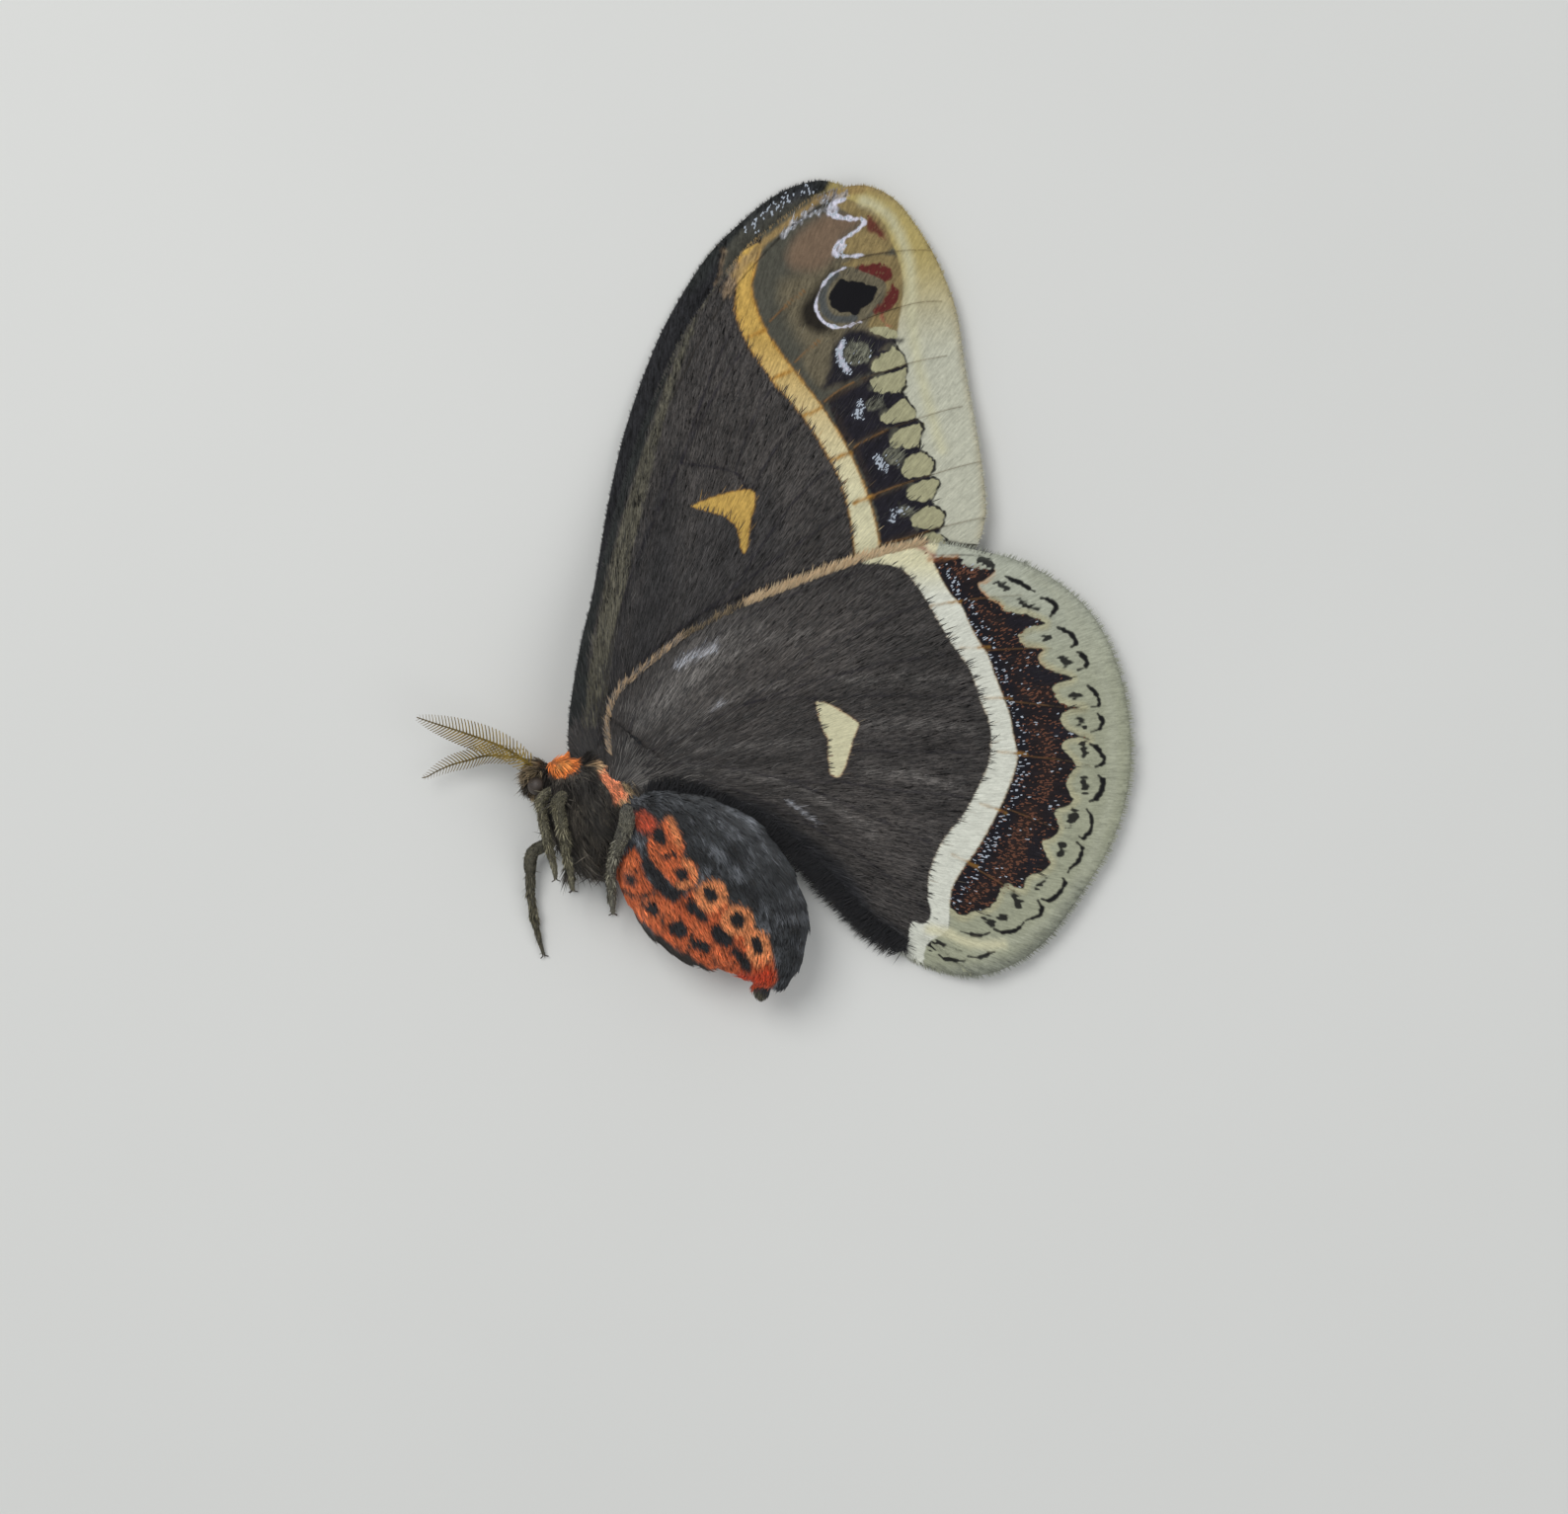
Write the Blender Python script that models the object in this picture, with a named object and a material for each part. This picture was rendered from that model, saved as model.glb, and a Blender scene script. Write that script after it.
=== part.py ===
"""A calleta silkmoth, life size, lying on its right side with its wings closed over its back.

The body's left side faces up (+Z). The head points to -X, the wing tips to +Y.
Plan sizes below are in millimetres from the middle of the whole moth; MM turns them into metres.
"""

import math

import bmesh
import bpy
from mathutils import Matrix, Vector
from mathutils.geometry import delaunay_2d_cdt

MM = 0.001

MOTH = "silkmoth"
CUTTERS = "cutters"

# The gap that two touching nodes keep, and the distance below which points of one mesh are merged.
GAP = 0.3
WELD = 0.002

# Wings: sheet thickness, height and half width of a vein's ridge, and the mesh spacings.
WING_THICK = 0.5
RIDGE_HIGH = 0.15
RIDGE_HALF_WIDE = 0.45
RIM_STEP = 1.7
VEIN_STEP = 3.0
FILL_STEP = 3.4
ROW_STEP = 2.96
VEIN_TO_RIM = 0.6
VEIN_TO_VEIN = 0.7
SIDE_TO_VEINS = 0.36
SIDE_TO_OTHERS = 0.35
FILL_TO_RIM = 1.3
FILL_TO_OTHERS = 1.5
ON_VEIN = 0.1

# The wing hinge on the back, and how far from it the closed wings still spread round the body.
HINGE = Vector((-15.5, -15.5))
SPREAD_RADIUS = 20.0

# Heights of each wing's middle at the hinge and out in the stack, from the floor up.
RIGHT_HIND_LEVELS = (1.9, 0.40)
RIGHT_FORE_LEVELS = (2.9, 1.35)
LEFT_FORE_LEVELS = (6.1, 2.15)
LEFT_HIND_LEVELS = (7.1, 3.10)

# Forewings sink towards their tips, past the hind pair; the left hindwing sinks below the forewings' hind edge.
TIP_SINK = 0.9
TIP_SINK_FROM = 6.0
TIP_SINK_TO = 26.0
HIND_SINK = 1.6
HIND_SINK_REACH = 14.0
FORE_EDGE_START = Vector((-12.2, -13.7))
FORE_EDGE_END = Vector((18.2, 3.9))

# The right pair lies a little turned and drawn in against the left pair, so its front edge shows.
RIGHT_FORE_PIVOT = Vector((-15.3, -4.5))
RIGHT_FORE_TURN = math.radians(4.5)
RIGHT_FORE_SHRINK = 0.975
RIGHT_HIND_TURN = math.radians(-0.5)
RIGHT_HIND_SHRINK = 0.975

# Front edge, tip, outer edge, hind corner, hind edge and root of the forewing.
FOREWING_OUTLINE = [
    (-18.6, -14.0), (-17.6, -5.3), (-15.9, 1.5), (-14.0, 9.2), (-12.0, 15.5), (-9.3, 21.7),
    (-7.0, 25.8), (-3.3, 30.8), (0.2, 33.9), (4.0, 36.4), (7.4, 37.3), (9.6, 36.9), (11.7, 35.4),
    (14.2, 31.8), (15.7, 28.7), (16.8, 25.4), (17.5, 20.8), (18.6, 14.5), (19.3, 9.4), (19.3, 6.6),
    (18.0, 3.6), (12.3, 0.2), (5.0, -3.9), (-4.0, -9.0), (-10.5, -14.4), (-13.0, -17.8), (-16.5, -18.6),
]

# Shoulder lobe, front edge, round outer edge, hind corner, inner edge and root of the hindwing.
HINDWING_OUTLINE = [
    (-14.9, -15.2), (-15.1, -12.0), (-14.3, -9.5), (-12.3, -7.5), (-8.6, -4.4), (-3.0, -1.3),
    (3.2, 1.2), (9.0, 3.3), (13.5, 4.4), (18.9, 3.6), (22.9, 2.5), (26.8, 0.2), (29.7, -2.9),
    (31.7, -7.4), (32.7, -12.8), (32.5, -18.0), (31.0, -23.0), (28.3, -27.6), (25.0, -32.0),
    (21.6, -34.4), (18.0, -35.3), (14.4, -34.5), (11.8, -33.0), (8.0, -30.2), (4.3, -26.4),
    (0.6, -22.9), (-3.4, -20.2), (-8.6, -18.2), (-11.5, -18.6), (-15.0, -19.2),
]

FOREWING_VEINS = [
    [(-16.7, -13.0), (-16.1, -8.2), (-14.7, -0.1), (-12.6, 9.0), (-10.2, 16.2), (-7.4, 22.6), (-3.6, 28.9), (2.6, 34.4)],
    [(-16.2, -13.7), (-14.4, -3.7), (-12.2, 3.5), (-8.6, 11.7), (-5.8, 19.8), (-2.2, 27.1), (3.2, 33.0), (8.6, 35.3)],
    [(-8.6, 11.7), (-4.5, 19.8), (-1.0, 24.1), (4.4, 29.2), (7.6, 30.8), (12.9, 31.6)],
    [(-3.6, 10.8), (0.4, 19.6), (5.2, 23.6), (8.4, 25.2), (15.0, 26.5)],
    [(-2.5, 8.5), (0.5, 13.5), (3.3, 16.7), (7.6, 19.3), (10.2, 20.4), (16.2, 21.5)],
    [(-2.2, 2.6), (2.2, 9.2), (5.9, 12.4), (11.0, 15.5), (17.1, 16.8)],
    [(-4.0, -0.1), (3.2, 5.3), (7.8, 8.4), (11.5, 10.1), (17.8, 11.6)],
    [(-6.3, -1.9), (1.4, 1.3), (7.7, 3.4), (13.4, 5.3), (17.8, 6.6)],
    [(-16.0, -14.2), (-11.7, -6.4), (-6.3, -1.9), (-4.0, -0.1), (-2.2, 2.6), (-2.0, 5.6), (-2.5, 8.5), (-3.6, 10.8), (-8.6, 11.7)],
    [(-14.6, -14.8), (-3.1, -6.8), (10.5, 0.9), (16.6, 3.9)],
]

HINDWING_VEINS = [
    [(-13.8, -14.6), (-11.7, -10.1), (-7.2, -5.5), (0.5, -1.0), (7.7, 1.7), (15.4, 3.2)],
    [(-2.7, -10.5), (4.1, -5.5), (10.5, -2.4), (15.5, -1.2), (22.6, -0.4), (26.4, -0.8)],
    [(-2.7, -10.5), (4.1, -8.2), (10.5, -6.6), (16.8, -5.6), (24.4, -5.2), (29.6, -5.6)],
    [(3.2, -9.9), (10.5, -9.6), (19.2, -9.9), (26.2, -10.6), (31.2, -11.2)],
    [(5.5, -14.6), (12.3, -14.7), (20.2, -14.9), (27.2, -15.6), (31.4, -16.8)],
    [(5.5, -17.3), (10.5, -18.2), (18.5, -19.1), (25.9, -21.8), (29.6, -23.8)],
    [(1.4, -17.3), (8.7, -20.5), (15.5, -23.7), (21.8, -27.4), (25.6, -29.9)],
    [(-12.9, -15.1), (-9.1, -13.9), (-2.7, -10.5), (3.2, -9.9), (5.2, -11.9), (5.5, -14.6), (5.5, -17.3), (1.4, -17.3), (-5.8, -15.9), (-12.2, -15.9)],
    [(-11.8, -16.6), (-4.0, -18.0), (5.9, -22.9), (13.2, -28.6), (17.6, -33.8)],
]

# Thorax: middle, half sizes (across the body axis, back to belly, side to side) and turn in plan.
THORAX_MIDDLE = Vector((-16.6, -19.6, 4.0))
THORAX_HALF = (4.3, 6.0, 4.3)
THORAX_TURN = math.radians(8.0)

# Raised hair pads on the thorax: the shoulder collar and the hind stripe, given for the upper (left) side
# and mirrored to the other.
COLLAR_MIDDLE = Vector((-19.1, -16.0, 6.0))
COLLAR_HALF = (1.9, 1.3, 1.3)
STRIPE_MIDDLE = Vector((-14.4, -18.0, 6.5))
STRIPE_HALF = (0.75, 2.4, 1.1)
STRIPE_TURN = math.radians(32.0)

# Head: middle and half sizes; the eyes' radius and offset from the head's middle; the palps.
HEAD_MIDDLE = Vector((-21.5, -17.1, 4.0))
HEAD_HALF = (1.3, 1.7, 1.9)
EYE_RADIUS = 0.88
EYE_OFFSET = Vector((0.0, -0.7, 1.3))
PALP_OFFSET = Vector((-0.2, -1.3, 0.5))
PALP_REACH = Vector((-0.2, -0.9, 0.1))
PALP_RADIUS = 0.35
PALP_TIP_RADIUS = 0.15

# Abdomen: stations of its axis with half width in plan and half height, from the thorax to the tip.
ABDOMEN_STATIONS = [
    (-13.8, -20.0, 2.8, 2.8), (-12.8, -20.8, 3.9, 3.9), (-10.9, -22.3, 5.5, 4.7), (-8.4, -24.4, 6.8, 5.1),
    (-5.8, -26.9, 7.3, 5.2), (-3.2, -29.6, 6.6, 4.9), (-1.6, -31.8, 5.5, 4.3), (-0.8, -33.8, 3.9, 3.4),
    (-0.6, -35.4, 2.5, 2.3), (-0.7, -36.1, 1.5, 1.5),
]
ABDOMEN_LEVEL = 4.9
ABDOMEN_RINGS = 30
ABDOMEN_SIDES = 22
ABDOMEN_END = 0.3
ABDOMEN_SEGMENTS = 7
SEGMENT_STEP = 0.22
TIP_LOBE_MIDDLE = Vector((-1.2, -36.65, 4.5))
TIP_LOBE_HALF = (0.8, 0.78, 0.95)

# Antennae: points of each shaft, and how far its upper and lower row of branches tilt out of the plane.
ANTENNAE = {
    "antenna_left": (
        [(-21.5, -16.2, 5.2), (-22.4, -15.5, 5.5), (-23.6, -14.7, 5.8), (-25.4, -13.9, 6.0), (-27.3, -13.1, 6.0),
         (-29.2, -12.5, 5.9), (-31.1, -11.9, 5.7), (-32.4, -11.6, 5.5)],
        math.radians(-48.0), math.radians(8.0),
    ),
    "antenna_right": (
        [(-21.6, -16.2, 2.9), (-22.9, -15.5, 2.8), (-24.8, -15.0, 2.6), (-26.3, -15.0, 2.5), (-27.5, -15.2, 2.4),
         (-28.6, -15.5, 2.3), (-30.6, -16.2, 2.2), (-31.7, -16.8, 2.1), (-32.4, -17.1, 2.0)],
        math.radians(-40.0), math.radians(-40.0),
    ),
}
SHAFT_RADIUS = 0.27
SHAFT_TIP_RADIUS = 0.21
BRANCHES = 15
BRANCH_LONG = 2.2
BRANCH_SHORT = 0.45
BRANCH_ROOT_RADIUS = 0.2
BRANCH_TIP_RADIUS = 0.05
BRANCH_SINK = 0.03
BRANCH_LEAN = math.radians(60.0)
BRANCH_START = 0.14
BRANCH_END = 0.93
BRANCH_ARC = (0.14, 0.84)

# Legs: points of each leg's middle line with the leg's radius there, root first.
LEGS = {
    "foreleg_left": [
        (-19.4, -17.8, 6.0, 0.45), (-20.8, -18.8, 6.8, 0.52), (-20.9, -19.8, 7.0, 0.52), (-20.8, -21.0, 7.1, 0.50),
        (-20.4, -23.0, 6.8, 0.46), (-19.9, -25.1, 6.3, 0.40), (-19.8, -26.1, 5.9, 0.28),
    ],
    "midleg_left": [
        (-18.4, -18.4, 7.2, 0.55), (-19.4, -19.3, 8.5, 0.62), (-19.1, -21.0, 8.5, 0.62), (-18.8, -22.5, 8.1, 0.57),
        (-18.7, -24.0, 7.5, 0.45), (-18.4, -25.6, 6.8, 0.34), (-18.2, -27.1, 6.0, 0.28),
    ],
    "hindleg_left": [
        (-13.2, -19.8, 8.4, 0.65), (-13.2, -21.3, 9.5, 0.75), (-14.0, -23.3, 9.0, 0.62), (-14.5, -24.7, 8.2, 0.50),
        (-14.7, -26.1, 7.4, 0.45), (-14.6, -27.7, 6.6, 0.40), (-14.6, -29.2, 5.8, 0.30),
    ],
    "foreleg_right": [
        (-18.6, -21.6, 2.8, 0.50), (-20.9, -23.2, 2.3, 0.60), (-22.1, -23.9, 1.9, 0.62), (-22.4, -24.9, 1.7, 0.62),
        (-22.4, -26.3, 1.4, 0.54), (-22.4, -27.8, 1.1, 0.42), (-22.2, -29.4, 0.9, 0.34), (-21.9, -31.0, 0.7, 0.32),
        (-21.5, -32.6, 0.5, 0.28), (-21.3, -33.3, 0.4, 0.26),
    ],
    "midleg_right": [
        (-17.6, -22.3, 2.8, 0.55), (-18.6, -24.6, 2.0, 0.55), (-18.7, -26.0, 1.4, 0.45), (-18.6, -27.3, 0.7, 0.30),
    ],
    "hindleg_right": [
        (-15.8, -22.6, 2.8, 0.55), (-15.2, -25.6, 1.9, 0.50), (-15.0, -27.6, 1.2, 0.42), (-14.9, -29.4, 0.6, 0.30),
    ],
}
LEG_STEPS = 2
LEG_SIDES = 8
CLAW_LENGTH = 0.45
CLAW_SPREAD = 0.7
CLAW_ROOT = 0.3
CLAW_RADIUS = 0.16
CLAW_TIP_RADIUS = 0.04

COLOURS = {
    "wing": (0.030, 0.026, 0.024, 1.0),
    "body": (0.040, 0.034, 0.030, 1.0),
    "abdomen": (0.560, 0.120, 0.030, 1.0),
    "leg": (0.075, 0.066, 0.048, 1.0),
    "eye": (0.060, 0.035, 0.035, 1.0),
    "antenna": (0.330, 0.230, 0.090, 1.0),
}


def clear_scene():
    for obj in list(bpy.data.objects):
        bpy.data.objects.remove(obj)


def material(name):
    found = bpy.data.materials.get(name)
    if found:
        return found
    made = bpy.data.materials.new(name)
    made.use_nodes = True
    shader = made.node_tree.nodes["Principled BSDF"]
    shader.inputs["Base Color"].default_value = COLOURS[name]
    shader.inputs["Roughness"].default_value = 0.25 if name == "eye" else 0.85
    shader.inputs["Metallic"].default_value = 0.0
    return made


def collection(name):
    found = bpy.data.collections.get(name)
    if found:
        return found
    made = bpy.data.collections.new(name)
    made.hide_render = name == CUTTERS
    bpy.context.scene.collection.children.link(made)
    return made


def place(obj, home=MOTH):
    """Moves an object into one collection only."""
    for old in list(obj.users_collection):
        old.objects.unlink(obj)
    collection(home).objects.link(obj)
    return obj


def mesh_object(name, points, faces):
    """A mesh object from points in millimetres."""
    mesh = bpy.data.meshes.new(name)
    mesh.from_pydata([Vector(p) * MM for p in points], [], faces)
    mesh.update()
    return place(bpy.data.objects.new(name, mesh))


def smooth_curve(points, steps, closed=False):
    """Points on a Catmull-Rom curve through the given ones, which may have any number of coordinates."""
    size = len(points)
    curve = []
    spans = size if closed else size - 1
    for i in range(spans):
        ends = [i - 1, i, i + 1, i + 2]
        ends = [e % size for e in ends] if closed else [min(max(e, 0), size - 1) for e in ends]
        before, start, end, after = (points[e] for e in ends)
        for s in range(steps):
            t = s / steps
            curve.append(tuple(
                0.5 * (2 * b + (c - a) * t + (2 * a - 5 * b + 4 * c - d) * t * t + (3 * b - a - 3 * c + d) * t ** 3)
                for a, b, c, d in zip(before, start, end, after)
            ))
    if not closed:
        curve.append(tuple(points[-1]))
    return curve


def resampled(points, step, closed=False):
    """The same line with points about one step apart, as 2D vectors."""
    line = [Vector(p) for p in points]
    if closed:
        line.append(line[0])
    lengths = [(b - a).length for a, b in zip(line, line[1:])]
    total = sum(lengths)
    count = max(2, round(total / step))
    found = []
    span, passed = 0, 0.0
    for k in range(count if closed else count + 1):
        at = total * k / count
        while span < len(lengths) - 1 and passed + lengths[span] < at:
            passed += lengths[span]
            span += 1
        share = (at - passed) / max(lengths[span], 1e-9)
        found.append(line[span].lerp(line[span + 1], min(share, 1.0)))
    return found


def distance_to_line(point, line):
    best = math.inf
    for a, b in zip(line, line[1:]):
        along = b - a
        share = min(max((point - a).dot(along) / max(along.length_squared, 1e-12), 0.0), 1.0)
        best = min(best, (point - a - along * share).length)
    return best


def inside(point, outline):
    crossings = False
    for a, b in zip(outline, outline[1:] + outline[:1]):
        if (a.y > point.y) != (b.y > point.y):
            if point.x < a.x + (b.x - a.x) * (point.y - a.y) / (b.y - a.y):
                crossings = not crossings
    return crossings


def ramp(value, low, high):
    """0 below low, 1 above high, with a smooth rise between."""
    t = min(max((value - low) / (high - low), 0.0), 1.0)
    return t * t * (3 - 2 * t)


def turned(points, pivot, angle, shrink):
    """Plan points turned about a pivot and drawn in towards it."""
    turn = Matrix.Rotation(angle, 2)
    return [tuple(pivot + turn @ (Vector(p) - pivot) * shrink) for p in points]


def wing_level(levels, point, sink):
    """Height of a wing's middle surface at a plan point."""
    at_hinge, outside = levels
    near = math.exp(-((point - HINGE).length / SPREAD_RADIUS) ** 2)
    return outside + (at_hinge - outside) * near - sink(point) * (1 - near)


def tip_sink(point):
    return TIP_SINK * ramp(point.y, TIP_SINK_FROM, TIP_SINK_TO)


def hind_sink(point):
    along = (FORE_EDGE_END - FORE_EDGE_START).normalized()
    below = (point - FORE_EDGE_START).dot(Vector((along.y, -along.x)))
    return HIND_SINK * ramp(below, 0.0, HIND_SINK_REACH)


def no_sink(point):
    return 0.0


def wing_plan(outline, veins):
    """Triangles of a wing in plan, with points on its rim, along its veins and between them."""
    rim = resampled(smooth_curve(outline, 6, closed=True), RIM_STEP, closed=True)
    lines = [resampled(smooth_curve(v, 4), VEIN_STEP) for v in veins]
    points = list(rim)
    edges = []

    def clear(point, least_rim, least):
        if not inside(point, rim) or distance_to_line(point, rim + rim[:1]) < least_rim:
            return False
        return all((point - p).length > least for p in points[len(rim):])

    for line in lines:
        last = None
        for point in line:
            if not clear(point, VEIN_TO_RIM, VEIN_TO_VEIN):
                last = None
                continue
            points.append(point)
            if last is not None:
                edges.append((last, len(points) - 1))
            last = len(points) - 1
    for line in lines:
        for a, b in zip(line, line[1:]):
            across = Vector((a.y - b.y, b.x - a.x)).normalized() * RIDGE_HALF_WIDE
            for point in (a + across, a - across):
                away = min(distance_to_line(point, other) for other in lines)
                if clear(point, VEIN_TO_RIM, SIDE_TO_OTHERS) and away > SIDE_TO_VEINS:
                    points.append(point)
    low = Vector((min(p.x for p in rim), min(p.y for p in rim)))
    high = Vector((max(p.x for p in rim), max(p.y for p in rim)))
    rows = int((high.y - low.y) / ROW_STEP) + 1
    columns = int((high.x - low.x) / FILL_STEP) + 2
    for row in range(rows):
        for column in range(columns):
            point = low + Vector(((column + 0.5 * (row % 2)) * FILL_STEP, row * ROW_STEP))
            if clear(point, FILL_TO_RIM, FILL_TO_OTHERS):
                points.append(point)
    found = delaunay_2d_cdt(points, edges, [list(range(len(rim)))], 1, 1e-5)
    return found[0], found[2], lines


def wing(name, outline, veins, levels, sink, ridge_side):
    """A closed wing sheet. ridge_side is 1 where the veins stand out upwards and -1 where they point down."""
    plan, triangles, lines = wing_plan(outline, veins)
    count = len(plan)
    top, bottom = [], []
    for point in plan:
        middle = wing_level(levels, point, sink)
        ridge = RIDGE_HIGH if min(distance_to_line(point, line) for line in lines) < ON_VEIN else 0.0
        high = middle + WING_THICK / 2 + (ridge if ridge_side > 0 else 0.0)
        low = max(middle - WING_THICK / 2 - (ridge if ridge_side < 0 else 0.0), 0.0)
        top.append((point.x, point.y, max(high, low + WING_THICK)))
        bottom.append((point.x, point.y, low))
    sides = {(a, b) for face in triangles for a, b in zip(face, list(face[1:]) + [face[0]])}
    faces = [tuple(face) for face in triangles]
    faces += [tuple(count + i for i in reversed(face)) for face in triangles]
    for a, b in sorted(sides):
        if (b, a) not in sides:
            faces += [(b, a, count + a), (b, count + a, count + b)]
    obj = mesh_object(name, top + bottom, faces)
    tidy(obj)
    obj.data.materials.append(material("wing"))
    return obj


def tidy(obj):
    """Merges doubled points, turns the faces outwards and keeps only the largest closed surface."""
    work = bmesh.new()
    work.from_mesh(obj.data)
    bmesh.ops.remove_doubles(work, verts=work.verts, dist=WELD * MM)
    bmesh.ops.recalc_face_normals(work, faces=work.faces)
    left = set(work.faces)
    shells = []
    while left:
        shell, front = [], [left.pop()]
        while front:
            face = front.pop()
            shell.append(face)
            for edge in face.edges:
                for other in edge.link_faces:
                    if other in left:
                        left.discard(other)
                        front.append(other)
        shells.append(shell)
    shells.sort(key=len)
    for shell in shells[:-1]:
        bmesh.ops.delete(work, geom=shell, context="FACES")
    work.to_mesh(obj.data)
    work.free()


def applied(obj):
    """Replaces an object's mesh by its evaluated one and drops its modifiers."""
    graph = bpy.context.evaluated_depsgraph_get()
    mesh = bpy.data.meshes.new_from_object(obj.evaluated_get(graph))
    obj.modifiers.clear()
    obj.data = mesh
    tidy(obj)
    return obj


def fuse(obj, pieces):
    """Joins closed pieces to an object in one Boolean union and removes them."""
    group = collection("pieces_of_" + obj.name)
    for piece in pieces:
        place(piece, group.name)
    join = obj.modifiers.new("join", "BOOLEAN")
    join.operation = "UNION"
    join.operand_type = "COLLECTION"
    join.collection = group
    join.solver = "MANIFOLD"
    applied(obj)
    for piece in pieces:
        bpy.data.objects.remove(piece)
    bpy.data.collections.remove(group)
    return obj


def carve(obj, cutters):
    """Cuts an object clear of each cutter."""
    for cutter in cutters:
        cut = obj.modifiers.new("cut", "BOOLEAN")
        cut.operation = "DIFFERENCE"
        cut.object = cutter
        cut.solver = "MANIFOLD"
    return applied(obj)


def as_cutter(obj):
    """Puts an object among the cutters, which aren't part of the moth."""
    place(obj, CUTTERS)
    obj.hide_render = True
    obj.display_type = "WIRE"
    return obj


def ellipsoid(name, middle, half, turn=0.0, sides=20, rings=12, grow=0.0, floor=True):
    """A sphere primitive stretched to half sizes, turned in plan, and flat where it meets the floor."""
    bpy.ops.mesh.primitive_uv_sphere_add(segments=sides, ring_count=rings, radius=1.0)
    obj = place(bpy.context.object)
    obj.name = name
    size = Matrix.Diagonal([(h + grow) * MM for h in half] + [1.0])
    obj.data.transform(Matrix.Translation(middle * MM) @ Matrix.Rotation(turn, 4, "Z") @ size)
    if floor:
        for vert in obj.data.vertices:
            vert.co.z = max(vert.co.z, 0.0)
    obj.data.shade_smooth()
    return obj


def mirrored(middle):
    """The same place on the moth's right side, across its middle plane."""
    return Vector((middle.x, middle.y, 2 * THORAX_MIDDLE.z - middle.z))


def thorax(name, grow=0.0, floor=True):
    body = ellipsoid(name, THORAX_MIDDLE, THORAX_HALF, THORAX_TURN, 28, 18, grow, floor)
    pads = []
    for side, put in (("left", Vector), ("right", mirrored)):
        pads.append(ellipsoid("collar_" + side, put(COLLAR_MIDDLE), COLLAR_HALF, 0.0, 14, 8, grow))
        pads.append(ellipsoid("stripe_" + side, put(STRIPE_MIDDLE), STRIPE_HALF, STRIPE_TURN, 14, 8, grow))
    fuse(body, pads)
    body.data.materials.append(material("body"))
    return body


def abdomen(name, grow=0.0, floor=True):
    """A loft along the bent body axis, stepped where each segment overlaps the next."""
    line = smooth_curve(ABDOMEN_STATIONS, 12)
    points, faces = [], []
    for ring in range(ABDOMEN_RINGS):
        share = ring / (ABDOMEN_RINGS - 1)
        at = share * (len(line) - 1)
        i = min(int(at), len(line) - 2)
        x, y, wide, high = (a + (b - a) * (at - i) for a, b in zip(line[i], line[i + 1]))
        along = (Vector(line[i + 1][:2]) - Vector(line[i][:2])).normalized()
        across = Vector((-along.y, along.x))
        step = SEGMENT_STEP * ((share * ABDOMEN_SEGMENTS) % 1.0 - 0.5)
        for side in range(ABDOMEN_SIDES):
            angle = 2 * math.pi * side / ABDOMEN_SIDES
            plan = Vector((x, y)) + across * math.cos(angle) * (wide + step + grow)
            level = ABDOMEN_LEVEL + math.sin(angle) * (high + step + grow)
            points.append((plan.x, plan.y, max(level, 0.0) if floor else level))
    for ring in range(ABDOMEN_RINGS - 1):
        for side in range(ABDOMEN_SIDES):
            a = ring * ABDOMEN_SIDES + side
            b = ring * ABDOMEN_SIDES + (side + 1) % ABDOMEN_SIDES
            faces.append((a, b, b + ABDOMEN_SIDES, a + ABDOMEN_SIDES))
    for ring, outwards in ((0, -1), (ABDOMEN_RINGS - 1, 1)):
        first = ring * ABDOMEN_SIDES
        x, y = line[0][:2] if ring == 0 else line[-1][:2]
        end = 0 if ring == 0 else len(line) - 1
        along = (Vector(line[max(end, 1)][:2]) - Vector(line[max(end, 1) - 1][:2])).normalized()
        tip = Vector((x, y)) + along * outwards * (ABDOMEN_END + grow)
        points.append((tip.x, tip.y, ABDOMEN_LEVEL))
        hub = len(points) - 1
        for side in range(ABDOMEN_SIDES):
            faces.append((hub, first + side, first + (side + 1) % ABDOMEN_SIDES))
    obj = mesh_object(name, points, faces)
    tidy(obj)
    obj.data.shade_smooth()
    obj.data.materials.append(material("abdomen"))
    return obj


def tube(name, stations, steps, sides):
    """A round tube along (x, y, z, radius) stations, closed at both ends."""
    line = smooth_curve(stations, steps)
    data = bpy.data.curves.new(name, "CURVE")
    data.dimensions = "3D"
    data.bevel_depth = MM
    data.bevel_resolution = sides // 4
    data.use_fill_caps = True
    spline = data.splines.new("POLY")
    spline.points.add(len(line) - 1)
    for point, (x, y, z, radius) in zip(spline.points, line):
        point.co = (x * MM, y * MM, z * MM, 1.0)
        point.radius = radius
    guide = bpy.data.objects.new(name + "_guide", data)
    bpy.context.scene.collection.objects.link(guide)
    graph = bpy.context.evaluated_depsgraph_get()
    mesh = bpy.data.meshes.new_from_object(guide.evaluated_get(graph))
    obj = place(bpy.data.objects.new(name, mesh))
    obj.matrix_world = guide.matrix_world
    bpy.data.objects.remove(guide)
    tidy(obj)
    return obj


def cone(name, root, tip, radius, tip_radius=0.0, sides=5):
    """A tapered spike from root to tip, in millimetres."""
    along = tip - root
    bpy.ops.mesh.primitive_cone_add(
        vertices=sides, radius1=radius * MM, radius2=tip_radius * MM, depth=along.length * MM
    )
    obj = place(bpy.context.object)
    obj.name = name
    aim = along.to_track_quat("Z", "Y").to_matrix().to_4x4()
    obj.data.transform(Matrix.Translation((root + along / 2) * MM) @ aim)
    return obj


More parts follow.
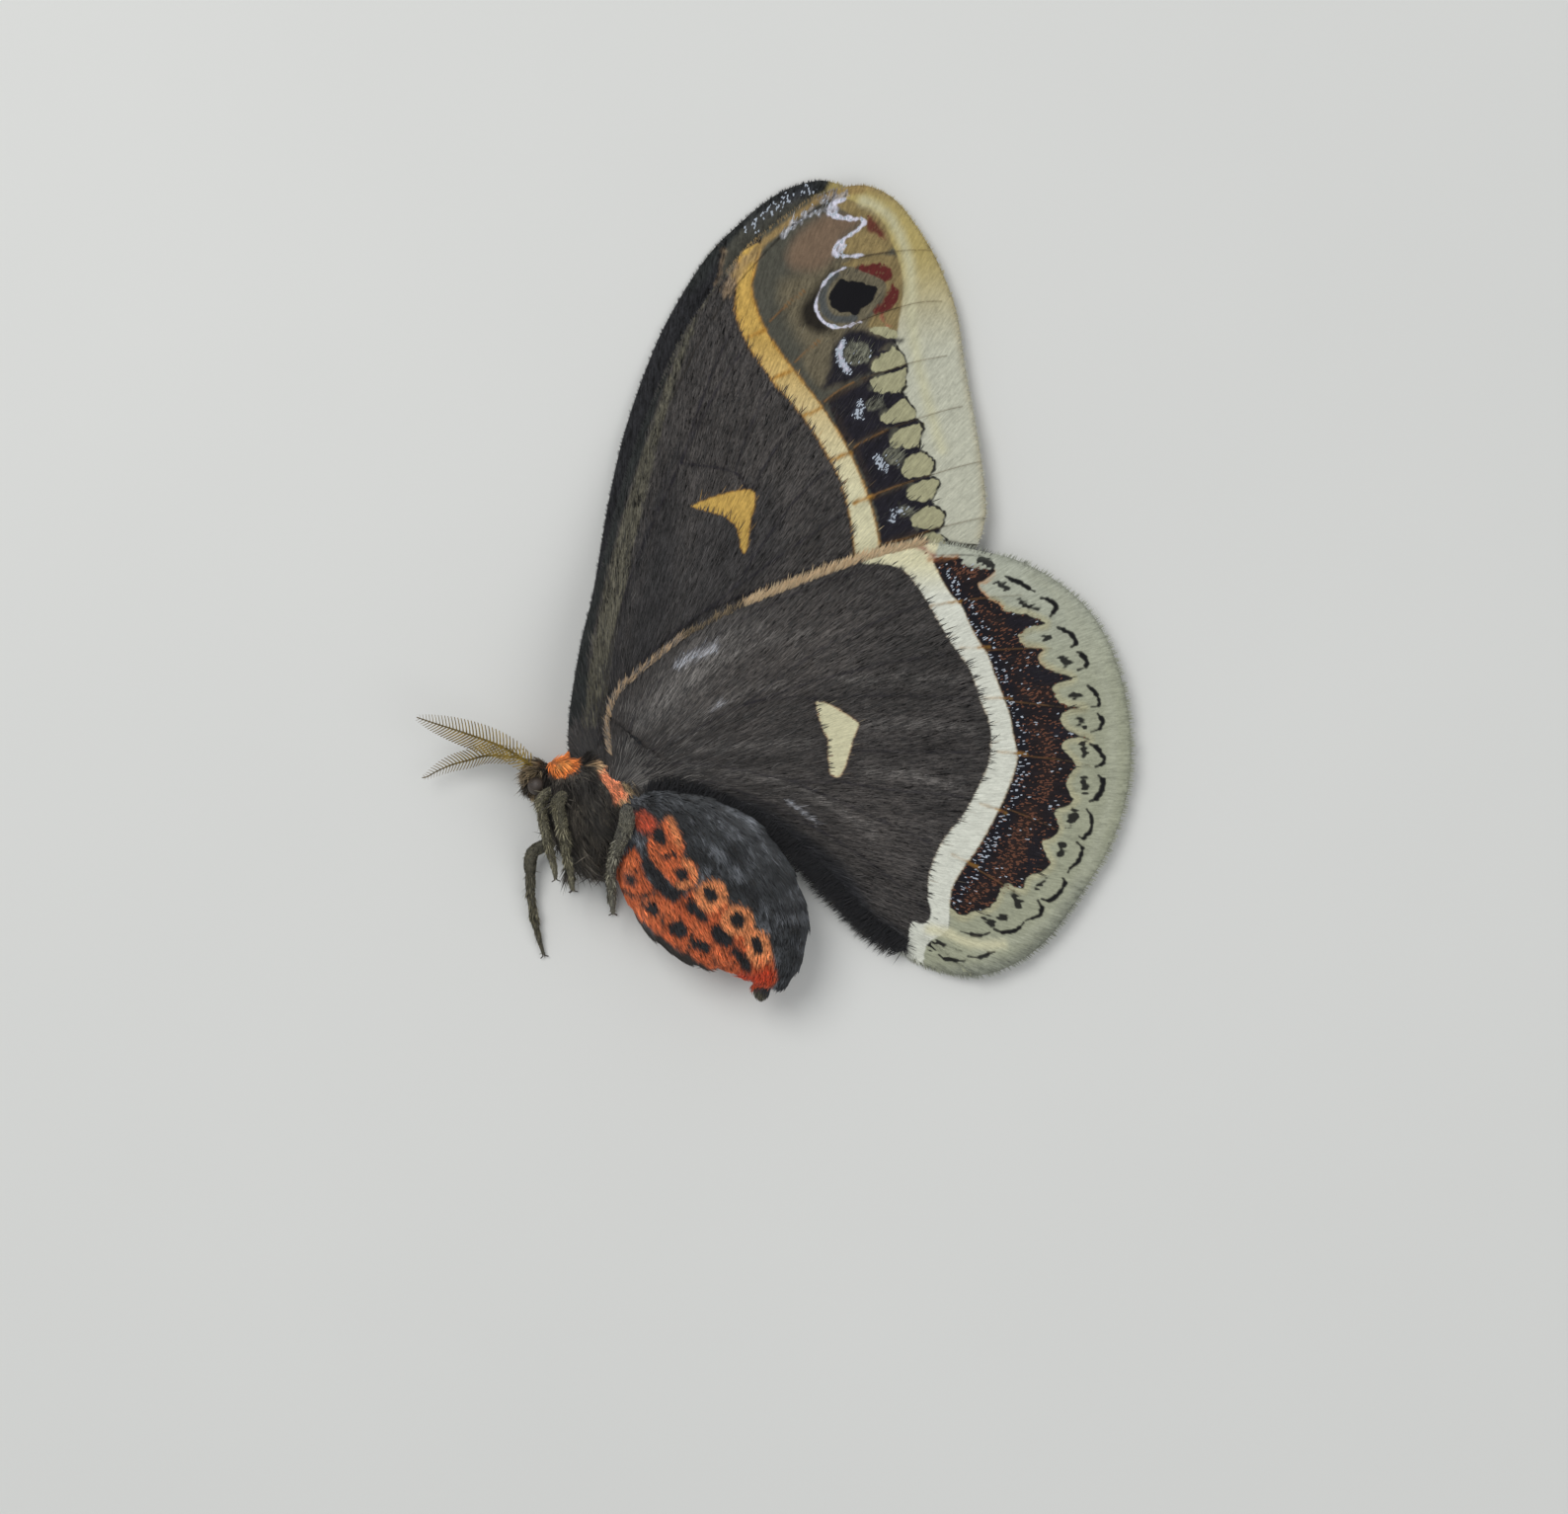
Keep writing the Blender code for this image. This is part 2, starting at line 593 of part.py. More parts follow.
def leg(name, stations):
    shaft = tube(name, stations, LEG_STEPS, LEG_SIDES)
    end = Vector(stations[-1][:3])
    along = (end - Vector(stations[-2][:3])).normalized()
    across = along.cross(Vector((0.0, 0.0, 1.0))).normalized()
    claws = []
    for side in (-1, 1):
        tip = end + along * CLAW_LENGTH + across * side * CLAW_LENGTH * CLAW_SPREAD
        claws.append(cone("claw", end - along * CLAW_ROOT, tip, CLAW_RADIUS, CLAW_TIP_RADIUS))
    fuse(shaft, claws)
    for vert in shaft.data.vertices:
        vert.co.z = max(vert.co.z, 0.0)
    shaft.data.shade_smooth()
    shaft.data.materials.append(material("leg"))
    return shaft


def antenna(name, stations, upper_tilt, lower_tilt):
    """A feathered antenna: a shaft with a row of tapered branches on each side, longest in the middle."""
    thinning = (SHAFT_TIP_RADIUS - SHAFT_RADIUS) / (len(stations) - 1)
    shaft_points = [(*spot, SHAFT_RADIUS + thinning * i) for i, spot in enumerate(stations)]
    shaft = tube(name, shaft_points, 3, 6)
    line = [Vector(p[:3]) for p in smooth_curve(shaft_points, 16)]
    rows = []
    for i in range(BRANCHES):
        share = i / (BRANCHES - 1)
        at = int((BRANCH_START + (BRANCH_END - BRANCH_START) * share) * (len(line) - 2))
        along = (line[at + 1] - line[at]).normalized()
        across = Vector((-along.y, along.x, 0.0)).normalized()
        bulge = math.sin(math.pi * (BRANCH_ARC[0] + BRANCH_ARC[1] * share))
        length = BRANCH_SHORT + (BRANCH_LONG - BRANCH_SHORT) * bulge
        for side, tilt in ((-1, upper_tilt), (1, lower_tilt)):
            out = across * side * math.cos(tilt) + Vector((0.0, 0.0, math.sin(tilt)))
            aim = along * math.cos(BRANCH_LEAN) + out * math.sin(BRANCH_LEAN)
            root = line[at] - aim * BRANCH_SINK
            rows.append(cone("branch", root, root + aim * length, BRANCH_ROOT_RADIUS, BRANCH_TIP_RADIUS))
    fuse(shaft, rows)
    shaft.data.materials.append(material("antenna"))
    return shaft


def head(name, eye_cutters, thorax_cutter):
    skull = ellipsoid(name, HEAD_MIDDLE, HEAD_HALF, 0.0, 18, 12)
    palps = []
    for side in (-1, 1):
        mirror = Matrix.Diagonal((1.0, 1.0, side))
        root = HEAD_MIDDLE + mirror @ PALP_OFFSET
        palps.append(cone("palp", root, root + mirror @ PALP_REACH, PALP_RADIUS, PALP_TIP_RADIUS, 6))
    fuse(skull, palps)
    carve(skull, [thorax_cutter] + eye_cutters)
    skull.data.materials.append(material("body"))
    return skull


def build():
    clear_scene()
    thorax("thorax")
    abdomen("abdomen")
    thorax_cutter = as_cutter(thorax("thorax_cutter", GAP, floor=False))
    abdomen_cutter = as_cutter(abdomen("abdomen_cutter", GAP, floor=False))
    carve(bpy.data.objects["abdomen"], [thorax_cutter])

    eye_cutters = []
    for side, put in (("left", Vector), ("right", mirrored)):
        middle = put(HEAD_MIDDLE + EYE_OFFSET)
        eye = ellipsoid("eye_" + side, middle, [EYE_RADIUS] * 3, 0.0, 14, 10)
        eye.data.materials.append(material("eye"))
        grown = ellipsoid("eye_cutter_" + side, middle, [EYE_RADIUS] * 3, 0.0, 14, 10, GAP)
        eye_cutters.append(as_cutter(grown))
    head("head", eye_cutters, thorax_cutter)
    head_cutter = as_cutter(ellipsoid("head_cutter", HEAD_MIDDLE, HEAD_HALF, 0.0, 18, 12, GAP))

    lobe = ellipsoid("abdomen_tip", TIP_LOBE_MIDDLE, TIP_LOBE_HALF, 0.0, 12, 8)
    lobe.data.materials.append(material("body"))
    carve(lobe, [abdomen_cutter])

    for name, shape in ANTENNAE.items():
        carve(antenna(name, *shape), [head_cutter, thorax_cutter] + eye_cutters)
    for name, stations in LEGS.items():
        carve(leg(name, stations), [thorax_cutter, abdomen_cutter, head_cutter])

    fore, hind = [FOREWING_OUTLINE] + FOREWING_VEINS, [HINDWING_OUTLINE] + HINDWING_VEINS
    right_fore = [turned(line, RIGHT_FORE_PIVOT, RIGHT_FORE_TURN, RIGHT_FORE_SHRINK) for line in fore]
    right_hind = [turned(line, HINGE, RIGHT_HIND_TURN, RIGHT_HIND_SHRINK) for line in hind]
    wings = [
        wing("hindwing_right", right_hind[0], right_hind[1:], RIGHT_HIND_LEVELS, no_sink, -1),
        wing("forewing_right", right_fore[0], right_fore[1:], RIGHT_FORE_LEVELS, tip_sink, -1),
        wing("forewing_left", FOREWING_OUTLINE, FOREWING_VEINS, LEFT_FORE_LEVELS, tip_sink, 1),
        wing("hindwing_left", HINDWING_OUTLINE, HINDWING_VEINS, LEFT_HIND_LEVELS, hind_sink, 1),
    ]
    for sheet in wings:
        carve(sheet, [thorax_cutter, abdomen_cutter])


build()
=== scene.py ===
"""Dresses the solid model of a calleta silkmoth: scaled wings, hair, eyes and feathered antennae.

The moth lies on its right side, so its left side faces up. Plan shapes are in millimetres from the middle
of the whole moth's box, with +X towards the hindwings' outer edge and +Y towards the forewing tips.
"""

import math
from collections import namedtuple

import bmesh
import bpy
import numpy as np
from bpy.props import FloatProperty, FloatVectorProperty, PointerProperty
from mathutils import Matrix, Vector
from mathutils.bvhtree import BVHTree
from mathutils.geometry import delaunay_2d_cdt


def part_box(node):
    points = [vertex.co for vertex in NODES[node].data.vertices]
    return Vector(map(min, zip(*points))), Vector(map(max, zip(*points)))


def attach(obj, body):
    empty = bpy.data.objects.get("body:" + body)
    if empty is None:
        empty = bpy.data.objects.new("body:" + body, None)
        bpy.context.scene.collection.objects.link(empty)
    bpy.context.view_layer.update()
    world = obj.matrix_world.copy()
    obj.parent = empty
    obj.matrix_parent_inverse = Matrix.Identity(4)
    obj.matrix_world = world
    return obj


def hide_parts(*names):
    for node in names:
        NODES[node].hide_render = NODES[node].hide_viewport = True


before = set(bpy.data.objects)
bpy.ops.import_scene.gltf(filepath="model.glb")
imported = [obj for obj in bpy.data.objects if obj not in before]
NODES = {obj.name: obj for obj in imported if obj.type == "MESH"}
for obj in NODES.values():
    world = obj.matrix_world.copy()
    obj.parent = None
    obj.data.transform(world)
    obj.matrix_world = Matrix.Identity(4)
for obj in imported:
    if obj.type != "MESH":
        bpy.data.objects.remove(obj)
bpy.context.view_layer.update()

bl_info = {
    "name": "Calleta silkmoth",
    "version": (1, 0, 0),
    "blender": (4, 5, 0),
    "location": "View3D > Sidebar > Silkmoth",
    "description": "Dresses a silkmoth's solid model with scales, hair, eyes and feathered antennae",
    "category": "Object",
}

MM = 0.001

# The wing hinge on the back, and how far from it the closed wings still spread round the body.
HINGE = (-15.5, -15.5)
SPREAD_RADIUS = 20.0

# Root that the rows of scales and hairs on the wings fan out from, and the radius where fan widths are true.
FAN_ROOT = np.array((-15.0, -19.0))
FAN_RADIUS = 40.0

# The forewing's lower edge, which the shown hindwing lies over.
FORE_EDGE_START = np.array((-12.2, -13.7))
FORE_EDGE_END = np.array((18.2, 3.9))

FOREWING_OUTLINE = [
    (-18.6, -14.0), (-17.6, -5.3), (-15.9, 1.5), (-14.0, 9.2), (-12.0, 15.5), (-9.3, 21.7), (-7.0, 25.8),
    (-3.3, 30.8), (0.2, 33.9), (4.0, 36.4), (7.4, 37.3), (9.6, 36.9), (11.7, 35.4), (14.2, 31.8),
    (15.7, 28.7), (16.8, 25.4), (17.5, 20.8), (18.6, 14.5), (19.3, 9.4), (19.3, 6.6), (18.0, 3.6),
    (12.3, 0.2), (5.0, -3.9), (-4.0, -9.0), (-10.5, -14.4), (-13.0, -17.8), (-16.5, -18.6),
]

HINDWING_OUTLINE = [
    (-14.9, -15.2), (-15.1, -12.0), (-14.3, -9.5), (-12.3, -7.5), (-8.6, -4.4), (-3.0, -1.3), (3.2, 1.2),
    (9.0, 3.3), (13.5, 4.4), (18.9, 3.6), (22.9, 2.5), (26.8, 0.2), (29.7, -2.9), (31.7, -7.4),
    (32.7, -12.8), (32.5, -18.0), (31.0, -23.0), (28.3, -27.6), (25.0, -32.0), (21.6, -34.4), (18.0, -35.3),
    (14.4, -34.5), (11.8, -33.0), (8.0, -30.2), (4.3, -26.4), (0.6, -22.9), (-3.4, -20.2), (-8.6, -18.2),
    (-11.5, -18.6), (-15.0, -19.2),
]

# Veins: the costa and the branches to the outer edge, then the cell's rim and the hind vein.
FOREWING_VEINS = [
    [(-16.7, -13.0), (-16.1, -8.2), (-14.7, -0.1), (-12.6, 9.0), (-10.2, 16.2), (-7.4, 22.6), (-3.6, 28.9),
        (2.6, 34.4)],
    [(-16.2, -13.7), (-14.4, -3.7), (-12.2, 3.5), (-8.6, 11.7), (-5.8, 19.8), (-2.2, 27.1), (3.2, 33.0),
        (8.6, 35.3)],
    [(-8.6, 11.7), (-4.5, 19.8), (-0.4, 24.8), (3.5, 28.2), (7.0, 30.4), (11.6, 31.3), (15.3, 31.3)],
    [(-3.6, 10.8), (-1.6, 16.4), (1.4, 20.5), (4.4, 23.2), (8.0, 24.9), (13.1, 26.5), (17.0, 26.6)],
    [(-2.5, 8.5), (0.5, 13.5), (4.6, 17.4), (7.3, 19.2), (10.9, 20.4), (13.1, 21.1), (17.0, 21.8),
        (18.1, 21.7)],
    [(-2.2, 2.6), (2.2, 8.6), (6.9, 12.8), (8.4, 13.8), (10.4, 14.8), (12.0, 15.4), (14.3, 16.2),
        (16.9, 16.9), (18.7, 17.0)],
    [(-4.0, -0.1), (3.2, 5.0), (8.5, 8.4), (10.4, 9.3), (12.4, 10.0), (14.3, 10.6), (16.6, 11.3),
        (19.0, 11.9)],
    [(-6.3, -1.9), (1.4, 1.3), (9.5, 4.1), (12.4, 4.9), (15.2, 5.8), (18.9, 6.7), (19.4, 6.8)],
    [(-16.0, -14.2), (-11.7, -6.4), (-6.3, -1.9), (-4.0, -0.1), (-2.2, 2.6), (-2.0, 5.6), (-2.5, 8.5),
        (-3.6, 10.8), (-8.6, 11.7)],
    [(-14.6, -14.8), (-3.1, -6.8), (10.5, 0.9), (16.6, 3.9)],
]

HINDWING_VEINS = [
    [(-13.8, -14.6), (-11.7, -10.1), (-7.2, -5.5), (0.5, -1.0), (7.7, 1.7), (15.4, 3.2)],
    [(-2.7, -10.5), (4.1, -5.5), (10.5, -2.4), (14.1, -1.3), (22.6, -0.4), (26.4, -0.8)],
    [(-2.7, -10.5), (4.1, -8.2), (10.5, -6.6), (16.8, -5.7), (24.4, -5.2), (29.6, -5.6)],
    [(3.2, -9.9), (10.5, -9.6), (19.3, -9.9), (26.2, -10.6), (31.2, -11.2)],
    [(5.5, -14.6), (12.3, -14.7), (20.2, -14.9), (27.2, -15.6), (31.4, -16.8)],
    [(5.5, -17.3), (10.5, -18.2), (18.6, -19.1), (25.9, -21.8), (29.6, -23.8)],
    [(1.4, -17.3), (8.7, -20.5), (15.6, -23.8), (21.8, -27.4), (25.6, -29.9)],
    [(-12.9, -15.1), (-9.1, -13.9), (-2.7, -10.5), (3.2, -9.9), (5.2, -11.9), (5.5, -14.6), (5.5, -17.3),
        (1.4, -17.3), (-5.8, -15.9), (-12.2, -15.9)],
    [(-11.8, -16.6), (-4.0, -18.0), (5.9, -22.9), (13.2, -28.6), (17.6, -33.8)],
]

# Crest of the hindwing's fold; past it the wing drops towards the abdomen.
FOLD = [
    (-9.0, -16.2), (-4.6, -17.7), (-1.6, -18.3), (1.3, -20.0), (4.3, -22.4), (6.9, -24.8), (9.7, -28.4),
    (12.3, -30.5),
]

# Each kind of scale: its colour and the grain of its nap, then the share of rust scales and of blue-white
# ones if there are any. Grey sheen is painted sheen; frost makes pale flecks on the forewing and painted
# highlights on the hindwing.
SCALES = {
    "charcoal": ("#393634", 1.0), "deep charcoal": ("#242426", 0.8), "soft brown": ("#474340", 1.0),
    "grey sheen": ("#74706c", 1.0), "soot": ("#1b1920", 0.4), "jet": ("#0c0b0f", 0.0),
    "margin light": ("#a9ac9c", 0.1), "margin pale": ("#a2a491", 0.1), "green charcoal": ("#232524", 0.8),
    "umber": ("#3c3127", 0.4), "blue soot": ("#15141b", 0.1, 0.06, 0.12), "slate": ("#49483f", 0.2),
    "olive brown": ("#655d4a", 0.3), "olive": ("#82714b", 0.2), "costal olive": ("#4e4b40", 1.0),
    "costal orange": ("#8f774c", 0.2), "dark vein": ("#1c1813", 0.1), "vein brown": ("#54422b", 0.1),
    "orange vein": ("#7a5730", 0.1), "taupe": ("#705d4b", 0.1), "lilac white": ("#cfcddb", 0.1, 0.0, 0.35),
    "frost": ("#9a9a9e", 1.0, 0.0, 0.1), "white specks": ("#3c3e46", 0.1, 0.0, 0.62),
    "maroon": ("#58221f", 0.1, 0.1, 0.0), "tan ring": ("#625b49", 0.3), "dark grey": ("#4a4c4a", 0.2),
    "shadow brown": ("#1f1b15", 0.2), "grey tan": ("#5f5f52", 1.0, 0.0, 0.05), "lobe": ("#9c9979", 0.12),
    "gold": ("#b8964e", 0.25), "cream": ("#cbc6a4", 0.12), "bone": ("#cdcec1", 0.08),
    "amber": ("#a1742f", 0.3), "straw": ("#a6965f", 0.08), "pale stripe": ("#bab798", 0.06),
    "pale margin": ("#b4b4a2", 0.08), "grey margin": ("#979983", 0.1), "rim tan": ("#90805a", 0.12),
    "rim grey": ("#73766a", 0.3), "oval": ("#a5a284", 0.2), "zone black": ("#1b1619", 0.3, 0.12, 0.01),
    "rust": ("#2a1d19", 0.3, 0.38, 0.01), "orange": ("#b07544", 0.2, 0.1, 0.0),
    "pink tan": ("#9b8468", 0.6), "red": ("#8e4c40", 0.4, 0.1, 0.0),
}

FORE_BAND_INNER = [
    (-3.1, 31.2), (-3.3, 30.0), (-3.5, 28.0), (-3.5, 25.5), (-2.5, 22.8), (-0.1, 19.3), (2.8, 15.8),
    (5.0, 12.3), (6.2, 9.7), (7.0, 6.6), (7.4, 3.3), (7.6, -1.0),
]
FORE_BAND_OUTER = [
    (-1.2, 31.9), (-1.9, 29.2), (-2.1, 28.0), (-1.8, 26.5), (-0.7, 23.8), (1.7, 20.4), (4.4, 16.9),
    (6.8, 12.9), (8.4, 9.2), (9.2, 6.6), (9.6, 4.1), (9.8, -1.0),
]
# Dark scalloped line on the inside of the pale margin.
FORE_CRENEL = [
    (11.1, 22.9), (11.3, 22.3), (11.8, 21.9), (12.1, 21.3), (12.2, 20.8), (12.3, 20.2), (12.1, 19.7),
    (12.1, 18.9), (11.7, 18.3), (12.1, 17.8), (12.5, 17.2), (13.0, 16.6), (13.0, 15.9), (13.5, 15.4),
    (13.7, 14.7), (13.4, 13.9), (13.4, 13.1), (13.9, 12.7), (14.7, 12.0), (14.6, 11.1), (14.3, 10.5),
    (15.0, 10.3), (15.2, 9.8), (14.9, 9.1), (14.6, 8.5), (14.6, 8.0), (15.5, 7.3), (15.7, 6.9), (15.5, 6.2),
    (15.2, 5.4), (15.8, 4.7),
]
FORE_MARGIN = [(5.6, 37.2), (7.2, 35.9), (8.9, 35.1), (10.2, 33.6), (10.9, 31.8), (11.5, 30.3),
    (11.9, 27.9), (11.5, 25.1), (11.3, 23.7)] + FORE_CRENEL
FORE_DISCAL = [
    (-7.5, 7.7), (-6.5, 8.2), (-5.1, 8.7), (-3.5, 9.1), (-2.0, 9.2), (-1.8, 8.6), (-1.8, 7.8), (-2.1, 6.6),
    (-2.3, 5.4), (-2.4, 4.3), (-2.7, 3.4), (-3.0, 3.8), (-3.2, 4.9), (-3.3, 5.6), (-3.7, 6.1), (-4.2, 6.6),
    (-4.9, 6.9), (-6.2, 7.3),
]
# Black fill of each space between two forewing veins, and the pale lobes at its outer end.
FORE_CELLS = [
    [(4.4, 18.6), (5.2, 20.4), (5.5, 22.3), (6.3, 23.6), (7.6, 24.0), (9.3, 23.6), (11.8, 23.1),
        (10.6, 22.6), (9.4, 21.6), (8.9, 20.6), (9.8, 20.4), (8.4, 19.8), (6.6, 19.2)],
    [(5.0, 17.4), (7.4, 18.8), (9.0, 19.7), (8.7, 18.6), (9.2, 18.4), (10.4, 18.3), (12.1, 18.15),
        (11.2, 17.6), (10.2, 16.8), (9.7, 16.1), (10.2, 15.5), (11.6, 15.4), (10.2, 14.8), (8.2, 13.9),
        (6.9, 13.4), (5.9, 14.8)],
    [(7.4, 13.2), (9.0, 14.1), (10.6, 14.9), (10.6, 14.0), (11.2, 13.4), (13.4, 13.2), (12.3, 12.4),
        (11.7, 11.4), (12.0, 10.6), (12.8, 10.2), (11.0, 9.6), (9.0, 8.8), (8.4, 10.2), (7.5, 12.0)],
    [(9.1, 8.5), (10.6, 9.1), (12.2, 9.7), (12.2, 8.8), (13.4, 8.3), (14.6, 8.2), (13.2, 7.3), (12.7, 6.3),
        (13.0, 5.6), (13.8, 5.4), (12.0, 4.9), (10.0, 4.3), (9.7, 5.6), (9.4, 7.2)],
    [(9.8, 4.0), (12.0, 4.7), (13.8, 5.2), (14.8, 4.2), (14.0, 1.0), (10.0, 0.0)],
]
FORE_LOBES = [
    [(9.8, 24.3), (11.2, 24.0), (11.2, 23.3), (9.8, 23.4), (8.8, 24.1)],
    [(11.0, 22.6), (10.5, 22.2), (9.8, 21.6), (9.1, 21.1), (8.8, 20.5), (9.0, 20.2), (10.0, 20.2),
        (11.1, 20.5), (12.2, 20.8), (12.1, 21.4), (11.7, 21.9)],
    [(10.2, 20.0), (11.2, 20.2), (12.2, 20.5), (12.1, 18.9), (11.8, 18.4), (11.1, 18.2), (10.0, 18.2),
        (9.3, 18.3), (9.0, 18.8), (8.9, 19.3), (9.4, 19.6)],
    [(11.8, 17.7), (12.4, 17.2), (13.0, 16.6), (13.0, 15.9), (11.9, 15.6), (11.1, 15.5), (10.1, 15.5),
        (9.8, 15.9), (10.1, 16.4), (10.7, 16.8), (11.1, 17.2)],
    [(11.5, 14.8), (12.6, 15.2), (13.6, 15.4), (13.6, 14.7), (13.4, 13.8), (13.3, 13.3), (12.3, 13.1),
        (11.4, 13.2), (10.7, 13.3), (10.6, 13.9), (11.1, 14.4)],
    [(13.3, 12.8), (13.9, 12.6), (14.6, 12.0), (14.5, 11.1), (14.3, 10.7), (13.0, 10.4), (12.2, 10.5),
        (11.7, 10.9), (11.8, 11.6), (12.2, 12.2)],
    [(13.0, 9.9), (14.3, 10.3), (15.1, 10.2), (15.1, 9.7), (14.8, 9.0), (14.4, 8.4), (13.3, 8.2),
        (12.5, 8.4), (12.1, 8.9), (12.3, 9.4)],
    [(13.9, 7.7), (14.7, 7.8), (15.5, 7.2), (15.6, 6.6), (15.3, 6.0), (14.0, 5.6), (12.9, 5.9),
        (12.6, 6.6), (13.2, 7.3)],
    [(13.8, 5.1), (14.8, 5.4), (15.6, 4.9), (15.2, 3.6), (14.0, 3.6)],
]
HIND_BAND_INNER = [
    (8.2, 2.6), (9.6, 2.5), (11.3, 2.1), (12.2, 1.5), (12.9, 0.6), (13.7, -0.6), (14.4, -1.7), (15.3, -3.3),
    (16.0, -4.5), (16.8, -5.6), (17.6, -6.6), (18.1, -7.6), (18.6, -8.8), (18.9, -10.0), (19.5, -11.2),
    (19.8, -12.5), (19.9, -14.0), (19.6, -16.0), (18.7, -18.0), (17.4, -20.4), (15.8, -22.4), (14.9, -24.0),
    (14.2, -26.0), (14.1, -28.0), (14.4, -29.7), (13.6, -30.5), (12.5, -30.5), (12.3, -34.5),
]
HIND_BAND_OUTER = [
    (14.6, 4.4), (14.5, 2.8), (14.9, 1.8), (15.4, 0.8), (16.1, -0.3), (17.2, -1.5), (17.7, -2.7),
    (18.7, -4.6), (19.6, -5.9), (20.2, -7.6), (20.9, -9.4), (21.6, -11.3), (21.9, -13.0), (22.3, -15.2),
    (21.8, -17.2), (21.0, -19.2), (20.0, -21.2), (18.7, -23.5), (17.4, -25.3), (16.4, -27.0), (16.1, -28.6),
    (15.9, -31.0), (14.0, -32.4), (13.6, -34.8),
]
# Outer edge of the hindwing's dark zone, with its teeth between the ovals.
HIND_ZONE = [
    (15.0, 3.05), (16.2, 3.0), (17.3, 2.9), (17.1, 2.4), (18.0, 2.1), (19.9, 1.9), (20.1, 1.7), (19.2, 0.9),
    (18.6, 0.6), (19.2, -0.4), (20.0, -1.0), (20.6, -1.3), (20.9, -1.8), (22.0, -2.0), (23.3, -2.15),
    (24.9, -2.95), (23.8, -3.2), (22.9, -3.6), (22.4, -4.1), (22.9, -5.0), (24.6, -5.3), (24.4, -5.7),
    (24.2, -6.2), (24.6, -6.8), (25.6, -7.3), (27.3, -7.95), (26.6, -8.25), (25.9, -8.6), (25.6, -9.1),
    (26.2, -10.2), (27.2, -10.55), (28.4, -10.65), (27.2, -10.8), (26.5, -11.2), (26.3, -11.7),
    (26.9, -12.7), (28.0, -13.2), (28.9, -13.55), (27.4, -13.45), (26.4, -14.1), (26.9, -14.9),
    (27.7, -15.9), (27.3, -16.6), (26.9, -17.5), (27.2, -18.6), (27.6, -19.1), (26.6, -19.8), (25.8, -20.1),
    (25.9, -20.8), (26.1, -21.7), (25.4, -22.7), (24.6, -23.0), (25.0, -24.2), (25.4, -25.0), (24.6, -25.7),
    (23.4, -26.1), (23.0, -26.8), (22.8, -27.3), (21.5, -26.9), (20.8, -27.3), (20.4, -28.3), (19.6, -29.1),
    (18.5, -29.3), (17.3, -29.8), (16.1, -29.0),
]
HIND_DISCAL = [
    (3.8, -10.3), (4.4, -10.2), (5.0, -10.4), (6.4, -11.2), (7.7, -12.1), (7.6, -12.6), (7.3, -13.4),
    (7.0, -14.4), (6.7, -15.4), (6.4, -16.3), (5.9, -17.0), (5.6, -17.0), (5.1, -16.7), (5.0, -15.8),
    (4.9, -14.8), (4.9, -13.5), (4.5, -12.9), (4.1, -11.7),
]
# Dark bows past the ovals along the hindwing's margin, with their half width, and the ends of each oval's
# dot.
HIND_BOWS = [
    (0.15, [(21.1, 1.33), (21.6, 1.1), (22.5, 0.73), (23.3, 0.2), (23.8, -0.05)]),
    (0.19, [(24.5, -0.7), (25.0, -0.77), (25.5, -1.07), (25.8, -1.4), (25.6, -1.9), (25.3, -2.3)]),
    (0.17, [(26.0, -3.3), (26.6, -3.6), (27.2, -3.9), (27.6, -4.4), (27.7, -4.8), (27.3, -5.1)]),
    (0.17, [(27.8, -5.6), (28.2, -5.74), (28.5, -6.1), (28.7, -6.5), (28.6, -6.9), (27.9, -7.2)]),
    (0.13, [(28.8, -8.7), (29.2, -9.0), (29.5, -9.4), (29.8, -9.95), (29.8, -10.5), (29.1, -10.6)]),
    (0.15, [(29.7, -11.2), (30.0, -11.6), (30.2, -12.0), (29.9, -12.6), (29.1, -12.9)]),
    (0.16, [(29.0, -14.0), (29.6, -14.3), (30.0, -14.9), (30.3, -15.4), (30.0, -15.9), (29.5, -16.1)]),
    (0.17, [(29.8, -16.9), (30.2, -17.3), (30.2, -17.9), (30.0, -18.4), (29.6, -19.0), (29.0, -19.3)]),
    (0.14, [(28.7, -20.0), (29.1, -20.6), (29.2, -21.2), (29.0, -22.0), (28.4, -22.6), (28.0, -22.5)]),
    (0.14, [(27.8, -23.0), (28.3, -23.6), (28.1, -24.4), (27.7, -25.0), (27.2, -25.4), (27.0, -25.8)]),
    (0.14, [(26.5, -26.3), (26.7, -26.8), (26.4, -27.4), (25.8, -28.0), (25.2, -28.4), (24.6, -28.2)]),
    (0.14, [(24.2, -28.4), (24.6, -29.1), (24.4, -29.7), (23.7, -30.0), (23.1, -30.2)]),
    (0.13, [(22.9, -30.4), (22.5, -30.9), (21.9, -31.2), (21.0, -31.3), (20.2, -31.0)]),
    (0.12, [(19.8, -31.3), (19.0, -31.6), (18.1, -31.5), (17.1, -31.2)]),
    (0.13, [(15.1, -33.4), (15.7, -33.8), (16.8, -33.9), (17.5, -33.9)]),
    (0.12, [(17.8, -33.5), (18.9, -33.6), (19.6, -33.3), (20.2, -33.1)]),
]
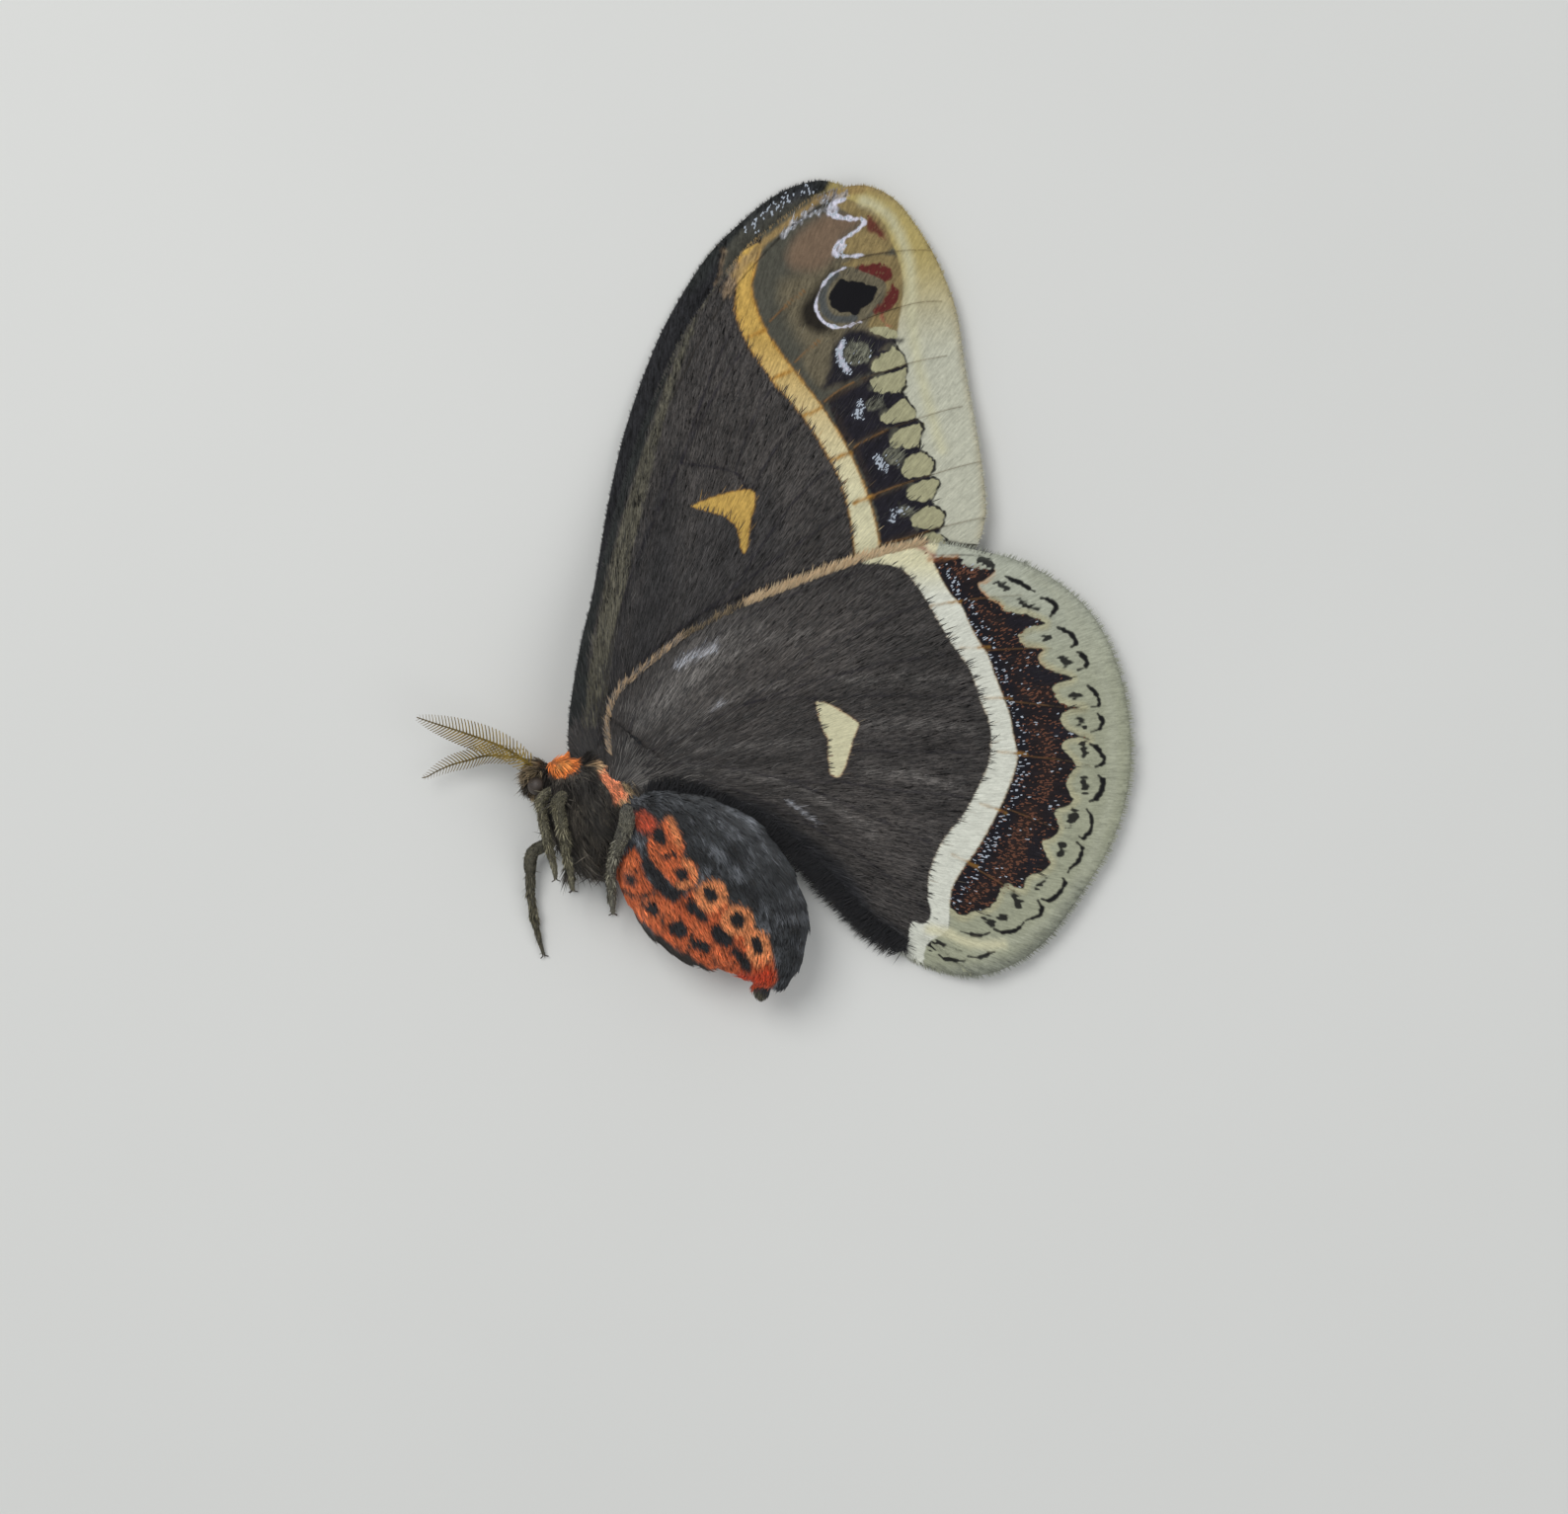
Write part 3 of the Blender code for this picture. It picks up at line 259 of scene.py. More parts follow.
HIND_DOTS = [
    (18.9, 2.75, 19.9, 2.3), (20.5, 0.5, 21.1, 0.35), (22.6, -1.2, 23.3, -1.4), (23.4, -1.5, 24.1, -1.7),
    (24.9, -4.35, 25.6, -4.4), (26.4, -6.3, 27.1, -6.4), (27.6, -9.4, 28.0, -9.5),
    (28.1, -11.9, 28.5, -12.1), (28.4, -14.2, 28.5, -15.0), (28.4, -17.4, 28.5, -18.2),
    (27.7, -20.4, 27.2, -21.3), (26.4, -23.4, 26.2, -24.2), (24.9, -26.5, 24.1, -27.1),
    (22.1, -28.1, 22.5, -28.8), (20.8, -29.8, 21.3, -29.8), (19.4, -30.1, 20.0, -30.4),
    (14.4, -32.3, 14.6, -32.8), (15.0, -32.3, 15.5, -32.6),
]

# Middles of the amber strokes across the forewing's band, and across the hindwing's with their turn in
# degrees.
FORE_CROSSINGS = [(-1.7, 23.6), (0.6, 19.8), (3.5, 16.4), (6.1, 12.3), (8.1, 8.3)]
HIND_CROSSINGS = [
    (15.5, -1.2, 8), (18.2, -5.2, 3), (20.3, -9.8, -2), (21.6, -14.8, -4), (19.9, -19.8, -20),
    (17.3, -24.6, -26),
]
# Painted sheen: streaks of grey light between the hindwing's veins.
HIND_SHEEN_STREAKS = [
    [(-12.4, -12.6), (-8.0, -8.6), (-3.0, -5.6), (3.0, -3.8)], [(-8.0, -12.4), (-4.2, -9.9), (0.4, -8.6)],
    [(-7.0, -14.6), (-2.4, -14.2), (3.0, -14.0)],
    [(-8.0, -16.0), (-2.0, -16.8), (4.0, -18.8), (9.0, -22.4)], [(6.0, -8.2), (12.0, -8.0), (17.0, -8.2)],
    [(8.0, -12.4), (13.0, -12.2), (18.0, -12.6)], [(8.0, -16.2), (13.0, -17.0), (17.0, -18.0)],
]
# Rust on the hindwing's dark zone: strength, softness, half width and line.
HIND_RUST = [
    (0.8, 1.4, 0.5, [(16.0, 1.6), (18.4, 1.6)]), (0.7, 1.0, 0.3, [(19.2, -2.0), (21.0, -3.4)]),
    (0.6, 1.0, 0.3, [(22.4, -6.4), (23.6, -6.0)]), (0.8, 1.2, 0.4, [(22.8, -9.2), (25.2, -9.4)]),
    (0.6, 1.4, 0.6, [(24.4, -12.6), (25.2, -15.6), (24.8, -18.4)]),
    (0.9, 1.4, 0.8, [(23.4, -20.4), (22.4, -23.4), (20.8, -26.2)]),
    (0.9, 1.2, 0.5, [(17.4, -28.6), (19.2, -27.4)]),
]
# Blue-white glint along the outside of the hindwing's band, and the region past that band.
HIND_GLINT = [
    (15.6, 1.8), (16.7, 0.0), (18.2, -2.6), (19.4, -4.6), (20.6, -7.0), (21.4, -9.0), (22.3, -11.4),
    (22.8, -14.0), (22.6, -17.0), (21.6, -20.0), (20.2, -22.6), (18.8, -24.8), (17.6, -26.6), (16.8, -28.2),
]
HIND_OUTSIDE = HIND_BAND_OUTER[:-1] + [(13.0, -40.0), (40, -40), (40, 10), (15.5, 10)]
# Middle of the hindwing, and the farthest right that a mark needs to reach.
HINDWING_MIDDLE = np.array((6.0, -12.0))
FAR_RIGHT = 40.0


def linear(colour):
    """An sRGB hex colour as linear red, green and blue."""
    parts = [int(colour[i:i + 2], 16) / 255 for i in (1, 3, 5)]
    return [c / 12.92 if c <= 0.04045 else ((c + 0.055) / 1.055) ** 2.4 for c in parts]


def unit(vectors):
    """Vectors made one unit long."""
    return vectors / np.maximum(np.linalg.norm(vectors, axis=-1, keepdims=True), 1e-9)


def ramp(value, low, high):
    """0 below low, 1 above high, with a smooth rise between."""
    t = np.clip((value - low) / (high - low), 0.0, 1.0)
    return t * t * (3 - 2 * t)


def scatter(ix, iy, seed):
    """A fixed number from 0 to 1 for each whole place."""
    n = (ix * 374761393 + iy * 668265263 + seed * 974634777) & 0xFFFFFFFF
    n = ((n ^ (n >> 13)) * 1274126177) & 0xFFFFFFFF
    return ((n ^ (n >> 16)) & 0xFFFF) / 65535.0


def noise(x, y, seed=0):
    """Smooth noise from 0 to 1 in the plane, with features about one unit across."""
    ix, iy = np.floor(x).astype(np.int64), np.floor(y).astype(np.int64)
    fx, fy = x - ix, y - iy
    fx, fy = fx * fx * (3 - 2 * fx), fy * fy * (3 - 2 * fy)
    low = scatter(ix, iy, seed) * (1 - fx) + scatter(ix + 1, iy, seed) * fx
    high = scatter(ix, iy + 1, seed) * (1 - fx) + scatter(ix + 1, iy + 1, seed) * fx
    return low * (1 - fy) + high * fy


def layered(places, layers):
    """Noise of several sizes over plan places. Each layer has its share, width, length and seed."""
    return sum(share * noise(places[:, 0] / wide, places[:, 1] / long, seed) for share, wide, long,
        seed in layers)


def smooth_curve(points, steps, closed=False):
    """Points on a Catmull-Rom curve through the given ones, which may have any number of coordinates."""
    points = np.asarray(points, float)
    size = len(points)
    rows = []
    t = (np.arange(steps) / steps)[:, None]
    for i in range(size if closed else size - 1):
        ends = [i - 1, i, i + 1, i + 2]
        a, b, c, d = (points[e % size] if closed else points[min(max(e, 0), size - 1)] for e in ends)
        square, cube = 2 * a - 5 * b + 4 * c - d, 3 * b - a - 3 * c + d
        rows.append(0.5 * (2 * b + (c - a) * t + square * t * t + cube * t ** 3))
    if not closed:
        rows.append(points[-1:])
    return np.concatenate(rows)


def looped(edge):
    """A closed outline with its first point again at the end."""
    return np.concatenate([edge, edge[:1]])


def to_line(points, line, reach=1e9):
    """Distance of each plan point to a line, the nearest place on it, and how far along the line that is.

    Points farther away than the reach get a huge distance.
    """
    line = np.asarray(line, float)
    order = np.argsort(points[:, 0])
    spots = points[order]
    best = np.full(len(points), 1e9)
    share = np.zeros(len(points))
    for k, (a, b) in enumerate(zip(line[:-1], line[1:])):
        first, last = np.searchsorted(spots[:, 0], (min(a[0], b[0]) - reach, max(a[0], b[0]) + reach))
        some = spots[first:last] - a
        along = b - a
        part = np.clip((some @ along) / max(along @ along, 1e-12), 0, 1)
        away = np.hypot(*(some - part[:, None] * along).T)
        near = np.flatnonzero(away < best[first:last])
        best[near + first], share[near + first] = away[near], k + part[near]
    k = np.minimum(share.astype(int), len(line) - 2)
    places = line[k] + (line[k + 1] - line[k]) * (share - k)[:, None]
    back = np.argsort(order)
    return best[back], places[back], share[back] / (len(line) - 1)


def inside(points, outline):
    """Which plan points lie inside a closed outline."""
    outline = np.asarray(outline, float)
    order = np.argsort(points[:, 1])
    spots = points[order]
    found = np.zeros(len(points), bool)
    for a, b in zip(outline, np.roll(outline, -1, 0)):
        first, last = np.searchsorted(spots[:, 1], sorted((a[1], b[1])))
        if last > first:
            some = spots[first:last]
            found[first:last] ^= some[:, 0] < a[0] + (b[0] - a[0]) * (some[:, 1] - a[1]) / (b[1] - a[1])
    return found[np.argsort(order)]


def beyond(line):
    """The region of the wing from a line out past the outer edge."""
    start_x, start_y = line[0]
    return line + [(FAR_RIGHT, line[-1][1]), (FAR_RIGHT, start_y + 6.0), (start_x + 3.0, start_y + 6.0)]


def between(vein, near, far, border):
    """The stretch of a vein that lies between two distances to the right of a border line."""
    line = smooth_curve(vein, 6)
    border = np.array(sorted(border, key=lambda place: place[1]))
    past = line[:, 0] - np.interp(line[:, 1], border[:, 1], border[:, 0])
    return line[(past > near) & (past < far)]


def bow_tops():
    """Places just outside the bows of the hindwing's margin, from the top down."""
    middles = np.array([np.mean(bow, axis=0) for _, bow in HIND_BOWS])
    middles = middles[np.argsort(-middles[:, 1])]
    return list(middles + 1.3 * unit(middles - HINDWING_MIDDLE))


def crossing(x, y, aim, back, ahead):
    """A short line through a plan place, turned by an angle in degrees."""
    step = np.array((math.cos(math.radians(aim)), math.sin(math.radians(aim))))
    return [np.array((x, y)) + step * back, np.array((x, y)) + step * ahead]


# What is painted on each face of the wings, in order: scales, strength, softness, jag, half width and line.
# A half width of 0 means a filled patch. Where the scales are four facts, they are the kind at the top, the
# kind at the bottom, the level above which the first holds and the level below which the second does.
FORE_MARKS = [
    ("soft brown", 0.3, 9.0, 1.0, 0, [(-10, 2), (-6, 14), (-3, 22), (2, 16), (5, 8), (2, 0), (-6, -6)]),
    ("deep charcoal", 0.6, 3.0, 1.0, 0, [(-14.4, -12), (-12.2, 2), (-9.4, 10), (-8.6, 3), (-10, -6),
        (-12.6, -12)]),
    ("deep charcoal", 0.45, 2.4, 1.0, 0, [(-7, 6), (-2, 9.6), (0, 9), (1, 3), (-3, 0), (-9, -5)]),
    ("costal olive", 1.0, 0.4, 0.5, 0, [(-17.4, -12), (-16.6, -6), (-15.2, 1), (-13.2, 8.6), (-10.9, 16),
        (-8.9, 21.8), (-6.6, 27), (-3.2, 31.2), (-2.6, 31), (-6.1, 27), (-8.2, 21.8), (-10.0, 16),
        (-11.8, 8.6), (-13.4, 1), (-14.7, -6), (-15.6, -12)]),
    ("green charcoal", 1.0, 0.3, 0.3, 0, [(-17.6, -12), (-16.8, -6), (-15.4, 1), (-13.4, 8.6), (-11.1, 16),
        (-9.1, 21.8), (-6.8, 27), (-3.4, 31.3), (-8, 31), (-20, 10), (-24, -12)]),
    # Painted shade in the groove of the fold beside the costal strip.
    ("deep charcoal", 0.75, 0.7, 0.5, 0.15, [(-15.0, -11.0), (-14.0, -4.0), (-12.2, 3.0), (-10.2, 9.4),
        (-8.6, 13.6)]),
    ("slate", 1.0, 0.12, 0.2, 0, beyond(FORE_BAND_OUTER)),
    ("olive brown", 1.0, 1.8, 0.3, 0, [(0.4, 28.0), (3.4, 29.6), (8.6, 31.2), (9.6, 27.0), (6.0, 23.6),
        (3.2, 22.4), (1.6, 24.4)]),
    ("olive brown", 0.95, 0.9, 0.3, 0, [(2.6, 21.9), (6.0, 24.3), (8.6, 25.3), (10.8, 23.2), (8.2, 20.2),
        (5.0, 18.6), (3.6, 19.4)]),
    ("taupe", 1.0, 1.5, 0.3, 0, [(1.4, 30.0), (1.8, 32.4), (4.3, 34.4), (5.6, 34.6), (8.0, 34.1),
        (6.1, 32.2), (5.6, 30.9), (4.0, 29.6)]),
    ("olive", 1.0, 0.5, 0.1, 0, [(8.1, 33.9), (6.9, 32.6), (6.0, 31.7), (6.7, 31.0), (10.4, 31.2),
        (11.2, 33.0), (9.8, 34.8), (8.2, 35.6), (6.4, 36.1), (5.6, 35.5)]),
    ("olive", 0.9, 0.5, 0.2, 0, [(6.2, 30.1), (11.4, 30.8), (11.8, 25.6), (11.2, 23.9), (8.6, 24.4),
        (10.0, 26.6), (9.8, 28.6)]),
    ("soot", 1.0, 0.25, 0.2, 0, FORE_CRENEL[1:] + [(x - 2.2, y - 0.4) for x, y in FORE_CRENEL[:0:-1]]),
    (("straw", "pale margin", 32.0, 21.0), 1.0, 0.3, 0.1, 0, beyond(FORE_MARGIN)),
    ("pale stripe", 0.85, 1.2, 0.2, 0.4, [(8.2, 35.9), (10.2, 34.8), (11.6, 32.6), (12.5, 29.6),
        (12.7, 25.0), (13.4, 20.0), (15.4, 13.0)]),
    ("costal orange", 0.9, 1.3, 0.2, 0.5, [(5.2, 37.4), (8.4, 37.3), (11.2, 36.6)]),
    ("rim tan", 0.9, 1.7, 0.2, 0.4, [(9.6, 37.2), (13.0, 34.6), (15.4, 30.6), (16.9, 26.4), (17.8, 21.0),
        (19.0, 14.6), (19.7, 8.0), (19.3, 5.0)]),
    ("maroon", 0.9, 0.5, 0.3, 0, [(8.7, 34.4), (9.2, 34.1), (9.7, 33.5), (10.2, 32.4), (9.7, 32.6),
        (9.2, 32.9), (8.5, 33.3)]),
    ("maroon", 1.0, 0.25, 0.6, 0, [(7.5, 29.6), (8.4, 30.1), (9.5, 30.2), (10.4, 29.9), (10.9, 29.2),
        (10.8, 28.6), (10.1, 28.4), (9.2, 28.7), (8.4, 29.0)]),
    ("maroon", 1.0, 0.25, 0.6, 0, [(10.9, 28.2), (11.3, 27.9), (11.4, 27.1), (11.0, 26.3), (10.1, 25.7),
        (9.2, 25.6), (9.1, 26.0), (10.0, 26.7), (10.2, 27.3), (10.7, 27.8)]),
    ("red", 0.7, 0.3, 1.0, 0.12, [(9.8, 25.3), (10.4, 24.6), (10.9, 24.2)]),
    ("shadow brown", 1.0, 1.2, 0.3, 0, [(5.4, 29.6), (4.2, 28.4), (3.0, 26.9), (2.3, 25.3), (3.4, 23.9),
        (5.3, 23.9), (4.4, 25.4), (4.2, 27.2)]),
    ("tan ring", 1.0, 0.2, 0.2, 0, [(6.6, 29.9), (8.2, 29.4), (10.0, 28.6), (10.2, 27.6), (9.0, 25.8),
        (8.0, 25.0), (6.7, 24.7), (5.4, 24.6), (4.3, 25.3), (3.9, 26.5), (4.3, 28.0), (5.2, 29.3)]),
    ("dark grey", 1.0, 0.3, 0.2, 0.34, [(5.7, 29.2), (4.8, 28.2), (4.4, 26.9), (4.8, 25.6), (5.9, 25.0),
        (7.4, 25.1)]),
    ("jet", 1.0, 0.1, 0.4, 0, [(5.9, 28.6), (6.6, 28.7), (7.5, 28.5), (8.5, 28.2), (9.5, 27.9),
        (9.2, 27.1), (8.7, 26.5), (8.1, 26.0), (7.6, 25.4), (6.9, 25.6), (6.0, 25.7), (5.3, 26.2),
        (5.1, 27.0), (5.3, 27.8)]),
    ("lilac white", 0.95, 0.12, 0.25, 0.09, [(6.6, 29.8), (5.4, 29.2), (4.6, 28.4), (4.1, 27.4),
        (3.8, 26.3), (4.0, 25.5), (4.6, 24.7), (5.5, 24.3), (6.6, 24.35), (7.9, 24.8)]),
    ("lilac white", 0.9, 0.15, 0.2, 0.14, [(3.85, 26.2), (4.1, 25.3), (4.8, 24.6), (5.7, 24.3)]),
    ("lilac white", 0.95, 0.2, 0.55, 0.13, [(6.4, 36.0), (5.6, 35.7), (4.9, 35.1), (5.4, 34.6),
        (6.7, 34.3), (8.2, 34.1), (8.0, 33.5), (6.8, 32.7), (5.8, 31.9), (5.6, 31.3), (6.4, 30.8),
        (8.2, 30.9)]),
    ("lilac white", 0.7, 0.5, 0.9, 0.2, [(5.6, 35.3), (5.1, 34.9)]),
    ("lilac white", 0.8, 0.5, 0.9, 0.25, [(6.2, 32.0), (5.9, 31.2)]),
    *[("soot", 1.0, soft, 0.4, 0, cell) for cell, soft in zip(FORE_CELLS, (0.8, 0.4, 0.35, 0.35, 0.4))],
    ("soot", 0.8, 1.6, 0.4, 0.2, [(5.2, 20.0), (5.6, 21.2), (5.9, 22.6)]),
    ("umber", 0.75, 0.7, 0.3, 0.2, [(4.6, 17.3), (6.2, 18.3), (8.4, 19.5)]),
    ("umber", 0.75, 0.7, 0.3, 0.2, [(6.8, 12.9), (8.2, 13.8), (10.0, 14.7)]),
    ("umber", 0.75, 0.7, 0.3, 0.2, [(8.6, 8.4), (10.2, 9.1), (11.8, 9.7)]),
    ("umber", 0.75, 0.9, 0.3, 0.2, [(9.6, 4.1), (11.4, 4.7), (13.0, 5.2)]),
    ("umber", 0.5, 0.9, 0.6, 0.2, [(5.4, 16.6), (6.4, 14.6), (7.6, 12.6), (8.8, 9.6)]),
    ("grey tan", 1.0, 0.4, 0.7, 0.95, [(7.3, 21.9), (7.9, 21.8)]),
    ("grey tan", 0.95, 0.4, 0.9, 0.55, [(8.8, 17.1), (9.5, 17.0)]),
    ("grey tan", 0.95, 0.4, 0.9, 0.6, [(10.6, 12.4), (11.3, 12.2)]),
    ("grey tan", 0.95, 0.4, 0.9, 0.45, [(11.7, 7.4), (12.4, 7.2)]),
    ("white specks", 1.0, 0.3, 0.3, 0.32, [(6.3, 22.9), (6.0, 22.1), (6.1, 21.2), (6.7, 20.3)]),
    ("lilac white", 0.85, 0.25, 0.3, 0.17, [(6.2, 22.8), (6.0, 22.0), (6.2, 21.1), (6.7, 20.4)]),
    ("white specks", 1.0, 0.4, 0.5, 0.45, [(7.7, 16.2), (7.9, 17.0)]),
    ("white specks", 1.0, 0.4, 0.5, 0.36, [(9.5, 12.2), (9.7, 11.8), (10.1, 11.3)]),
    ("white specks", 1.0, 0.3, 0.7, 0.28, [(11.3, 7.4), (11.0, 7.0), (10.8, 6.7)]),
    *[("lobe", 1.0, 0.12, 0.5, 0, lobe) for lobe in FORE_LOBES],
    ("jet", 0.95, 0.12, 0.4, 0.08, FORE_CRENEL),
    (("gold", "cream", 25.0, 7.0), 1.0, 0.2, 0.2, 0, FORE_BAND_INNER + FORE_BAND_OUTER[::-1]),
    ("amber", 0.7, 0.4, 0.3, 0.09, FORE_BAND_OUTER),
    ("amber", 0.6, 0.4, 0.3, 0.09, FORE_BAND_INNER),
    ("pink tan", 0.7, 0.9, 0.8, 0.4, [(-1.8, 31.0), (-3.2, 29.6), (-4.2, 27.6)]),
    *[("amber", 0.95, 0.5, 0.3, 0.14, [(x - 0.8, y - 0.3), (x + 0.8, y + 0.4)]) for x, y in FORE_CROSSINGS],
    *[row for vein in FOREWING_VEINS[2:8] for row in (
        ("orange vein", 0.8, 0.14, 0.0, 0.07, between(vein, 0.1, 5.0, FORE_BAND_OUTER)),
        ("vein brown", 0.65, 0.12, 0.0, 0.05, between(vein, -4.5, 4.6, FORE_CRENEL)),
        ("dark vein", 0.7, 0.12, 0.0, 0.05, between(vein, -3.6, 0.4, FORE_CRENEL)),
    )],
    *[("soot", 0.9, 0.3, 0.2, 0.07, between(vein, -40.0, -0.2,
        FORE_BAND_INNER)) for vein in FOREWING_VEINS[1:]],
    ("gold", 1.0, 0.2, 0.2, 0, FORE_DISCAL),
    ("amber", 0.55, 0.25, 0.2, 0.05, FORE_DISCAL + FORE_DISCAL[:1]),
    ("costal orange", 0.9, 0.5, 0.3, 0.3, [(-3.6, 29.0), (-1.2, 31.8), (1.4, 34.0), (4.4, 36.1),
        (8.0, 36.9)]),
    ("dark vein", 0.8, 0.15, 0.1, 0.07, [(-9.4, 17.4), (-7.0, 22.6), (-4.2, 27.2), (-0.6, 31.4),
        (2.2, 34.0), (5.2, 36.0)]),
    ("frost", 0.85, 0.3, 0.9, 0.16, [(0.8, 32.7), (1.6, 33.5), (2.9, 34.4), (4.3, 34.9), (5.3, 35.2)]),
    ("frost", 0.6, 0.3, 1.0, 0.06, [(1.8, 33.9), (4.4, 35.9), (6.6, 36.6)]),
]

HIND_MARKS = [
    ("soft brown", 0.9, 7.0, 1.0, 0, [(-10, -10), (-2, -4), (8, -1), (4, -8), (-6, -12)]),
    # Painted sheen: a pale grey patch near the hindwing's front edge.
    ("grey sheen", 0.5, 3.5, 1.2, 0, [(-12.6, -11.0), (-9.0, -7.0), (-4.6, -3.4), (-1.4, -3.0),
        (-4.6, -6.6), (-9.6, -11.6)]),
    ("soft brown", 0.7, 6.0, 1.0, 0, [(2, -17), (12, -18), (12, -27), (8, -24)]),
    # Painted sheen streaks between the veins.
    *[("grey sheen", 0.4, 1.3, 1.2, 0.2, light) for light in HIND_SHEEN_STREAKS],
    *[("soot", 0.85, 0.3, 0.2, 0.05, between(vein, -40.0, -0.2,
        HIND_BAND_INNER)) for vein in HINDWING_VEINS],
    (("margin light", "grey margin", 4.0, -12.0), 1.0, 0.3, 0.1, 0, HIND_OUTSIDE),
    ("oval", 0.9, 0.5, 0.2, 0.5, HIND_ZONE[10:]),
    ("orange", 0.75, 0.4, 0.5, 0.14, HIND_ZONE[6:13]),
    ("orange", 0.35, 0.4, 0.5, 0.1, HIND_ZONE[17:25]),
    ("zone black", 1.0, 0.14, 0.3, 0, HIND_BAND_OUTER[1:-2] + HIND_ZONE[::-1]),
    *[("rust", strength, soft, 0.6, half, line) for strength, soft, half, line in HIND_RUST],
    ("blue soot", 1.0, 0.6, 0.4, 0.5, HIND_GLINT),
    ("soot", 0.8, 0.7, 0.4, 0, [(24.0, -6.9), (25.4, -7.3), (26.8, -7.9), (25.2, -8.4), (22.8, -7.9)]),
    ("soot", 0.8, 0.7, 0.4, 0, [(21.6, -2.3), (24.4, -2.8), (22.6, -3.6), (21.2, -3.0)]),
    ("soot", 0.7, 0.6, 0.4, 0, [(25.6, -12.0), (28.2, -13.3), (26.2, -13.5), (25.2, -12.8)]),
    ("soot", 0.6, 0.7, 0.4, 0, [(24.2, -21.8), (24.4, -24.8), (23.2, -25.6), (23.2, -23.0)]),
    ("margin pale", 0.75, 1.5, 0.2, 0.45, bow_tops()),
    *[row for half, bow in HIND_BOWS for row in (
        ("jet", 0.9, 0.12, 0.2, half * 0.7, bow), ("jet", 0.95, 0.14, 0.3, half + 0.07, bow[1:-1]),
    )],
    *[("jet", 0.95, 0.2, 1.1, 0.26, [(a, b), (c, d)]) for a, b, c, d in HIND_DOTS],
    ("dark vein", 0.7, 0.2, 0.1, 0.05, [(14.6, 3.2), (17.0, 3.25), (18.8, 3.2)]),
    ("dark vein", 0.5, 0.12, 0.1, 0.04, [(15.4, -32.4), (17.2, -33.0)]),
    ("rim grey", 0.8, 1.7, 0.3, 0.1, HINDWING_OUTLINE[9:21]),
    ("rim grey", 0.9, 1.8, 0.5, 0.8, [(14.0, -35.2), (18.0, -35.2), (22.0, -34.0), (25.6, -31.4),
        (28.4, -27.6)]),
    (("cream", "bone", 3.0, -1.0), 1.0, 0.2, 0.2, 0, HIND_BAND_INNER + HIND_BAND_OUTER[::-1]),
    ("amber", 0.35, 0.3, 0.3, 0.04, HIND_BAND_OUTER[:-3]),
    ("pink tan", 0.4, 0.25, 0.3, 0.03, HIND_BAND_INNER[2:24]),
    ("cream", 0.8, 0.9, 0.3, 0.4, [(14.2, -31.0), (16.0, -31.4), (18.0, -32.3), (21.0, -32.4)]),
    *[row for x, y, aim in HIND_CROSSINGS for row in (
        ("amber", 0.4, 0.35, 0.3, 0.08, crossing(x, y, aim, -1.1, 0.9)),
        ("amber", 0.75, 0.35, 0.2, 0.08, crossing(x, y, aim, 0.5, 1.5)),
    )],
    *[row for vein in HINDWING_VEINS[1:7] for row in (
        ("orange vein", 0.6, 0.14, 0.0, 0.05, between(vein, 0.0, 4.6, HIND_BAND_OUTER)),
        ("vein brown", 0.6, 0.12, 0.0, 0.04, between(vein, 2.6, 7.0, HIND_BAND_OUTER)),
    )],
    ("pink tan", 0.9, 0.4, 0.4, 0.12, [(-2.4, -1.1), (3.2, 1.1), (9.0, 3.2), (12.6, 4.1)]),
    ("cream", 0.8, 0.6, 0.4, 0.4, [(8.6, 3.0), (11.6, 3.2), (14.4, 3.6)]),
    ("red", 0.85, 0.8, 0.6, 0.25, [(13.4, 4.0), (14.0, 3.6), (14.6, 3.1)]),
    ("orange", 0.5, 0.6, 0.4, 0.15, [(14.2, 2.8), (16.6, 3.1)]),
    ("cream", 1.0, 0.2, 0.2, 0, HIND_DISCAL),
    ("orange", 0.35, 0.25, 0.2, 0.04, HIND_DISCAL + HIND_DISCAL[:1]),
    # Painted highlights: the pale line on the crest of the fold, and glare and a light streak near the front
    # edge.
    ("frost", 0.85, 0.5, 0.4, 0.1, [(1.3, -19.3), (2.4, -20.0), (3.9, -21.2)]),
    ("frost", 0.7, 0.8, 1.0, 0.3, [(-8.6, -6.9), (-6.8, -5.9), (-5.5, -5.4)]),
    ("frost", 0.5, 0.5, 1.0, 0.1, [(-5.6, -10.9), (-4.6, -10.3)]),
    # Painted shade: the strip past the fold, which turns down towards the abdomen.
    ("deep charcoal", 1.0, 1.2, 0.4, 0, [(-9, -17.4), (-4.6, -18.5), (-1.6, -19.3), (1.3, -21.1),
        (4.3, -23.4), (6.9, -25.9), (9.4, -29.6), (11.6, -31.2), (12.0, -34.0), (4, -34), (-12, -22)]),
]

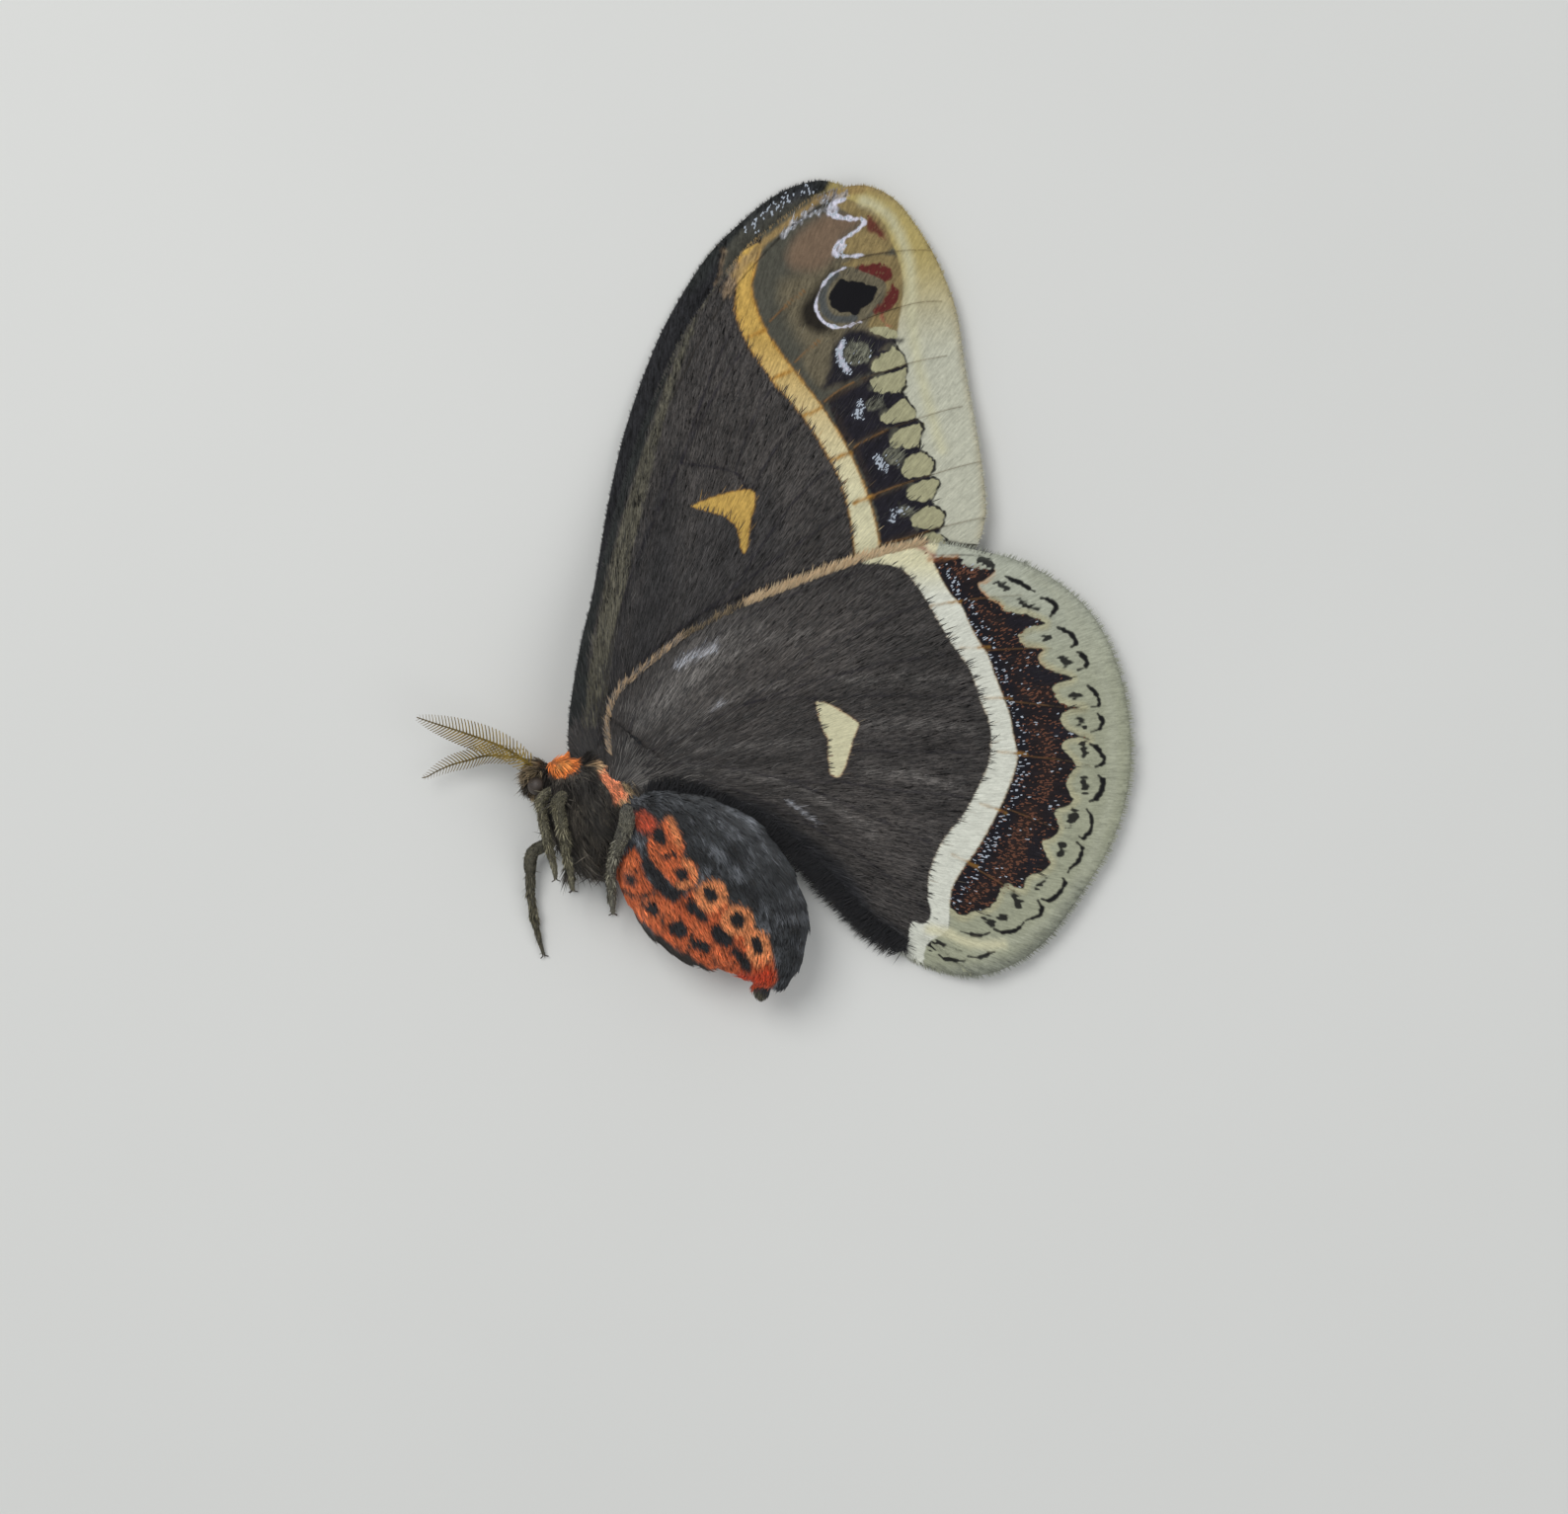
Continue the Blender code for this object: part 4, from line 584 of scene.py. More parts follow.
# The faces that face the other wings.
INNER_FORE_MARKS = [
    ("deep charcoal", 1.0, 1.0, 0.5, 0, [(-30, -30), (-30, 50), (30, 50), (30, -30)]),
    ("slate", 0.8, 0.4, 0.3, 0, beyond(FORE_BAND_OUTER)),
    ("straw", 1.0, 0.5, 0.1, 0, beyond(FORE_MARGIN)),
    ("green charcoal", 1.0, 0.5, 0.3, 0, [(-6, 28), (0, 33), (4, 35.6), (8.6, 36.4), (8.6, 42), (-10, 42)]),
    ("cream", 1.0, 0.2, 0.2, 0, FORE_BAND_INNER[4:] + FORE_BAND_OUTER[:3:-1]),
    ("cream", 1.0, 0.2, 0.2, 0, FORE_DISCAL),
    ("soot", 1.0, 0.3, 0.3, 0, [(5.9, 28.6), (8.5, 28.2), (9.3, 27.0), (7.6, 25.4), (5.3, 26.2)]),
    ("pink tan", 0.6, 0.5, 0.6, 0.12, [(-1.4, 31.4), (-2.0, 29.8), (-2.6, 28.0)]),
    ("white specks", 0.45, 0.9, 0.6, 0.3, [(1.0, 33.4), (3.0, 34.8), (5.4, 36.0), (7.0, 36.6)]),
    ("costal orange", 0.8, 0.5, 0.3, 0.2, [(3.0, 37.6), (5.6, 38.6), (9.0, 38.2), (11.0, 37.0)]),
]

INNER_HIND_MARKS = [
    ("deep charcoal", 1.0, 1.0, 0.5, 0, [(-30, -50), (-30, 50), (50, 50), (50, -50)]),
    ("grey margin", 1.0, 0.3, 0.1, 0, HIND_OUTSIDE),
    ("zone black", 1.0, 0.25, 0.6, 0, HIND_BAND_OUTER[1:-2] + HIND_ZONE[::-1]),
    ("bone", 1.0, 0.18, 0.3, 0, HIND_BAND_INNER + HIND_BAND_OUTER[::-1]),
    ("cream", 1.0, 0.15, 0.3, 0, HIND_DISCAL),
]

# One row for each wing: its outline and veins, the levels of its middle at the hinge and away from it, the
# pivot, turn in degrees and shrink that lay it, the height of the sheet over that middle, the finest mesh
# spacing of its upper and lower face as it lies, and the marks of the two.
Wing = namedtuple("Wing", "outline veins level_at_hinge level pivot turn shrink shown steps above below")
WINGS = {
    "forewing_left": Wing(
        FOREWING_OUTLINE, FOREWING_VEINS, 6.1, 2.15, (0, 0), 0.0, 1.0, 0.14, (0.09, 0.25),
        FORE_MARKS, INNER_FORE_MARKS),
    "hindwing_left": Wing(
        HINDWING_OUTLINE, HINDWING_VEINS, 7.1, 3.10, (0, 0), 0.0, 1.0, 0.14, (0.09, 0.25),
        HIND_MARKS, INNER_HIND_MARKS),
    "forewing_right": Wing(
        FOREWING_OUTLINE, FOREWING_VEINS, 2.9, 1.35, (-15.3, -4.5), 4.5, 0.975, -0.08, (0.2, 0.15),
        INNER_FORE_MARKS,
        FORE_MARKS),
    "hindwing_right": Wing(
        HINDWING_OUTLINE, HINDWING_VEINS, 1.9, 0.40, HINGE, -0.5, 0.975, -0.08, (0.2, 0.15),
        INNER_HIND_MARKS,
        HIND_MARKS),
}

# What is stored as a colour for each vertex.
COLOURS = ("tint", "marks")
# Layers of noise that roughen the edges of marks, vary the tone of the wings and pleat them.
EDGE_LAYERS = ((0.6, 0.2, 0.55, 3), (0.4, 0.45, 0.9, 5))
TONE_LAYERS = ((1.0, 1.6, 5.0, 7), (0.6, 0.6, 2.4, 8))
PLEAT_LAYERS = ((1.0, 3.1, 16.0, 11), (0.5, 1.3, 9.0, 12))

# A wing's mesh has every finest point where its brightness steps by more than the first number. Elsewhere
# it has one in every few, along and across.
PAINT_STEP = 0.04
COARSER = 3

# How far the forewings' tips and the shown hindwing's upper side sink towards what lies below them.
TIP_SINK = 0.9
EDGE_SINK = 1.6
# The way down from the crest of the hindwing's fold to the abdomen.
FOLD_DOWN = np.array((-0.62, -0.78))


def fan(points):
    """Coordinates that follow the wing's hairs: across them, and along them from the root."""
    away = points - FAN_ROOT
    return np.stack([np.arctan2(away[:, 1], away[:, 0]) * FAN_RADIUS, np.hypot(*away.T)], 1)


def scale_channels(kind):
    """A kind of scale as its colour, rust share, glint share and grain."""
    colour, grain, *shares = SCALES[kind]
    return np.array(linear(colour) + (shares or [0.0, 0.0]) + [grain])


def covered(points, line, soft, jag, half, rough, steps, sharp, reach=1e9):
    """How much a mark covers each plan point: a stroke, or a filled patch where the half width is 0."""
    line = np.asarray(line, float)
    if half:
        away = to_line(points, smooth_curve(line, 4) if len(line) > 2 else line, reach)[0] - half
    else:
        edge = smooth_curve(line, steps, closed=True) if len(line) > sharp else line
        away = to_line(points, looped(edge), reach)[0]
        away = np.where(inside(points, edge), -away, away)
    return ramp(-(away + jag * rough), -soft / 2, soft / 2)


def painted(points, marks):
    """Colour and special-scale shares at each plan point, from marks laid over a charcoal ground."""
    flow = fan(points)
    rough = layered(flow, EDGE_LAYERS) - 0.5
    paint = np.tile(scale_channels("charcoal"), (len(points), 1))
    for kind, strength, soft, jag, half, line in marks:
        if len(line) < 2:
            continue
        reach = half + soft + jag
        box = ((points > np.min(line, 0) - reach) & (points < np.max(line, 0) + reach)).all(1)
        some = points[box]
        if not len(some):
            continue
        if isinstance(kind, str):
            scales = scale_channels(kind)
        else:
            high, low, top, bottom = kind
            share = ramp(some[:, 1:2], bottom, top)
            scales = scale_channels(low) * (1 - share) + scale_channels(high) * share
        mask = strength * covered(some, line, soft, jag, half, rough[box], 4, 4, reach)
        paint[box] += (scales - paint[box]) * mask[:, None]
    tone = layered(flow, TONE_LAYERS) - 0.8
    paint[:, :3] *= 1 + 0.4 * (tone * paint[:, 5])[:, None]
    return paint


def shown_paint(name, points):
    """Paint of the face of a wing that is up."""
    return painted(points, WINGS[name].above)


def wing_level(name, at):
    """Height of a wing's middle at plan places."""
    row = WINGS[name]
    near = np.exp(-(np.hypot(*(at - np.array(HINGE)).T) / SPREAD_RADIUS) ** 2)
    sink = np.zeros(len(at))
    if name.startswith("forewing"):
        sink = TIP_SINK * ramp(at[:, 1], 6.0, 26.0)
    if name == "hindwing_left":
        along = FORE_EDGE_END - FORE_EDGE_START
        along = along / np.hypot(*along)
        below = (at - FORE_EDGE_START) @ np.array((along[1], -along[0]))
        sink = EDGE_SINK * ramp(below, 0.0, 14.0)
    return row.level + (row.level_at_hinge - row.level) * near - sink * (1 - near)


def turned(name, aims):
    """Plan directions of a wing's own shape, turned as that wing lies."""
    turn = math.radians(WINGS[name].turn)
    return aims @ np.array([[math.cos(turn), math.sin(turn)], [-math.sin(turn), math.cos(turn)]])


def laid(name, points):
    """Plan points of a wing's own shape, turned and drawn in as that wing lies."""
    pivot = np.array(WINGS[name].pivot)
    return pivot + turned(name, np.asarray(points, float) - pivot) * WINGS[name].shrink


def wing_relief(name, points, settings):
    """Height of the veins, pleats and folds over a wing's even sheet, at points of its own shape."""
    flow = fan(points)
    relief = np.zeros(len(points))
    for vein in WINGS[name].veins:
        away = to_line(points, smooth_curve(vein, 3))[0]
        relief = np.maximum(relief, settings.vein_height * np.exp(-(away / settings.vein_width) ** 2))
    relief += settings.pleat_height * (layered(flow, PLEAT_LAYERS) - 0.75) * ramp(flow[:, 1], 3.0, 12.0)
    if name.startswith("hindwing"):
        away, place, _ = to_line(points, smooth_curve(FOLD, 4))
        past = np.where((points - place) @ FOLD_DOWN > 0, away, 0.0)
        relief += settings.fold_height * (np.exp(-(away / 1.1) ** 2) - 1.6 * ramp(past, 0.3, 3.0))
    return relief


def wing_top(name, points, settings):
    """Middle height of the shown sheet at points of a wing's own shape."""
    return wing_level(name, laid(name, points)) + WINGS[name].shown + wing_relief(name, points, settings)


def new_object(name, data):
    """An object in the scene that holds a mesh, a light or a lens."""
    obj = bpy.data.objects.new(name, data)
    bpy.context.scene.collection.objects.link(obj)
    return obj


def mesh_from(name, points, faces, smooth=False):
    """A mesh object from points in millimetres."""
    mesh = bpy.data.meshes.new(name)
    mesh.from_pydata((np.asarray(points) * MM).tolist(),
        [], faces if isinstance(faces, list) else faces.tolist())
    mesh.update()
    if smooth:
        mesh.shade_smooth()
    return new_object(name, mesh)


def put_attribute(mesh, name, values):
    """Stores a number, a vector or, for a tint or marks, a colour for each vertex."""
    values = np.asarray(values, np.float32)
    if name in COLOURS:
        values = np.concatenate([values, np.ones((len(values), 4 - values.shape[1]), np.float32)], 1)
    kind, key = ("FLOAT_COLOR", "color") if name in COLOURS else ("FLOAT_VECTOR", "vector")
    if values.ndim == 1:
        kind, key = "FLOAT", "value"
    mesh.attributes.new(name, kind, "POINT").data.foreach_set(key, values.ravel())


def put_map(mesh, places):
    """Stores a map named OFBake with one place for each vertex."""
    layer = mesh.uv_layers.new(name="OFBake")
    corners = np.empty(len(mesh.loops), np.int64)
    mesh.loops.foreach_get("vertex_index", corners)
    layer.uv.foreach_set("vector", np.asarray(places, np.float32)[corners].ravel())


def wing_face(edge, marks, step):
    """Plan points, triangles and paint of one face of a wing, finer where the painting changes."""
    low, high = edge.min(0), edge.max(0)
    lines = [np.arange(low[i], high[i], step) for i in (0, 1)]
    grid = np.stack(np.meshgrid(*lines, indexing="ij"), -1)
    within = inside(grid.reshape(-1, 2), edge)
    paint = np.zeros((len(within), 6))
    paint[within] = painted(grid.reshape(-1, 2)[within], marks)
    paint = paint.reshape(*grid.shape[:2], 6)
    seen = np.sqrt(np.maximum(paint[..., :3], 0.0)).sum(-1) + 0.3 * paint[..., 4]
    change = np.abs(np.gradient(seen, axis=0)) + np.abs(np.gradient(seen, axis=1))
    across, along = np.indices(change.shape)
    kept = (change > PAINT_STEP) | ((across % COARSER == 0) & (along % COARSER == 0))
    kept = kept.ravel() & within
    points = grid.reshape(-1, 2)[kept]
    clear = to_line(points, looped(edge))[0] > step * 0.7
    points = np.concatenate([edge, points[clear]])
    paint = np.concatenate([painted(edge, marks), paint.reshape(-1, 6)[kept][clear]])
    size = len(edge)
    rim = [(k, (k + 1) % size) for k in range(size)]
    made, _, faces, *_ = delaunay_2d_cdt([Vector(p) for p in points.tolist()], rim, [], 1, step * 0.01)
    if len(made) != len(points):
        raise ValueError("a wing's rim crosses itself")
    return points, np.array(faces), paint


def wing(name, settings):
    """One wing as a thin closed sheet, painted on both faces."""
    row = WINGS[name]
    edge = smooth_curve(row.outline, 12, closed=True)
    if (edge[:, 0] * np.roll(edge[:, 1], -1) - edge[:, 1] * np.roll(edge[:, 0], -1)).sum() < 0:
        edge = edge[::-1]
    sheets, rows, paints, flows, maps, start = [], [], [], [], [], 0
    for side, step, marks in ((1.0, row.steps[0], row.above), (-1.0, row.steps[1], row.below)):
        points, faces, paint = wing_face(edge, marks, step)
        away = to_line(points, looped(edge))[0]
        half = settings.sheet / 2 * (0.25 + 0.75 * ramp(away, 0.0, 0.5))
        middle = np.maximum(wing_top(name, points, settings), half + 0.02)
        sheets.append(np.column_stack([laid(name, points), middle + side * half]))
        rows += ((faces if side > 0 else faces[:, ::-1]) + start).tolist()
        paints.append(paint)
        flows.append(np.column_stack([fan(points), np.zeros(len(points))]))
        span = (points - edge.min(0)) / (edge.max(0) - edge.min(0)).max()
        corner = 0.505 - 0.25 * (1 + side)
        maps.append(span * 0.49 + (corner, corner))
        start += len(points)
    size, lower = len(edge), len(sheets[0])
    rows += [[(k + 1) % size, k, k + lower, (k + 1) % size + lower] for k in range(size)]
    obj = mesh_from(name + "_scaled", np.concatenate(sheets), rows, smooth=True)
    paint = np.concatenate(paints)
    put_attribute(obj.data, "tint", paint[:, :3])
    put_attribute(obj.data, "marks", paint[:, 3:])
    put_attribute(obj.data, "flow", np.concatenate(flows))
    put_map(obj.data, np.concatenate(maps))
    return obj


def node(tree, kind, inputs=None, **settings):
    """Adds a node with its settings, and sets or links its inputs."""
    made = tree.nodes.new(kind)
    for name, value in settings.items():
        setattr(made, name, value)
    for socket, value in (inputs or {}).items():
        if isinstance(value, bpy.types.NodeSocket):
            tree.links.new(value, made.inputs[socket])
        else:
            made.inputs[socket].default_value = value
    return made


def result(tree, kind, inputs=None, output=0, **settings):
    """One output of a new node."""
    return node(tree, kind, inputs, **settings).outputs[output]


def maths(tree, operation, *values):
    """The result of a sum on numbers."""
    return result(tree, "ShaderNodeMath", dict(enumerate(values)), operation=operation)


def vectors(tree, operation, *values):
    """The result of a sum on vectors."""
    return result(tree, "ShaderNodeVectorMath", dict(enumerate(values)), operation=operation)


def scaled(tree, vector, factor):
    """A vector times a number."""
    return result(tree, "ShaderNodeVectorMath", {0: vector, 3: factor}, operation="SCALE")


def mapped(tree, value, *ends):
    """A value moved from one range into another."""
    return result(tree, "ShaderNodeMapRange", dict(enumerate((value, *ends))))


def blend(tree, share, first, second):
    """A mix of two colours."""
    return result(tree, "ShaderNodeMix", {0: share, 6: first, 7: second}, 2, data_type="RGBA")


def attribute(tree, name, output="Color"):
    """What is stored on the mesh under a name."""
    return result(tree, "ShaderNodeAttribute", output=output, attribute_name=name)


def grain(tree, scale, detail):
    """Noise through the whole of a piece."""
    place = result(tree, "ShaderNodeTexCoord", output="Object")
    return result(tree, "ShaderNodeTexNoise", {"Vector": place, "Scale": scale, "Detail": detail})


def opaque(colour):
    """A hex colour for a socket."""
    return (*linear(colour), 1.0)


def new_material(name, **sockets):
    """A material with one Principled shader, with the sockets that are the same all over set on it."""
    made = bpy.data.materials.new(name)
    made.use_nodes = True
    shader = made.node_tree.nodes["Principled BSDF"]
    for socket, value in sockets.items():
        shader.inputs[socket.replace("_", " ")].default_value = value
    return made, made.node_tree


def dressed(material, colour, height=None, strength=0.0, depth=0.0, **settings):
    """Links a material's colour and, where it has one, its relief, whose depth is in millimetres."""
    tree = material.node_tree
    shader = tree.nodes["Principled BSDF"]
    tree.links.new(colour, shader.inputs["Base Color"])
    if height is not None:
        inputs = {"Strength": strength, "Distance": depth * MM, "Height": height}
        tree.links.new(result(tree, "ShaderNodeBump", inputs, **settings), shader.inputs["Normal"])
    return material


def finish_piece(obj, material, slot, *replaced):
    """Gives a finished piece its material and body, and hides the nodes that it stands for. Its slot is not
    used.
    """
    if material:
        obj.data.materials.clear()
        obj.data.materials.append(material)
    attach(obj, "root")
    if replaced:
        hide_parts(*replaced)


# Wing scales for each millimetre across and along the wing. They are 0.1 mm wide and 0.24 mm long, which is a
# little larger than real ones.
SCALE_ROWS = (1 / 0.10, 1 / 0.24, 1.0)
# Streaks across and along the wing for each millimetre: those of the nap, and broad faint ones.
NAP_ROWS = (7.0, 0.9, 1.0)
BROAD_ROWS = (2.2, 0.35, 1.0)
RUST = "#634030"
GLINT = "#a6aeb8"


def wing_scales_material():
    """Wing membrane under overlapping flat scales: a dull powdery nap whose scales differ in tone."""
    made, tree = new_material("overlapping wing scales", Roughness=0.75, Specular_IOR_Level=0.16)
    flow = attribute(tree, "flow", "Vector")
    marks = node(tree, "ShaderNodeSeparateColor", {0: attribute(tree, "marks")}).outputs
    rows = {"Vector": vectors(tree, "MULTIPLY", flow, SCALE_ROWS), "Scale": 1.0, "Randomness": 1.0}
    scales = node(tree, "ShaderNodeTexVoronoi", rows, voronoi_dimensions="2D").outputs
    chance = node(tree, "ShaderNodeSeparateColor", {0: scales["Color"]}).outputs
    rows = {"Vector": vectors(tree, "MULTIPLY", flow, NAP_ROWS), "Scale": 1.0, "Detail": 2.0}
    streaks = result(tree, "ShaderNodeTexNoise", rows, noise_dimensions="2D")
    rows = {"Vector": vectors(tree, "MULTIPLY", flow, BROAD_ROWS),
        "Scale": 1.0, "Detail": 4.0, "Roughness": 0.7}
    broad = result(tree, "ShaderNodeTexNoise", rows, noise_dimensions="2D")
    nap = mapped(tree, streaks, 0.3, 0.7, -0.6, 0.6)
    cell = mapped(tree, chance[0], 0.0, 1.0, -0.4, 0.4)
    sweep = mapped(tree, broad, 0.3, 0.7, -0.55, 0.55)
    both = maths(tree, "ADD", maths(tree, "ADD", nap, cell), sweep)
    shade = maths(tree, "MULTIPLY_ADD", both, mapped(tree, marks[2], 0.0, 1.0, 0.1, 1.0), 1.0)
    colour = vectors(tree, "MULTIPLY", attribute(tree, "tint"), shade)
    for channel, special in enumerate((RUST, GLINT)):
        wanted = maths(tree, "LESS_THAN", chance[channel], marks[channel])
        colour = blend(tree, wanted, colour, opaque(special))
    return dressed(made, colour, maths(tree, "SUBTRACT", streaks, scales["Distance"]), 0.4, 0.04)


def hair_material(name):
    """Insect hair: fine dull bristles, with painted shade that darkens them towards the root, where they
    stand close.
    """
    made, tree = new_material(name, Roughness=0.6, Sheen_Weight=0.1, Specular_IOR_Level=0.35)
    shade = mapped(tree, attribute(tree, "along", "Fac"), 0.0, 1.0, 0.6, 1.12)
    return dressed(made, vectors(tree, "MULTIPLY", attribute(tree, "tint"), shade))


def skin_material():
    """Chitin under the hair: a thin horny shell with fine hair stubs, painted like the coat over it."""
    made, tree = new_material("haired chitin", Roughness=0.7)
    stubs = grain(tree, 9000.0, 2.0)
    shade = mapped(tree, stubs, 0.3, 0.7, 0.5, 1.0)
    return dressed(made, vectors(tree, "MULTIPLY", attribute(tree, "tint"), shade), stubs, 0.6, 0.05)


def eye_material(colour):
    """Faceted cornea: a dull brown dome of tiny lenses, drawn about 0.05 mm across, with a darker mottle."""
    made, tree = new_material("faceted cornea", Roughness=0.5, IOR=1.5)
    place = result(tree, "ShaderNodeTexCoord", output="Object")
    lenses = {"Vector": place, "Scale": 20000.0, "Randomness": 0.25}
    facets = result(tree, "ShaderNodeTexVoronoi", lenses, "Distance")
    shade = blend(tree, grain(tree, 1800.0, 2.0), (*colour, 1.0), opaque("#2a211c"))
    return dressed(made, shade, facets, 0.5, 0.02, invert=True)


def antenna_material():
    """Antenna horn: thin straw-coloured chitin, browner towards the tip and in worn patches."""
    made, tree = new_material("antenna horn", Roughness=0.5, IOR=1.55)
    patchy = grain(tree, 1500.0, 3.0)
    place = result(tree, "ShaderNodeTexCoord", output="Object")
    from_tip = mapped(tree, result(tree, "ShaderNodeSeparateXYZ", {0: place}), -0.0325, -0.0215)
    horn = blend(tree, from_tip, opaque("#7a6428"), opaque("#ab8f36"))
    colour = blend(tree, mapped(tree, patchy, 0.35, 0.65, 0.0, 0.7), horn, opaque("#57461f"))
    return dressed(made, colour, patchy, 0.3, 0.02)


def board_material(colour):
    """Matt pale board: a flat painted floor with faint clouds."""
    made, tree = new_material("matt pale board", Roughness=0.8)
    darker = [channel * 0.93 for channel in colour]
    return dressed(made, blend(tree, grain(tree, 14.0, 4.0), (*darker, 1.0), (*colour, 1.0)))


# The tuft that every hair is a copy of: a root, a middle and a tip, one unit long, wide and high.
TUFT_POINTS = np.array([
    (-0.04, -0.42, -0.2), (-0.04, 0.42, -0.2), (-0.04, 0.0, 0.15), (0.5, -0.40, 0.70), (0.5, 0.40, 0.70),
    (0.5, 0.0, 0.92), (1.0, 0.0, 0.88),
])
TUFT_FACES = [
    (0, 2, 1), (0, 1, 4), (0, 4, 3), (1, 2, 5), (1, 5, 4), (2, 0, 3), (2, 3, 5), (3, 4, 6), (4, 5, 6),
    (5, 3, 6),
]


def tuft_template():
    """The tuft as an object, with how far along each point is and its place on the patch of the map."""
    obj = mesh_from("tuft_template", TUFT_POINTS / MM, TUFT_FACES)
    along = np.clip(TUFT_POINTS[:, 0], 0, 1)
    put_attribute(obj.data, "along", along)
    put_attribute(obj.data, "spot", np.column_stack([along, TUFT_POINTS[:, 1] + 0.5, along * 0]))
    return obj


def new_tree(name, sockets):
    """A tree that changes geometry, with named inputs of given kinds and defaults, and what it is given."""
    tree = bpy.data.node_groups.new(name, "GeometryNodeTree")
    for label, kind, value in (("Geometry", "Geometry", None), *sockets):
        made = tree.interface.new_socket(label, in_out="INPUT", socket_type="NodeSocket" + kind)
        if value is not None:
            made.default_value = value
    tree.interface.new_socket("Geometry", in_out="OUTPUT", socket_type="NodeSocketGeometry")
    return tree, node(tree, "NodeGroupInput").outputs


def end_tree(tree, geometry, material):
    """Gives the tree's geometry its material and hands it out."""
    done = result(tree, "GeometryNodeSetMaterial", {"Geometry": geometry, "Material": material})
    node(tree, "NodeGroupOutput", {0: done})
    return tree


def grown(obj, tree, inputs):
    """Runs a tree with named inputs on an object and keeps what it makes as the object's mesh."""
    names = {item.name: item.identifier for item in tree.interface.items_tree if item.in_out == "INPUT"}
    grow = obj.modifiers.new(tree.name, "NODES")
    grow.node_group = tree
    for name, value in inputs.items():
        grow[names[name]] = value
    return evaluated(obj)


HAIR_TREE = "hair from roots"
# What each root carries, and the lowest level of any hair over the floor.
ROOT_FACTS = ("aim", "up", "size", "patch", "spot")
FLOOR_GAP = 0.03


def hair_tree():
    """Copies the tuft to every root, along the way the hair lies, and lays each copy's patch of the map."""
    tree, given = new_tree(HAIR_TREE, (
        ("Tuft", "Object", None), ("Finish", "Material", None), ("Patch size", "Float", 0.003),
        ("Length variation", "Float", 0.25), ("Seed", "Int", 1),
    ))
    read = {}
    for name in ROOT_FACTS:
        read[name] = result(tree, "GeometryNodeInputNamedAttribute", {"Name": name},
            data_type="FLOAT_VECTOR")
    axes = {0: read["aim"], 1: read["up"]}
    turn = result(tree, "FunctionNodeAxesToRotation", axes, primary_axis="X", secondary_axis="Z")
    vary = node(tree, "FunctionNodeRandomValue", {"Seed": given["Seed"]}, data_type="FLOAT")
    for socket, operation in zip([s for s in vary.inputs if s.enabled], ("SUBTRACT", "ADD")):
        tree.links.new(maths(tree, operation, 1.0, given["Length variation"]), socket)
    chance = [s for s in vary.outputs if s.enabled][0]
    stretch = result(tree, "ShaderNodeCombineXYZ", {0: chance, 1: 1.0, 2: 1.0})
    copies = result(tree, "GeometryNodeInstanceOnPoints", {
        "Points": given["Geometry"], "Rotation": turn, "Scale": vectors(tree, "MULTIPLY", read["size"],
            stretch),
        "Instance": result(tree, "GeometryNodeObjectInfo", {"Object": given["Tuft"]}, "Geometry"),
    })
    real = result(tree, "GeometryNodeRealizeInstances", {"Geometry": copies})
    where = vectors(tree, "ADD", read["patch"], scaled(tree, read["spot"], given["Patch size"]))
    store = {"Geometry": real, "Name": "OFBake"}
    store = node(tree, "GeometryNodeStoreNamedAttribute", store, data_type="FLOAT2", domain="CORNER")
    tree.links.new(where, [s for s in store.inputs if s.name == "Value" and s.enabled][0])
    flow = store.outputs[0]
    for name in ROOT_FACTS:
        flow = result(tree, "GeometryNodeRemoveAttribute", {"Geometry": flow, "Name": name})
    return end_tree(tree, flow, given["Finish"])


def hair(name, rows, material, seed):
    """A coat piece with a tuft for each root. Rows hold the roots, their aims, ups, sizes, tints and patches.

    A size is a tuft's length, width and lift in millimetres.
    """
    roots, aims, ups, sizes, tints, patches = (np.array(values) for values in rows)
    tree = bpy.data.node_groups.get(HAIR_TREE) or hair_tree()
    tuft = tuft_template()
    roots[:, 2] = np.maximum(roots[:, 2], 2 * FLOOR_GAP)
    drop = np.maximum(-aims[:, 2], 0) * sizes[:, 0] * 1.25 + np.maximum(-ups[:, 2], 0) * sizes[:, 2]
    sizes[:, ::2] *= np.clip((roots[:, 2] - FLOOR_GAP) / np.maximum(drop, 1e-6), 0.05, 1.0)[:, None]
    seeds = mesh_from(name + "_roots", roots, [])
    patches = np.column_stack([patches, np.zeros(len(roots))])
    for key, values in (("aim", aims), ("up", ups), ("size", sizes * MM), ("patch", patches),
        ("tint", tints)):
        put_attribute(seeds.data, key, values)
    obj = grown(seeds, tree, {"Tuft": tuft, "Finish": material, "Seed": seed})
    obj.name = obj.data.name = name
    bpy.data.objects.remove(tuft)
    return obj


# Depth of the coat over the skin of each part, in millimetres.
COAT_DEPTHS = {"thorax": 0.55, "head": 0.35, "abdomen": 0.40, "abdomen_tip": 0.15}
# Flesh that joins the parts under the coat: middle and radius of the neck, the waist and the tip's root.
JOINTS = [((-20.1, -17.6, 4.0), 1.7), ((-13.7, -20.3, 4.7), 2.7), ((-14.6, -19.4, 4.5), 3.0),
    ((-1.1, -36.0, 4.5), 0.8)]

